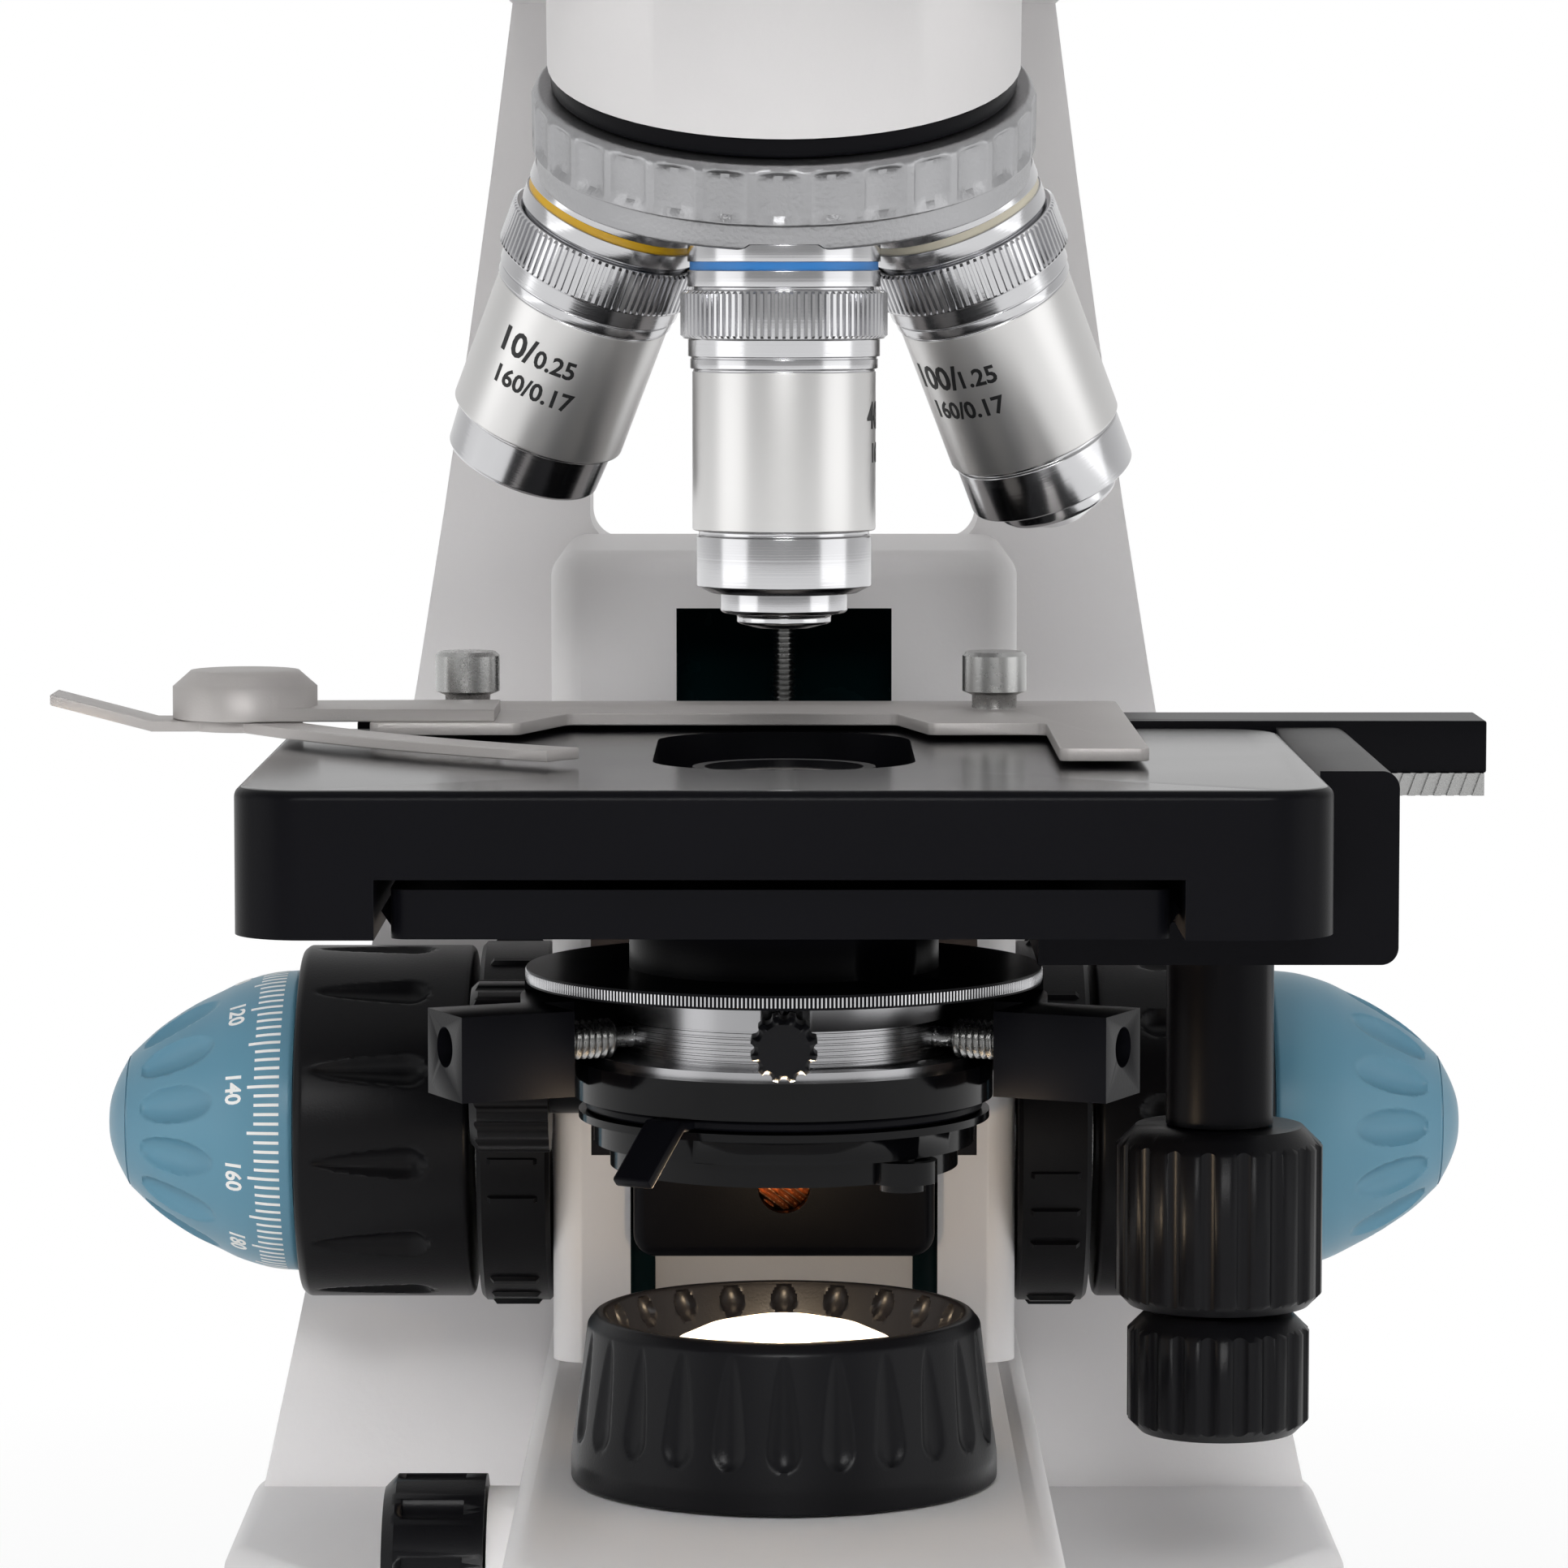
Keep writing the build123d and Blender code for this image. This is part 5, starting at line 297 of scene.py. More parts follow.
# Finish of each solid that keeps its shape
FINISHES = {
    "base": ENAMEL, "base_plate": POWDER, "feet": RUBBER, "base_screws": STEEL, "arm": ENAMEL,
    "drive_bushes": STEEL, "lamp_tube": ANODISED, "lamp_module": DIE_CAST, "control_board": BOARD,
    "power_inlet": MOULDED, "coarse_shaft": BRASS, "coarse_slide": SLIDE_PAINT, "stage_carrier": ANODISED,
    "stage_lower_plate": ANODISED, "substage_guide": ANODISED, "drive_bracket": ANODISED, "x_bar": ANODISED,
    "x_rack": STEEL, "slide_holder": BLASTED, "holder_screws": STEEL, "clip_arm": BLASTED,
    "clip_lever": BLASTED, "y_knob": MOULDED, "x_knob": MOULDED, "condenser_fork": ANODISED,
    "condenser_body": ANODISED, "condenser_lens": LENS, "condenser_barrel": BARREL, "iris_housing": LACQUER,
    "iris_lever": ANODISED, "filter_holder": LACQUER, "height_knob": MOULDED, "dimmer_knob": MOULDED,
    "switch_rocker": MOULDED, "tube_left": ANODISED, "tube_right": ANODISED, "dioptre_ring": MOULDED,
}


def spindle(origin: Sequence[float], along: Sequence[float], across: Sequence[float] = (1, 0, 0)) -> Matrix:
    """Frame of a turned piece.

    Args:
        origin: foot of the spindle in millimetres.
        along: direction of the spindle, the local Z.
        across: direction that becomes the local X, made square to the spindle.

    Returns:
        Matrix from the piece's millimetres to the row frame's metres.
    """
    z = Vector(along).normalized()
    x = (Vector(across) - z * z.dot(Vector(across))).normalized()
    y = z.cross(x)
    turned = Matrix((x, y, z)).transposed().to_4x4()
    return Matrix.Scale(MM, 4) @ Matrix.Translation(Vector(origin)) @ turned


UPRIGHT = spindle((0, 0, 0), (0, 0, 1))
# Upright too, with angle 0 towards the user
FACING = spindle((0, 0, 0), (0, 0, 1), (0, -1, 0))


def polar(radius: float, angle: float, height: float) -> Vector:
    """Point at a radius, an angle and a height about the local Z axis."""
    return Vector((radius * math.cos(angle), radius * math.sin(angle), height))


def soften(corners: Sequence[Corner], radius: float, steps: int = 4) -> list[Corner]:
    """Round the corners of a closed profile.

    Args:
        corners: corners of the profile in order; those on the axis stay sharp.
        radius: rounding radius, less where an edge is short.
        steps: points per rounded corner, less one.

    Returns:
        The rounded profile.
    """
    out: list[Corner] = []
    count = len(corners)
    for i, corner in enumerate(corners):
        here = Vector(corner)
        before, after = Vector(corners[i - 1]), Vector(corners[(i + 1) % count])
        a, b = before - here, after - here
        if here.x == 0 or min(a.length, b.length) < 1e-6:
            out.append(corner)
            continue
        reach = min(radius, 0.45 * a.length, 0.45 * b.length)
        start, end = here + a.normalized() * reach, here + b.normalized() * reach
        for k in range(steps + 1):
            t = k / steps
            spot = start * (1 - t) ** 2 + here * (2 * t * (1 - t)) + end * t**2
            out.append((spot.x, spot.y))
    return out


def divide(corners: Sequence[Corner], pitch: float, closed: bool, core: float = 0.0) -> list[Corner]:
    """Cut the edges of a profile into runs no longer than the pitch.

    Args:
        corners: corners of the profile in order.
        pitch: longest run.
        closed: whether the last corner joins the first.
        core: edges that reach inside this radius stay whole.

    Returns:
        The divided profile.
    """
    out: list[Corner] = []
    count = len(corners)
    for i, corner in enumerate(corners):
        out.append(corner)
        if i == count - 1 and not closed:
            break
        here, after = Vector(corner), Vector(corners[(i + 1) % count])
        runs = max(1, math.ceil((after - here).length / pitch)) if min(here.x, after.x) >= core else 1
        for k in range(1, runs):
            spot = here.lerp(after, k / runs)
            out.append((spot.x, spot.y))
    return out


def threads(low: float, pitch: float, count: int, turn: Sequence[Corner]) -> list[Corner]:
    """Profile of equal threads or rings, one above the other.

    Args:
        low: height of the first.
        pitch: height from one to the next.
        count: how many there are.
        turn: (radius, height) corners of one, upwards from its foot.

    Returns:
        The corners of all.
    """
    return [(radius, low + k * pitch + height) for k in range(count) for radius, height in turn]


def flowing(points: Sequence[Corner], runs: int = 6) -> list[Corner]:
    """Smooth curve through points.

    Args:
        points: points in order.
        runs: pieces between two points.

    Returns:
        The curve's points, both ends included.
    """
    out: list[Corner] = []
    last = len(points) - 1
    for i in range(last):
        p0, p1, p2, p3 = (Vector(points[min(max(i + k, 0), last)]) for k in (-1, 0, 1, 2))
        square, cube = 2 * p0 - 5 * p1 + 4 * p2 - p3, 3 * p1 - p0 - 3 * p2 + p3
        for k in range(runs):
            t = k / runs
            spot = 0.5 * (2 * p1 + (p2 - p0) * t + square * t**2 + cube * t**3)
            out.append((spot.x, spot.y))
    out.append(tuple(points[-1]))
    return out


@dataclass(frozen=True)
class Hollows:
    """A ring of equal hollows in the wall of a turned piece, in millimetres.

    Attributes:
        count: hollows round the spindle.
        level: height of an oval's middle, or of a teardrop's pointed end.
        reach: half the length of an oval, or the whole length of a teardrop.
        half: half of the greatest width.
        depth: greatest depth, below 0 in a wall that faces the spindle.
        bend: how sharply an oval's floor bends, or where a teardrop's round end starts.
        first: angle of one hollow in radians.
    """

    count: int
    level: float
    reach: float
    half: float
    depth: float
    bend: float
    first: float = 0.0

    def across(self, angle: float, radius: float) -> float:
        """Signed way round the wall from the middle of the nearest hollow."""
        pitch = 2 * math.pi / self.count
        return (((angle - self.first) / pitch + 0.5) % 1.0 * pitch - pitch / 2) * radius

    def oval(self, angle: float, height: float, radius: float) -> float:
        """Radius of a wall with ovals.

        Args:
            angle: angle round the spindle.
            height: height along it.
            radius: radius of the plain wall.

        Returns:
            The radius there.
        """
        along = (height - self.level) / self.reach
        inside = 1 - along**2 - (self.across(angle, radius) / self.half) ** 2
        return radius - self.depth * inside**self.bend if inside > 0 else radius

    def teardrop(self, angle: float, height: float, radius: float) -> float:
        """Radius of a wall with teardrops, pointed at the top and round at the foot.

        Args:
            angle: angle round the spindle.
            height: height along it.
            radius: radius of the plain wall.

        Returns:
            The radius there.
        """
        t = (self.level - height) / self.reach
        if not 0 < t < 1:
            return radius
        foot = max(0.0, (t - self.bend) / (1 - self.bend))
        wide = self.half * math.sqrt(t) * math.sqrt(1 - foot**2)
        across = self.across(angle, radius)
        if wide < 0.05 or abs(across) >= wide:
            return radius
        return radius - self.depth * (wide / self.half) * (1 - (across / wide) ** 2)


def linked(name: str, data: bpy.types.ID) -> bpy.types.Object:
    """Put an object with this data into the scene.

    Args:
        name: object name.
        data: its mesh, curve, light or camera.

    Returns:
        The object.
    """
    made = bpy.data.objects.new(name, data)
    bpy.context.scene.collection.objects.link(made)
    return made


def settled(carrier: bpy.types.Object, *tools: bpy.types.Object) -> bpy.types.Mesh:
    """Turn an object and its modifiers into a plain mesh, and clear it away.

    Args:
        carrier: object with the modifiers.
        tools: objects that the modifiers use, cleared away as well.

    Returns:
        The plain mesh.
    """
    graph = bpy.context.evaluated_depsgraph_get()
    made = bpy.data.meshes.new_from_object(carrier.evaluated_get(graph))
    for thing in (*tools, carrier):
        bpy.data.objects.remove(thing)
    return made


def publish(
    name: str,
    mesh: bpy.types.Mesh,
    finish: Finish,
    body: str,
    replaced: Sequence[str] = (),
    sharp: float = 34.0,
) -> None:
    """Make a mesh a finished piece that rides on its body.

    Args:
        name: piece name.
        mesh: mesh in row-frame metres.
        finish: surface finish; a mesh with materials of its own keeps them.
        body: body that carries the piece.
        replaced: solids that the piece stands for.
        sharp: edges that bend by more than this many degrees stay sharp.
    """
    if not mesh.materials:
        mesh.materials.append(finish.material())
    mesh.shade_smooth()
    mesh.set_sharp_from_angle(angle=math.radians(sharp))
    piece = linked(name, mesh)
    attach(piece, body)
    if replaced:
        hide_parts(*replaced)
    LOG.info("%s rides on %s, %d faces", name, body, len(mesh.polygons))


def mesh_from(bm: bmesh.types.BMesh, name: str, tidy: bool = True) -> bpy.types.Mesh:
    """Close a bmesh into a mesh.

    Args:
        bm: the bmesh, freed here.
        name: mesh name.
        tidy: whether double points are merged and the faces turned outwards.

    Returns:
        The mesh.
    """
    if tidy:
        bmesh.ops.remove_doubles(bm, verts=bm.verts, dist=MERGE)
        bmesh.ops.recalc_face_normals(bm, faces=bm.faces)
    mesh = bpy.data.meshes.new(name)
    bm.to_mesh(mesh)
    bm.free()
    return mesh


def lathe(
    name: str,
    corners: Sequence[Corner],
    frame_of: Matrix,
    steps: int = 160,
    shape: Optional[Shape] = None,
    pitch: float = 0.0,
    bands: Sequence[tuple[float, float, Finish]] = (),
    finish: Optional[Finish] = None,
    core: float = 0.0,
) -> bpy.types.Mesh:
    """Turn a profile into a closed mesh, with its relief cut in as geometry.

    Args:
        name: mesh name.
        corners: (radius, height) corners; a profile that starts and ends on the axis is solid,
            any other is a closed ring.
        frame_of: the spindle's frame.
        steps: points round the spindle.
        shape: gives the radius at (angle, height, radius), for flutes, dimples and knurls.
        pitch: longest run along the profile, 0 to leave it undivided.
        bands: (low, high, finish) of bands with a finish of their own.
        finish: finish of the rest, needed with bands.
        core: radius inside which the profile stays plain and undivided.

    Returns:
        The mesh, with a map of angle and height.
    """
    ring = not (corners[0][0] == 0 and corners[-1][0] == 0)
    line = divide(corners, pitch, ring, core) if pitch else list(corners)
    bm = bmesh.new()
    layer = bm.loops.layers.uv.new("turned")
    rows: list[list[bmesh.types.BMVert]] = []
    for radius, height in line:
        row = []
        for k in range(steps if radius else 1):
            angle = 2 * math.pi * k / steps
            r = shape(angle, height, radius) if shape and radius > core else radius
            row.append(bm.verts.new(frame_of @ polar(r, angle, height)))
        rows.append(row)
    for low in range(len(rows) if ring else len(rows) - 1):
        high = (low + 1) % len(rows)
        a, b = rows[low], rows[high]
        if len(a) == 1 and len(b) == 1:
            continue
        foot, top = line[low][1], line[high][1]
        number = 0
        for i, (start, end, _) in enumerate(bands):
            if start <= (foot + top) / 2 <= end:
                number = i + 1
        for k in range(steps):
            n = (k + 1) % steps
            quad = ((a, k, k, foot), (a, n, k + 1, foot), (b, n, k + 1, top), (b, k, k, top))
            # A row on the axis has one point, so its quads close to triangles.
            spots: dict[bmesh.types.BMVert, Corner] = {}
            for row, step, turn, height in quad:
                spots.setdefault(row[step % len(row)], (turn / steps, height))
            face = bm.faces.new(list(spots))
            face.material_index = number
            for loop, spot in zip(face.loops, spots.values()):
                loop[layer].uv = spot
    bmesh.ops.recalc_face_normals(bm, faces=bm.faces)
    mesh = mesh_from(bm, name, tidy=False)
    if bands and finish:
        for paint in (finish, *(band[2] for band in bands)):
            mesh.materials.append(paint.material())
    return mesh


def smoothed(node: str) -> bpy.types.Mesh:
    """Copy a solid's mesh and merge it, so that its round faces shade smoothly.

    Args:
        node: the solid.

    Returns:
        The merged copy.
    """
    bm = bmesh.new()
    bm.from_mesh(frame["nodes"][node].data)
    bmesh.ops.remove_doubles(bm, verts=bm.verts, dist=20 * MERGE)
    bmesh.ops.dissolve_limit(bm, angle_limit=math.radians(0.2), verts=bm.verts, edges=bm.edges)
    return mesh_from(bm, f"{node}_skin", tidy=False)


def eased(mesh: bpy.types.Mesh, width: float) -> bpy.types.Mesh:
    """Break the sharp edges of a mesh.

    Args:
        mesh: mesh in row-frame metres.
        width: width of the chamfer in millimetres.

    Returns:
        The mesh with narrow rounded edges that catch the light.
    """
    carrier = linked("eased", mesh)
    ease = carrier.modifiers.new("ease", "BEVEL")
    ease.width, ease.segments = width * MM, 2
    ease.limit_method, ease.angle_limit = "ANGLE", math.radians(50)
    ease.use_clamp_overlap = True
    return settled(carrier)


def dress(
    node: str, finish: Finish, other: Optional[Finish] = None, chosen: Optional[Chooser] = None
) -> None:
    """Give a solid a smooth skin in its finish.

    Args:
        node: the solid.
        finish: finish of the skin.
        other: finish of the chosen faces.
        chosen: picks faces by their middle in millimetres and their normal.
    """
    mesh = eased(smoothed(node), EASED[node]) if node in EASED else smoothed(node)
    mesh.materials.clear()
    if other and chosen:
        mesh.materials.append(finish.material())
        mesh.materials.append(other.material())
        for face in mesh.polygons:
            face.material_index = int(chosen(face.center / MM, face.normal))
    publish(f"{node}_skin", mesh, finish, BODY_OF[node], [node], sharp=CAD_SHARP)


def joined(name: str, meshes: Sequence[bpy.types.Mesh]) -> bpy.types.Mesh:
    """Put several meshes of one finish into one.

    Args:
        name: name of the new mesh.
        meshes: the meshes.

    Returns:
        The new mesh.
    """
    bm = bmesh.new()
    for mesh in meshes:
        bm.from_mesh(mesh)
    return mesh_from(bm, name, tidy=False)


def repeat_tree() -> bpy.types.NodeTree:
    """Return the tree that repeats a unit round a spindle, made on first use.

    Returns:
        Tree with the inputs Count, Turn and Material.
    """
    known = bpy.data.node_groups.get("repeat_unit")
    if known:
        return known
    tree = bpy.data.node_groups.new("repeat_unit", "GeometryNodeTree")
    inputs = {"Geometry": "Geometry", "Count": "Int", "Turn": "Float", "Material": "Material"}
    for title, kind in inputs.items():
        tree.interface.new_socket(title, in_out="INPUT", socket_type=f"NodeSocket{kind}")
    tree.interface.new_socket("Geometry", in_out="OUTPUT", socket_type="NodeSocketGeometry")
    given = add_node(tree, "NodeGroupInput", {}, {}).outputs
    index = add_node(tree, "GeometryNodeInputIndex", {}, {}).outputs[0]
    turned = add_node(tree, "ShaderNodeMath", {"operation": "MULTIPLY"}, {0: index, 1: given["Turn"]})
    spin = add_node(tree, "ShaderNodeCombineXYZ", {}, {"Z": turned.outputs[0]})
    points = add_node(tree, "GeometryNodePoints", {}, {"Count": given["Count"]})
    sources = {"Points": points.outputs[0], "Instance": given["Geometry"], "Rotation": spin.outputs[0]}
    spread = add_node(tree, "GeometryNodeInstanceOnPoints", {}, sources)
    real = add_node(tree, "GeometryNodeRealizeInstances", {}, {0: spread.outputs[0]})
    sources = {"Geometry": real.outputs[0], "Material": given["Material"]}
    paint = add_node(tree, "GeometryNodeSetMaterial", {}, sources)
    add_node(tree, "NodeGroupOutput", {}, {0: paint.outputs[0]})
    return tree


def repeat(
    name: str,
    unit: bpy.types.Mesh,
    finish: Finish,
    count: int,
    frame_of: Matrix,
    turn: Optional[float] = None,
) -> bpy.types.Mesh:
    """Repeat a unit mesh with Geometry Nodes and give back a plain mesh.

    Args:
        name: mesh name.
        unit: one unit, in millimetres about the spindle's local Z axis.
        finish: finish of all units.
        count: number of units.
        frame_of: frame that the result is placed in.
        turn: angle from unit to unit in radians, or None for an even share of the circle.

    Returns:
        The mesh, placed in the frame.
    """
    carrier = linked(f"{name}_unit", unit)
    tree = repeat_tree()
    modifier = carrier.modifiers.new("repeat", "NODES")
    modifier.node_group = tree
    share = 2 * math.pi / count if turn is None else turn
    values = {"Count": count, "Turn": share, "Material": finish.material()}
    for item in tree.interface.items_tree:
        if item.in_out == "INPUT" and item.name in values:
            modifier[item.identifier] = values[item.name]
    mesh = settled(carrier)
    mesh.name = name
    mesh.transform(frame_of)
    return mesh


def bar(name: str, sections: Sequence[Sequence[Sequence[float]]]) -> bpy.types.Mesh:
    """Closed bar through sections of four corners.

    Args:
        name: mesh name.
        sections: corners of each section in order.

    Returns:
        The bar's mesh, in the units of its corners.
    """
    bm = bmesh.new()
    rows = [[bm.verts.new(corner) for corner in section] for section in sections]
    bm.faces.new(rows[0][::-1])
    bm.faces.new(rows[-1])
    for low, high in zip(rows, rows[1:]):
        for i in range(4):
            n = (i + 1) % 4
            bm.faces.new((low[i], low[n], high[n], high[i]))
    return mesh_from(bm, name)


def rib(
    name: str, foot: float, top: float, width: float, crest: float, low: float, high: float
) -> bpy.types.Mesh:
    """One straight rib of a knurl, in millimetres, standing out along local X.

    Args:
        name: mesh name.
        foot: radius at the rib's foot.
        top: radius at its crest.
        width: width at the foot.
        crest: width at the crest.
        low: lower end along the spindle.
        high: upper end.

    Returns:
        The rib's mesh.
    """
    slope = (top - foot) * 0.8  # length of each sloping end
    root = foot - 0.3  # sunk into the wall that the rib stands on
    w, c = width / 2, crest / 2
    sections = []
    for z, peak in ((low, foot), (low + slope, top), (high - slope, top), (high, foot)):
        sections.append([(root, -w, z), (peak, -c, z), (peak, c, z), (root, w, z)])
    return bar(name, sections)


def carve(mesh: bpy.types.Mesh, cutters: Sequence[bpy.types.Mesh]) -> bpy.types.Mesh:
    """Cut closed meshes out of another, all in row-frame metres.

    Args:
        mesh: mesh that is cut.
        cutters: meshes to take away.

    Returns:
        The cut mesh.
    """
    body = linked("carved", mesh)
    tools = [linked(f"cutter_{i}", cutter) for i, cutter in enumerate(cutters)]
    for tool in tools:
        cut = body.modifiers.new(tool.name, "BOOLEAN")
        cut.operation, cut.solver, cut.object = "DIFFERENCE", "EXACT", tool
    return settled(body, *tools)


def printed(
    name: str, text: str, size: float, finish: Finish, wrap: Wrap, slices: float = 0.35
) -> bpy.types.Mesh:
    """Numerals printed on a round surface.

    Args:
        name: mesh name.
        text: the numerals.
        size: letter height setting in millimetres.
        finish: ink.
        wrap: turns (along, up, out) in millimetres into a row-frame point.
        slices: width of the strips that let the letters bend.

    Returns:
        A thin closed mesh that follows the surface.
    """
    curve = bpy.data.curves.new(name, "FONT")
    curve.body, curve.size, curve.align_x, curve.align_y = text, size, "CENTER", "CENTER"
    curve.extrude, curve.offset, curve.resolution_u = 0.02, 0.024 * size, 3
    bm = bmesh.new()
    bm.from_mesh(settled(linked(name, curve)))
    cuts = int(max(abs(vert.co.x) for vert in bm.verts) / slices)
    for k in range(-cuts, cuts + 1):
        everything = [*bm.verts, *bm.edges, *bm.faces]
        bmesh.ops.bisect_plane(bm, geom=everything, plane_co=(k * slices, 0, 0), plane_no=(1, 0, 0))
    for vert in bm.verts:
        vert.co = wrap(*vert.co)
    bmesh.ops.remove_doubles(bm, verts=bm.verts, dist=MERGE)
    mesh = mesh_from(bm, name, tidy=False)
    mesh.materials.append(finish.material())
    return mesh


@dataclass
class Nosepiece:
    """Tilted turret with four objectives, and the fixed disc above it."""

    tilt: float = 20.0  # degrees
    hole_circle: float = 19.0
    seat: float = 199.5
    seat_depth: float = 0.8  # how far the seats are sunk into the underside
    flat_radius: float = 8.0
    rim_radius: float = 29.9
    rim_low: float = 6.0
    rim_high: float = 13.2
    flutes: int = 30
    flute_low: float = 0.3  # plain rim below the flutes
    flute_high: float = 0.5  # plain rim above them
    flute_share: float = 0.82  # part of the pitch that is hollow
    flute_depth: float = 0.62
    flute_bend: float = 0.6  # power of the sine across a flute, below 1 for steep sides
    flute_skin: float = 0.6  # only surface this near to the rim is fluted
    flute_run: float = 0.7  # length of a flute's sloping end
    sleeve: float = 10.7
    knurl_ribs: int = 88
    print_left: float = -5.4  # where the first line starts, from the print's middle
    print_lift: float = 0.02
    digit: float = 1.3  # width of a digit of the first mark
    line_gap: float = 4.3

    def axis(self) -> tuple[Vector, Vector]:
        """Find the turret's axis.

        Returns:
            The middle of the hole circle and the upward direction.
        """
        lean = math.radians(self.tilt)
        middle = Vector((0, self.hole_circle * math.cos(lean), self.seat + self.hole_circle * math.sin(lean)))
        return middle, Vector((0, -math.sin(lean), math.cos(lean)))

    def turret_frame(self) -> Matrix:
        """Frame on the turret's axis at the height of the seats."""
        return spindle(*self.axis())

    def objective_frame(self, hole: int) -> Matrix:
        """Frame of an objective, with Z down from its shoulder.

        Args:
            hole: 0 for the one in use, then anticlockwise seen from above.

        Returns:
            Its frame.
        """
        lean = math.radians(self.tilt)
        middle, up = self.axis()
        right = Vector((1, 0, 0))
        angle = math.radians(-90 + 90 * hole)
        out = right * math.cos(angle) + up.cross(right) * math.sin(angle)
        down = out * math.sin(lean) - up * math.cos(lean)
        return spindle(middle + out * self.hole_circle, down, up.cross(out))

    def cone(self, radius: float) -> float:
        """Height of the turret's underside at a radius."""
        lean = math.radians(self.tilt)
        return (radius - self.hole_circle) * math.tan(lean) - self.seat_depth / math.cos(lean)

    def build(self) -> None:
        """Make the turret, the disc and the objectives."""
        self.turret()
        self.disc()
        long_tail = [
            (10.7, 33.1), (10.55, 33.25), (9.95, 33.3), (9.95, 33.8), (10.28, 33.9), (10.28, 39.75),
            (8.5, 40.6), (7.5, 40.6), (7.5, 38.2), (5.0, 38.2),
        ]
        low_tail = [
            (10.7, 31.4), (10.5, 31.6), (9.9, 31.7), (9.9, 32.0), (9.75, 32.1), (9.45, 37.1),
            (9.1, 37.5), (5.0, 37.5),
        ]
        short_tail = [(10.7, 21.8), (10.5, 22.0), (9.85, 22.1), (9.45, 26.6), (9.1, 27.0), (5.0, 27.0)]
        self.objective("40x", 0, long_tail, BLUE, ("40/", "0.65"), 97.0)
        self.objective("100x", 1, long_tail, CREAM, ("100/", "1.25"), -44.0)
        self.objective("4x", 2, short_tail, RED, ("4/", "0.10"), 180.0, 18.0)
        self.objective("10x", 3, low_tail, YELLOW, ("10/", "0.25"), -13.0)
        stepped = [
            (7.45, 42.6), (7.2, 42.9), (5.6, 43.2), (5.5, 43.4), (5.5, 44.0), (5.2, 44.2),
            (3.3, 44.7), (0, 44.7),
        ]
        self.nose("40x", 0, stepped)
        self.nose("100x", 1, [(7.45, 42.0), (7.2, 42.4), (6.2, 42.8), (3.0, 44.7), (0, 44.7)])

    def turret(self) -> None:
        """Die-cast turret with scalloped grip and four bored seats."""
        low, high, rim = self.rim_low, self.rim_high, self.rim_radius

        def scallop(angle: float, height: float, radius: float) -> float:
            """Hollow each flute, with a plain land beside it.

            Args:
                angle: angle round the turret.
                height: height along its axis.
                radius: radius of the plain rim.

            Returns:
                The radius there.
            """
            start, end = low + self.flute_low, high - self.flute_high
            if radius < rim - self.flute_skin or not start < height < end:
                return radius
            part = (angle * self.flutes / (2 * math.pi)) % 1.0 / self.flute_share
            hollow = math.sin(math.pi * part) ** self.flute_bend if part < 1 else 0.0
            ends = min(1.0, (height - start) / self.flute_run, (end - height) / self.flute_run)
            return radius - self.flute_depth * hollow * ends

        flat = self.cone(self.flat_radius)
        corners = [
            (4.05, flat), (self.flat_radius, flat), (29.4, self.cone(29.4)), (29.4, low), (rim, low + 0.1),
            (rim, high - 0.8), (rim - 0.8, high), (26.0, high), (26.0, 9.0), (4.05, 9.0),
        ]
        mesh = lathe("turret", soften(corners, 0.35), self.turret_frame(), 720, scallop, 0.9)
        seat = [(0, -18), (10.16, -18), (10.16, 0), (11.5, 0), (11.5, 4), (0, 4)]
        cutters = [lathe("seat", seat, self.objective_frame(hole), 96) for hole in range(4)]
        publish("turret_skin", carve(mesh, cutters), DIE_CAST, "turret", ["turret"])

    def disc(self) -> None:
        """Fixed black disc with its shadow groove, on the pivot."""
        flat = self.cone(self.flat_radius)
        corners = [
            (0, 20.0), (4.0, 20.0), (4.0, 16.0), (27.6, 16.0), (27.6, 13.5), (25.7, 13.5), (25.7, 9.3),
            (4.0, 9.3), (4.0, flat - 0.05), (7.0, flat - 0.05), (6.0, flat - 2.5), (0, flat - 2.5),
        ]
        mesh = lathe("disc", soften(corners, 0.5), self.turret_frame(), 240)
        bore = lathe("bore", [(0, 190), (7.0, 190), (7.0, 236), (0, 236)], UPRIGHT, 96)
        publish("nosepiece_disc_skin", carve(mesh, [bore]), ANODISED, "stand", ["nosepiece_disc"])

    def objective(
        self,
        power: str,
        hole: int,
        tail: Sequence[Corner],
        ring: Finish,
        mark: tuple[str, str],
        turn: float,
        line: float = 20.0,
    ) -> None:
        """Turned objective with colour ring, knurled grip and printed numbers.

        Args:
            power: name of the objective.
            hole: its hole in the turret.
            tail: profile from the sleeve to the bore.
            ring: colour of the ring.
            mark: the two parts of the first printed line.
            turn: degrees that the print lies to the right of the side that faces the user.
            line: height of the first printed line below the shoulder.
        """
        place = self.objective_frame(hole)
        corners = [
            (5.0, -4.5), (10.1, -4.5), (10.1, 0), (11.26, 0), (11.26, 2.0), (11.0, 2.0), (11.0, 3.0),
            (11.26, 3.0), (11.26, 4.9), (10.5, 4.9), (10.5, 5.3), (11.75, 5.3), (11.75, 10.9), (11.2, 11.0),
            (11.2, 13.0), (10.85, 13.0), (10.85, 13.25), (10.95, 13.3), (10.95, 14.4), (10.6, 14.5),
            (10.6, 14.7), (10.7, 14.8), *tail,
        ]
        chrome_end = tail[1][1] + 0.05
        bands = [(-5.0, 14.75, CHROME), (2.02, 2.98, ring), (chrome_end, 50.0, CHROME)]
        mesh = lathe(f"objective_{power}", soften(corners, 0.12), place, 192, bands=bands, finish=PEARL)
        publish(f"objective_{power}_skin", mesh, PEARL, "turret", [f"objective_{power}"])
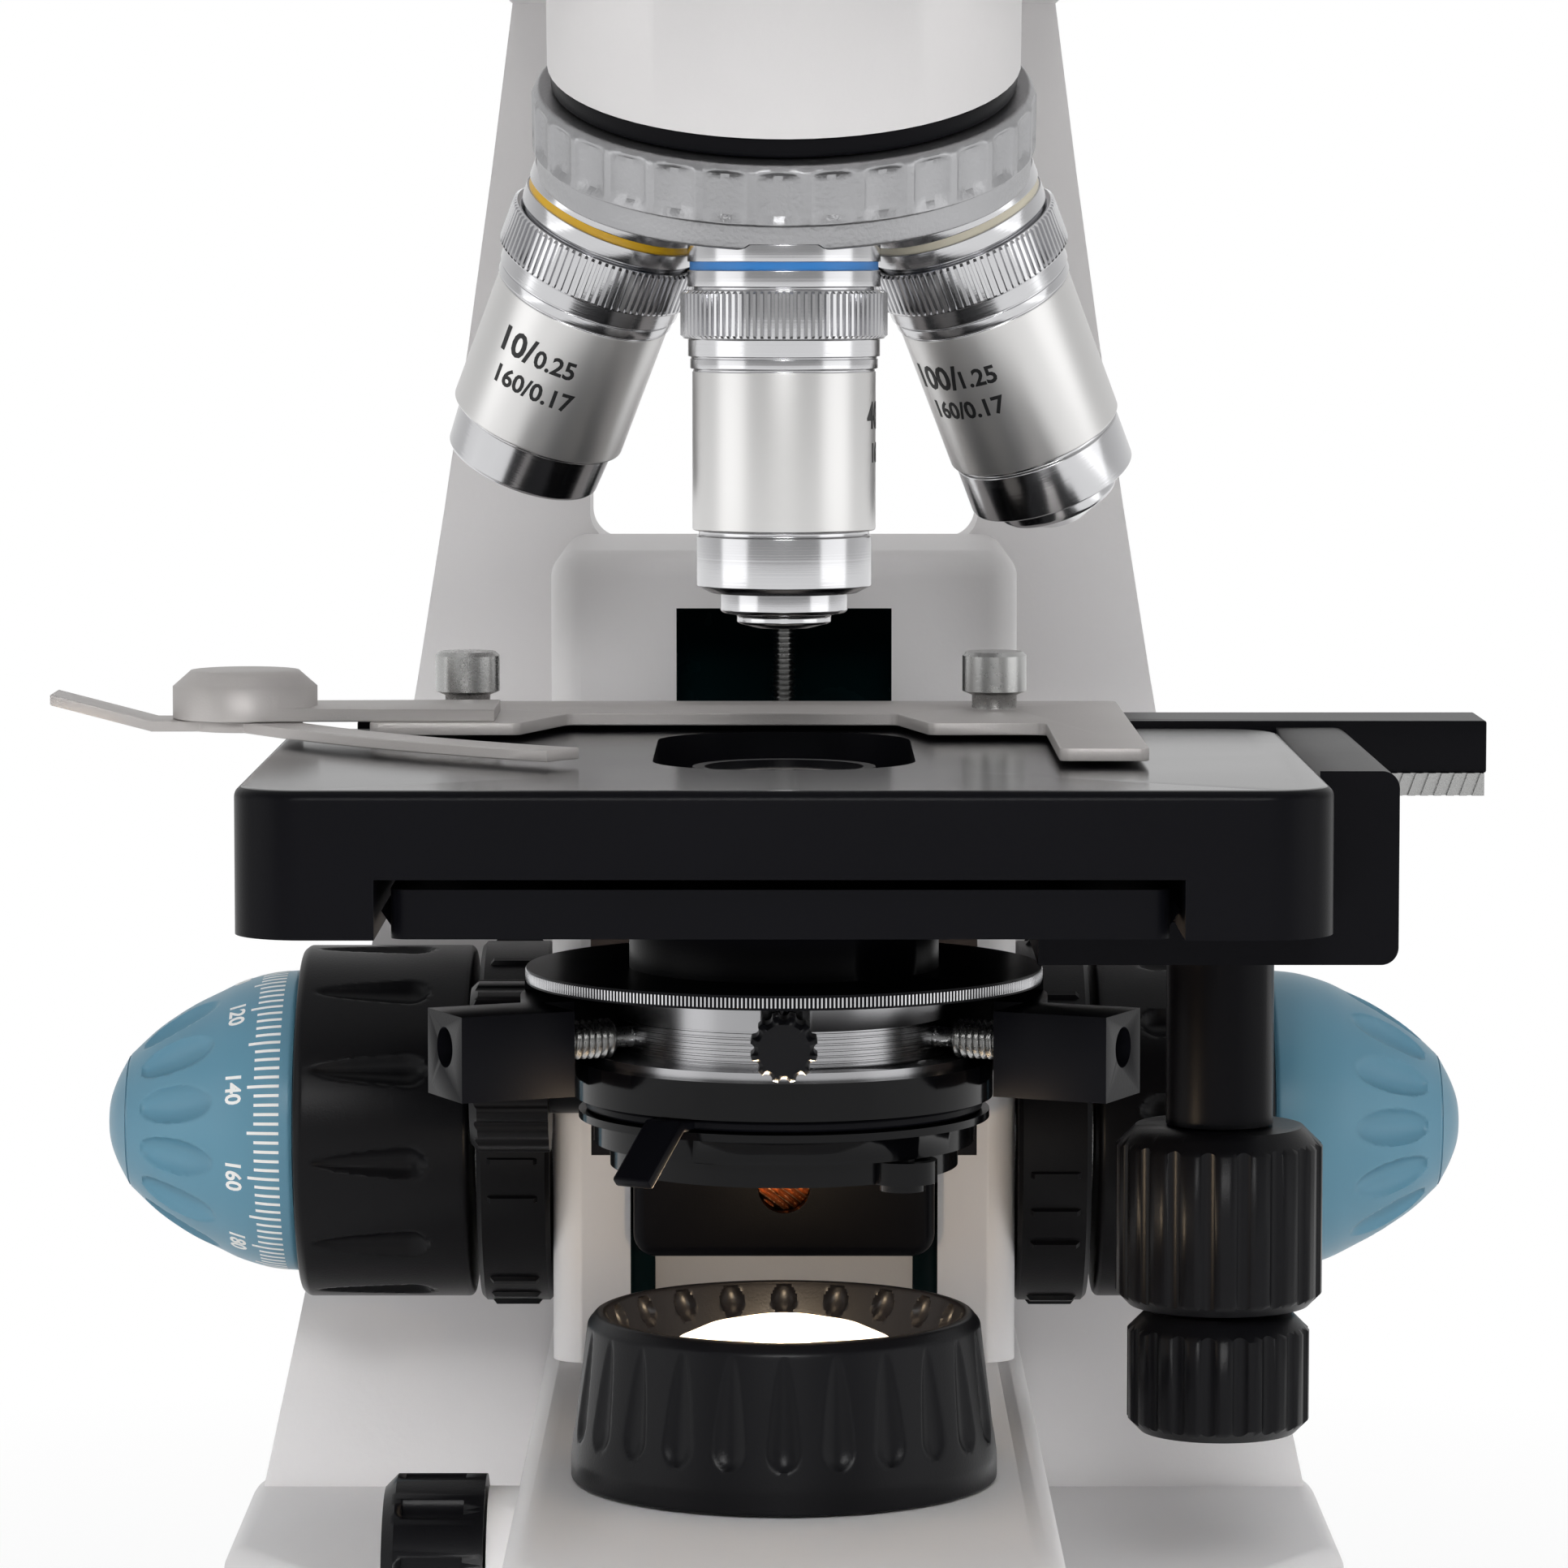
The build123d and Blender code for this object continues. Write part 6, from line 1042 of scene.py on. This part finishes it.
        ridge = rib("ridge", foot=11.7, top=12.1, width=0.62, crest=0.34, low=5.35, high=10.85)
        grip = repeat(f"grip_{power}", ridge, CHROME, self.knurl_ribs, place)
        publish(f"objective_{power}_grip", grip, CHROME, "turret")
        facing = place.to_3x3().inverted() @ Vector((0, -1, 0))
        centre = math.atan2(facing.y, facing.x) - math.radians(turn)
        surface = self.sleeve + self.print_lift

        def wrap_at(start: float, down: float) -> Wrap:
            """Map print onto the sleeve from a start along it and a distance down."""
            return lambda x, y, z: place @ polar(surface + z, centre - (start + x) / self.sleeve, down - y)

        wide = self.digit * len(mark[0]) + 0.4
        marks = (
            # text, size, start along the sleeve, height below the shoulder
            (mark[0], 4.3, self.print_left + wide / 2, line),
            (mark[1], 3.1, self.print_left + wide + 3.4, line + 0.3),
            ("160/0.17", 3.1, 0.4, line + self.line_gap),
        )
        for i, (text, size, start, down) in enumerate(marks):
            ink = printed(f"print_{power}_{i}", text, size, INK, wrap_at(start, down))
            publish(f"objective_{power}_print_{i}", ink, INK, "turret")

    def nose(self, power: str, hole: int, tail: Sequence[Corner]) -> None:
        """Sprung nose of a strong objective with its front lens.

        Args:
            power: name of the objective.
            hole: its hole in the turret.
            tail: profile from the barrel to the front lens.
        """
        corners = [(0, 26.0), (4.95, 26.0), (4.95, 40.3), (7.45, 40.3), *tail]
        bands = [(44.69, 45.0, LENS)]
        place = self.objective_frame(hole)
        mesh = lathe(f"nose_{power}", soften(corners, 0.12), place, 160, bands=bands, finish=CHROME)
        publish(f"nose_{power}_skin", mesh, CHROME, f"nose_{power}", [f"nose_{power}"])


@dataclass
class FocusDrive:
    """Coaxial focus knobs and rings on both sides of the column."""

    axis: Sequence[float] = (0.0, 97.0, 83.0)
    start: float = 64.2  # inner edge of the fine knobs
    profile: Sequence[Corner] = (
        (20.0, 0.0), (19.6, 4.0), (18.5, 7.9), (17.1, 10.9), (15.2, 14.75), (12.4, 18.9), (8.9, 22.7),
    )
    cap: Sequence[Corner] = ((8.6, 22.95), (5.7, 24.5), (2.9, 25.5), (0.0, 25.8))
    fine_dimples: int = 13
    coarse_dimples: int = 12
    rib_groups: int = 6
    rib_turn: float = 12.5  # degrees between the three ribs of a group
    ticks: int = 100
    tick_low: float = 1.7
    tick_half: float = 0.2  # half of a tick's width
    numbers: Sequence[int] = range(0, 200, 20)
    number_size: float = 2.9
    number_height: float = 7.9
    number_lift: float = 0.03
    front_number: int = 140  # the one at the scale's start angle
    scale_start: float = 20.8  # degrees
    unit_turn: float = 1.8  # degrees per unit of the scale

    def frame_of(self, side: int) -> Matrix:
        """Frame along the focus axis, with angle 0 towards the user."""
        return spindle(self.axis, (side, 0, 0), (0, -1, 0))

    def build(self) -> None:
        """Make both sides and the scale."""
        self.fine(-1, "left", 16.0)
        self.fine(1, "right", -4.0)
        knobs = joined("coarse_knobs", [self.coarse(-1, -6.0), self.coarse(1, -11.0)])
        publish("coarse_knobs_skin", knobs, MOULDED, "coarse_drive", ["coarse_knobs"])
        self.ribs(-1, "tension_ring", 5.0)
        self.ribs(1, "stop_collar", 22.0)
        self.scale()

    def radius_at(self, height: float) -> float:
        """Find the radius of a fine knob.

        Args:
            height: height above its inner edge.

        Returns:
            The radius there.
        """
        line = flowing(self.profile)
        for (r0, h0), (r1, h1) in zip(line, line[1:]):
            if h0 <= height <= h1:
                return r0 + (r1 - r0) * (height - h0) / (h1 - h0)
        return line[-1][0]

    def fine(self, side: int, name: str, first: float) -> None:
        """Bullet-shaped fine knob with oval finger dimples and an end cap.

        Args:
            side: -1 left, 1 right.
            name: side in words.
            first: angle of one dimple in degrees.
        """
        start = self.start
        dimples = Hollows(
            count=self.fine_dimples,
            level=start + 15.7,
            reach=5.0,
            half=2.5,
            depth=1.9,
            bend=0.65,
            first=math.radians(first),
        )
        shaft = [(0, -77.2), (2.0, -77.2), (2.0, start)]
        socket = [(0, start + 13.5), (2.05, start + 13.5), (2.05, start)]
        seam = [(8.75, 22.72), (8.45, 22.74), (8.45, 22.9)]
        outside = [(r, start + h) for r, h in (*flowing(self.profile)[1:], *seam, *flowing(self.cap))]
        corners = [*(shaft if side > 0 else socket), (19.7, start), *outside]
        mesh = lathe(f"fine_{name}", corners, self.frame_of(side), 416, dimples.oval, 0.5, core=8.4)
        publish(f"fine_knob_{name}_skin", mesh, TEAL, "fine_drive", [f"fine_knob_{name}"], sharp=40)

    def coarse(self, side: int, first: float) -> bpy.types.Mesh:
        """Coarse knob with long teardrop hollows, pointed outside and round inside.

        Args:
            side: -1 left, 1 right.
            first: angle of one hollow in degrees.

        Returns:
            Its mesh.
        """
        hollows = Hollows(
            count=self.coarse_dimples,
            level=61.4,
            reach=14.8,
            half=2.5,
            depth=1.5,
            bend=0.82,
            first=math.radians(first),
        )
        corners = [(4.02, 41.0), (22.8, 41.0), (23.35, 41.5), (23.35, 63.0), (22.6, 63.9), (4.02, 63.9)]
        place = self.frame_of(side)
        return lathe("coarse", soften(corners, 0.4), place, 480, hollows.teardrop, 0.55, core=20.0)

    def ribs(self, side: int, ring: str, first: float) -> None:
        """Ring with six groups of three grip ribs.

        Args:
            side: -1 left, 1 right.
            ring: node of the ring.
            first: degrees below the user's direction of a group's middle.
        """
        dress(ring, MOULDED)
        one = rib("one", foot=23.8, top=24.5, width=1.1, crest=0.7, low=32.0, high=38.7)
        group = repeat("group", one, MOULDED, 3, Matrix.Identity(4), math.radians(self.rib_turn))
        place = self.frame_of(side) @ Matrix.Rotation(math.radians(side * first - self.rib_turn), 4, "Z")
        grips = repeat(f"{ring}_ribs", group, MOULDED, self.rib_groups, place)
        publish(f"{ring}_ribs", grips, MOULDED, BODY_OF[ring])

    def scale(self) -> None:
        """White scale with numbers on the left fine knob."""
        knob = self.frame_of(-1)
        place = knob @ Matrix.Rotation(math.radians(self.scale_start), 4, "Z")
        half, runs = self.tick_half, 6
        root = -0.2  # sunk into the knob
        # name, outer end, count, height above the knob
        kinds = (("short", 5.0, self.ticks, 0.03), ("long", 5.9, self.ticks // 5, 0.04))
        for name, end, count, lift in kinds:
            sections = []
            for k in range(runs + 1):
                height = self.tick_low + (end - self.tick_low) * k / runs
                foot, z = self.radius_at(height), self.start + height
                corners = ((root, -half), (lift, -half), (lift, half), (root, half))
                sections.append([(foot + out, y, z) for out, y in corners])
            marks = repeat(f"ticks_{name}", bar(name, sections), WHITE_INK, count, place)
            publish(f"fine_scale_{name}", marks, WHITE_INK, "fine_drive")
        numbers = []
        for number in self.numbers:
            angle = math.radians(self.scale_start - (number - self.front_number) * self.unit_turn)

            def wrap(x: float, y: float, z: float, angle: float = angle) -> Vector:
                """Lay the numbers round the knob, their tops towards the ticks."""
                foot, height = self.radius_at(self.number_height - y), self.start + (self.number_height - y)
                return knob @ polar(foot + self.number_lift + z, angle - x / foot, height)

            ink = printed(f"number_{number}", str(number), self.number_size, WHITE_INK, wrap, slices=0.6)
            numbers.append(ink)
        publish("fine_scale_numbers", joined("numbers", numbers), WHITE_INK, "fine_drive")


@dataclass
class Lamp:
    """Lit lens in its focusing ring on the nose of the base."""

    # Teardrops of the grip
    outer: Hollows = Hollows(count=24, level=72.4, reach=13.0, half=2.2, depth=0.8, bend=0.8)
    # Ovals of the inner cone
    inner: Hollows = Hollows(count=20, level=71.8, reach=1.8, half=1.45, depth=-1.1, bend=0.5)
    cone_radius: float = 21.0  # greatest radius of the inner cone's ovals

    def hollowed(self, angle: float, height: float, radius: float) -> float:
        """Radius with teardrops round the outside and small ovals round the inner cone."""
        return (self.inner.oval if radius < self.cone_radius else self.outer.teardrop)(angle, height, radius)

    def build(self) -> None:
        """Make the ring and the lens."""
        dome = [
            (0, 62.0), (16.5, 62.0), (16.5, 65.0), (15.0, 68.4), (12.6, 70.4), (9.5, 71.8),
            (5.0, 72.8), (0, 73.1),
        ]
        lens = lathe("collector_lens", dome, UPRIGHT, 128, bands=[(60.0, 69.2, LIT_RIM)], finish=LIT_LENS)
        publish("collector_lens_skin", lens, LIT_LENS, "stand", ["collector_lens"], sharp=60)
        corners = [
            (19.0, 54.3), (25.2, 54.3), (25.2, 57.0), (23.2, 72.7), (22.2, 73.9), (21.2, 73.9),
            (18.2, 66.6), (17.2, 66.6), (17.2, 65.3), (19.0, 65.3),
        ]
        mesh = lathe("collector", soften(corners, 0.35), FACING, 560, self.hollowed, 0.4)
        publish("collector_ring_skin", mesh, MOULDED, BODY_OF["collector_ring"], ["collector_ring"])


@dataclass
class Condenser:
    """Bright trim and screws of the condenser."""

    knurl_ribs: int = 400
    rings: int = 6
    ring_pitch: float = 0.7
    ring_low: float = 105.3
    screw_angles: Sequence[float] = (-25.0, 205.0)  # degrees
    screw_height: float = 107.6
    screw_turns: int = 20
    screw_pitch: float = 0.79
    clamp_height: float = 109.15
    # Round flutes along the whole head
    clamp_flutes: Hollows = Hollows(count=12, level=0.0, reach=math.inf, half=0.62, depth=0.5, bend=0.5)

    def build(self) -> None:
        """Knurl the flange, turn rings on the barrel and make the screws."""
        ridge = rib("ridge", foot=30.25, top=30.42, width=0.38, crest=0.18, low=113.45, high=114.85)
        knurl = repeat("flange_knurl", ridge, CHROME, self.knurl_ribs, FACING)
        publish("flange_knurl", knurl, CHROME, "condenser")
        ring = [(19.72, 0.05), (19.72, 0.45), (19.62, 0.5), (19.62, 0.68)]
        rings = threads(self.ring_low, self.ring_pitch, self.rings, ring)
        corners = [(19.3, self.ring_low), *rings, (19.3, 109.6)]
        publish("condenser_barrel_rings", lathe("barrel_rings", corners, FACING, 240), BARREL, "condenser")
        self.centring_screws()
        self.clamp()

    def centring_screws(self) -> None:
        """Two threaded steel screws between the lugs and the barrel."""
        turn = [(1.92, 0), (2.3, 0.36), (2.3, 0.46)]
        tip = [(0, 19.65), (1.2, 19.65), (1.2, 22.2)]
        corners = [*tip, *threads(22.2, self.screw_pitch, self.screw_turns, turn), (1.92, 38.0), (0, 38.0)]
        screws = []
        for angle in self.screw_angles:
            place = spindle((0, 0, self.screw_height), polar(1, math.radians(angle), 0), (0, 0, 1))
            screws.append(lathe("screw", corners, place, 64))
        node = "centring_screws"
        publish(f"{node}_skin", joined("screws", screws), STEEL, BODY_OF[node], [node], sharp=20)

    def clamp(self) -> None:
        """Black thumbscrew with a scalloped head."""
        corners = [(0, 16.0), (2.0, 16.0), (2.0, 28.0), (3.85, 28.0), (3.85, 32.3), (3.2, 33.0), (0, 33.0)]
        place = spindle((0, 0, self.clamp_height), (0, -1, 0))
        head = lathe("clamp", soften(corners, 0.3), place, 240, self.clamp_flutes.oval, core=3.0)
        publish("clamp_screw_skin", head, MOULDED, BODY_OF["clamp_screw"], ["clamp_screw"])


@dataclass
class Column:
    """Focus column with painted shade inside its slot, the stop rod and the gear."""

    rod_low: float = 135.8
    rod_high: float = 155.6
    rod_y: float = 87.0
    rod_pitch: float = 0.7  # stretched a little to fill the rod
    slot_half: float = 20.1
    slot_y: Sequence[float] = (76.6, 112.0)
    slot_z: Sequence[float] = (54.5, 153.0)
    hole: Sequence[float] = (0.0, 70.0, 78.0)
    gear_half: float = 3.3
    gear_cells: int = 60
    gear_slant: float = -38.0  # degrees that the teeth slant
    gear_back: float = 2.6  # way from the hole's edge to the foot of the teeth
    gear_thick: float = 3.0
    teeth: float = 1.05  # millimetres from tooth to tooth
    tooth_height: float = 0.5
    tooth_flank: float = 2.4  # steepness of the teeth's flanks
    gear_bow: float = 0.06  # how fast the face falls back above and below its middle

    def build(self) -> None:
        """Dress the column and make the rod and the gear."""
        # The faces inside the slot get painted shade and a painted teal reflection
        dress("focus_column", ENAMEL, SLOT_SHADE, self.in_slot)
        self.thread()
        self.gear()

    def in_slot(self, spot: Vector, normal: Vector) -> bool:
        """Tell whether a face with this middle lies in the slot, where the shade is painted."""
        (front, back), (low, high) = self.slot_y, self.slot_z
        return abs(spot.x) < self.slot_half and low < spot.z < high and front < spot.y < back

    def thread(self) -> None:
        """Threaded stop rod behind the slot."""
        turns = int((self.rod_high - self.rod_low) / self.rod_pitch)
        pitch = (self.rod_high - self.rod_low) / turns
        turn = [(1.22, 0), (1.5, 0.35 * pitch), (1.5, 0.6 * pitch)]
        rod = threads(self.rod_low, pitch, turns, turn)
        corners = [(0, self.rod_low), *rod, (1.22, self.rod_high), (0, self.rod_high)]
        mesh = lathe("stop_rod", corners, spindle((0, self.rod_y, 0), (0, 0, 1)), 48)
        publish("stop_rod_skin", mesh, STEEL, "stand", ["stop_rod"], sharp=20)

    def gear(self) -> None:
        """Face of the bronze gear that shows in the carrier's hole, with its slanting teeth."""
        bm = bmesh.new()
        cells = self.gear_cells
        made = bmesh.ops.create_grid(bm, x_segments=cells, y_segments=cells, size=self.gear_half)
        slope = math.radians(self.gear_slant)
        for vert in made["verts"]:
            x, z = vert.co.x, vert.co.y
            # Draw the square grid in to a disc.
            reach = max(abs(x), abs(z)) / max(math.hypot(x, z), 1e-6)
            x, z = x * reach, z * reach
            wave = ((z * math.cos(slope) - x * math.sin(slope)) / self.teeth) % 1.0
            lift = self.tooth_height * min(1.0, self.tooth_flank * min(wave, 1 - wave))
            depth = self.gear_back - lift + self.gear_bow * z * z
            vert.co = (Vector(self.hole) + Vector((x, depth, z))) * MM
        skirt = bmesh.ops.extrude_edge_only(bm, edges=[edge for edge in bm.edges if edge.is_boundary])
        for item in skirt["geom"]:
            if isinstance(item, bmesh.types.BMVert):
                item.co.y += self.gear_thick * MM
        bmesh.ops.holes_fill(bm, edges=bm.edges, sides=0)
        publish("focus_gear_face", mesh_from(bm, "gear"), BRASS, BODY_OF["stage_carrier"], sharp=20)


@dataclass
class Stage:
    """Moving top plate of the stage, rubbed bright on top."""

    upward: float = 0.9  # least upward share of a rubbed face's normal

    def build(self) -> None:
        """Dress the plate, with more sheen on its top."""
        dress("stage_upper_plate", ANODISED, RUBBED, lambda spot, normal: normal.z > self.upward)


@dataclass
class Head:
    """Viewing head with its hinge pin, and the two eyepieces."""

    pitch: float = 30.0  # degrees
    hinge: Sequence[float] = (0.0, -58.0, 296.0)
    pin: float = 6.2
    half_spacing: float = 31.0
    tube_up: float = 21.1

    def along(self) -> Vector:
        """Direction of the tubes, towards the eyes."""
        return Vector((0, -math.cos(math.radians(self.pitch)), math.sin(math.radians(self.pitch))))

    def on_pin(self, spot: Vector, normal: Vector) -> bool:
        """Tell whether a face belongs to the hinge pin.

        Args:
            spot: middle of the face in millimetres.
            normal: its normal, not needed here.

        Returns:
            Whether it stands before the hinge and near its line.
        """
        way = spot - Vector(self.hinge)
        ahead = way.dot(self.along())
        return ahead > 0 and (way - self.along() * ahead).length < self.pin

    def build(self) -> None:
        """Make the body and both eyepieces."""
        dress("head_body", ENAMEL, STEEL, self.on_pin)
        lean = math.radians(self.pitch)
        up = Vector((0, math.sin(lean), math.cos(lean)))
        for side, name in ((-1, "left"), (1, "right")):
            foot = Vector(self.hinge) + Vector((side * self.half_spacing, 0, 0)) + up * self.tube_up
            self.eyepiece(name, spindle(foot, self.along()))

    def eyepiece(self, name: str, place: Matrix) -> None:
        """Eyepiece with a rubber cup and a coated eye lens.

        Args:
            name: side in words.
            place: frame of its tube.
        """
        node = f"eyepiece_{name}"
        corners = [
            (0, 40.0), (11.55, 40.0), (11.55, 62.0), (16.0, 62.0), (17.0, 65.0), (17.0, 76.0), (14.0, 92.6),
            (15.5, 100.6), (17.0, 108.6), (15.0, 108.6), (11.55, 101.6), (0, 101.6),
        ]
        mesh = lathe(node, soften(corners, 0.8), place, 160, bands=[(91.0, 109.0, RUBBER)], finish=MOULDED)
        publish(f"{node}_skin", mesh, MOULDED, BODY_OF[node], [node])
        dome = [(0, 101.4), (9.6, 101.4), (9.6, 102.0), (8.2, 102.7), (5.0, 103.2), (2.5, 103.4), (0, 103.45)]
        publish(f"{node}_lens", lathe("eye_lens", dome, place, 96), LENS, BODY_OF[node], sharp=50)


@dataclass
class Plain:
    """Solids that keep their shape and get a smooth skin."""

    def build(self) -> None:
        """Dress each solid that no other class makes."""
        for node, finish in FINISHES.items():
            dress(node, finish)


@dataclass
class Studio:
    """Plain pale room: floor, soft boxes and the camera."""

    eye: Sequence[float] = (0.0, -735.5, 200.0)
    pitch: float = 4.943  # degrees that the camera looks down
    lens: float = 144.4  # millimetres on the sensor below
    sensor: float = 36.0
    front_light: float = 0.36  # room light from the front
    back_light: float = 0.8  # room light from behind
    front_share: float = -0.6  # Y of a direction that gets the light from the front only
    back_share: float = 0.9  # Y of a direction that gets the light from behind only
    floor_half: float = 3000.0
    shadow_near: float = 160.0  # out to here the floor shows the most shadow
    shadow_far: float = 360.0  # from here on it is plain white
    shadow_white: float = 0.82  # share of plain white where it shows the most
    lamp_colour: str = "#FFE2BC"
    beam_size: float = 26.0
    beam_height: float = 74.2
    beam_watts: float = 1.2
    beam_spread: float = 110.0  # degrees
    halo_size: float = 3.0
    halo_height: float = 78.0
    halo_watts: float = 0.05
    boxes: Sequence[tuple] = (
        # name, place, aim, width, height, watts, spread in degrees
        ("left_box", (-900, -350, 220), (0, 0, 80), 700, 700, 1.4, 180),
        ("right_box", (900, -350, 220), (0, 0, 80), 700, 700, 1.4, 180),
        ("top_box", (0, -150, 1100), (0, 20, 150), 900, 700, 0.5, 180),
        ("front_box", (0, -1050, 560), (0, 0, 20), 700, 200, 0.3, 26),
        ("low_box", (0, -330, 16), (0, 0, 50), 500, 28, 0.40, 180),
    )

    def build(self) -> None:
        """Make the floor, the lights, the world and the camera."""
        self.floor()
        self.world()
        for box in self.boxes:
            self.soft_box(*box)
        self.lamp_light()
        self.camera()

    def floor(self) -> None:
        """Pale floor that stays white to the camera and keeps a soft shadow."""
        half = self.floor_half * MM
        mesh = bpy.data.meshes.new("floor")
        corners = [(-half, -half, 0), (half, -half, 0), (half, half, 0), (-half, half, 0)]
        mesh.from_pydata(corners, [], [(0, 1, 2, 3)])
        plane = linked("floor", mesh)
        paint = bpy.data.materials.new("pale_floor")
        paint.use_nodes = True
        tree = paint.node_tree
        shader = tree.nodes["Principled BSDF"]
        shader.inputs["Base Color"].default_value = linear("#F4F4F4")
        shader.inputs["Roughness"].default_value = 0.8
        shader.inputs["Specular IOR Level"].default_value = 0.0
        path = add_node(tree, "ShaderNodeLightPath", {}, {}).outputs
        rays = {0: path["Is Camera Ray"], 1: path["Is Glossy Ray"]}
        seen = add_node(tree, "ShaderNodeMath", {"operation": "MAXIMUM"}, rays)
        where = add_node(tree, "ShaderNodeTexCoord", {}, {}).outputs["Object"]
        away = add_node(tree, "ShaderNodeVectorMath", {"operation": "LENGTH"}, {0: where})
        near, far = self.shadow_near * MM, self.shadow_far * MM
        fade = {"in:1": near, "in:2": far, "in:3": self.shadow_white, "in:4": 1.0}
        share = add_node(tree, "ShaderNodeMapRange", fade, {0: away.outputs["Value"]})
        both = {0: seen.outputs[0], 1: share.outputs[0]}
        part = add_node(tree, "ShaderNodeMath", {"operation": "MULTIPLY"}, both)
        white = add_node(tree, "ShaderNodeEmission", {"in:Color": (1, 1, 1, 1), "in:Strength": 1.0}, {})
        layers = {0: part.outputs[0], 1: shader.outputs[0], 2: white.outputs[0]}
        mixed = add_node(tree, "ShaderNodeMixShader", {}, layers)
        tree.links.new(mixed.outputs[0], tree.nodes["Material Output"].inputs["Surface"])
        mesh.materials.append(paint)

    def world(self) -> None:
        """Even room light, white where the camera sees it."""
        room = bpy.data.worlds.new("room")
        room.use_nodes = True
        tree = room.node_tree
        glow = tree.nodes["Background"].inputs
        path = add_node(tree, "ShaderNodeLightPath", {}, {}).outputs
        rays = {0: path["Is Camera Ray"], 1: path["Is Transmission Ray"]}
        seen = add_node(tree, "ShaderNodeMath", {"operation": "MAXIMUM"}, rays)
        where = add_node(tree, "ShaderNodeTexCoord", {}, {}).outputs["Generated"]
        split = add_node(tree, "ShaderNodeSeparateXYZ", {}, {0: where})
        ends = {"in:1": self.front_share, "in:2": self.back_share}
        fade = {**ends, "in:3": self.front_light, "in:4": self.back_light}
        room_light = add_node(tree, "ShaderNodeMapRange", fade, {0: split.outputs["Y"]})
        both = {0: room_light.outputs[0], 1: seen.outputs[0]}
        level = add_node(tree, "ShaderNodeMath", {"operation": "MAXIMUM"}, both)
        glow["Color"].default_value = (1, 1, 1, 1)
        tree.links.new(level.outputs[0], glow["Strength"])
        bpy.context.scene.world = room

    def soft_box(
        self,
        name: str,
        place: Sequence[float],
        aim: Sequence[float],
        wide: float,
        high: float,
        watts: float,
        spread: float,
    ) -> None:
        """Hang one soft box.

        Args:
            name: light name.
            place: centre in millimetres.
            aim: point that it faces.
            wide: width in millimetres.
            high: height in millimetres.
            watts: power.
            spread: opening of its honeycomb in degrees, 180 for none.
        """
        light = bpy.data.lights.new(name, "AREA")
        light.spread = math.radians(spread)
        light.shape = "RECTANGLE"
        light.size, light.size_y = wide * MM, high * MM
        light.energy = watts
        lamp = linked(name, light)
        lamp.location = Vector(place) * MM
        lamp.visible_camera = False
        lamp.visible_glossy = name != "low_box"  # a fill light, kept out of the bright metal
        lamp.rotation_euler = (Vector(aim) - Vector(place)).to_track_quat("-Z", "Y").to_euler()

    def lamp_light(self) -> None:
        """Warm beam and halo that leave the lamp's lens and glint on the condenser."""
        beam = bpy.data.lights.new("lamp_beam", "AREA")
        beam.shape = "DISK"
        beam.size, beam.energy = self.beam_size * MM, self.beam_watts
        beam.spread = math.radians(self.beam_spread)
        halo = bpy.data.lights.new("lamp_halo", "POINT")
        halo.shadow_soft_size, halo.energy = self.halo_size * MM, self.halo_watts
        for light, height, turn in ((beam, self.beam_height, math.pi), (halo, self.halo_height, 0.0)):
            light.color = linear(self.lamp_colour)[:3]
            lamp = linked(light.name, light)
            lamp.location = (0, 0, height * MM)
            lamp.rotation_euler = (turn, 0, 0)
            lamp.visible_camera = False

    def camera(self) -> None:
        """Camera at the photograph's viewing angle."""
        view = bpy.data.cameras.new("camera")
        view.lens, view.sensor_width = self.lens, self.sensor
        view.clip_start, view.clip_end = 0.01, 50.0
        rig = linked("camera", view)
        rig.location = Vector(self.eye) * MM
        rig.rotation_euler = (math.radians(90 - self.pitch), 0, 0)
        bpy.context.scene.camera = rig


def main() -> None:
    """Build every sub-assembly in order."""
    logging.basicConfig(level=logging.INFO, format="%(name)s: %(message)s")
    bpy.context.scene.view_settings.view_transform = "Standard"
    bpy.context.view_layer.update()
    kinds = (Studio, Nosepiece, FocusDrive, Lamp, Condenser, Column, Stage, Head, Plain)
    for kind in kinds:
        kind().build()


if __name__ == "__main__":
    main()
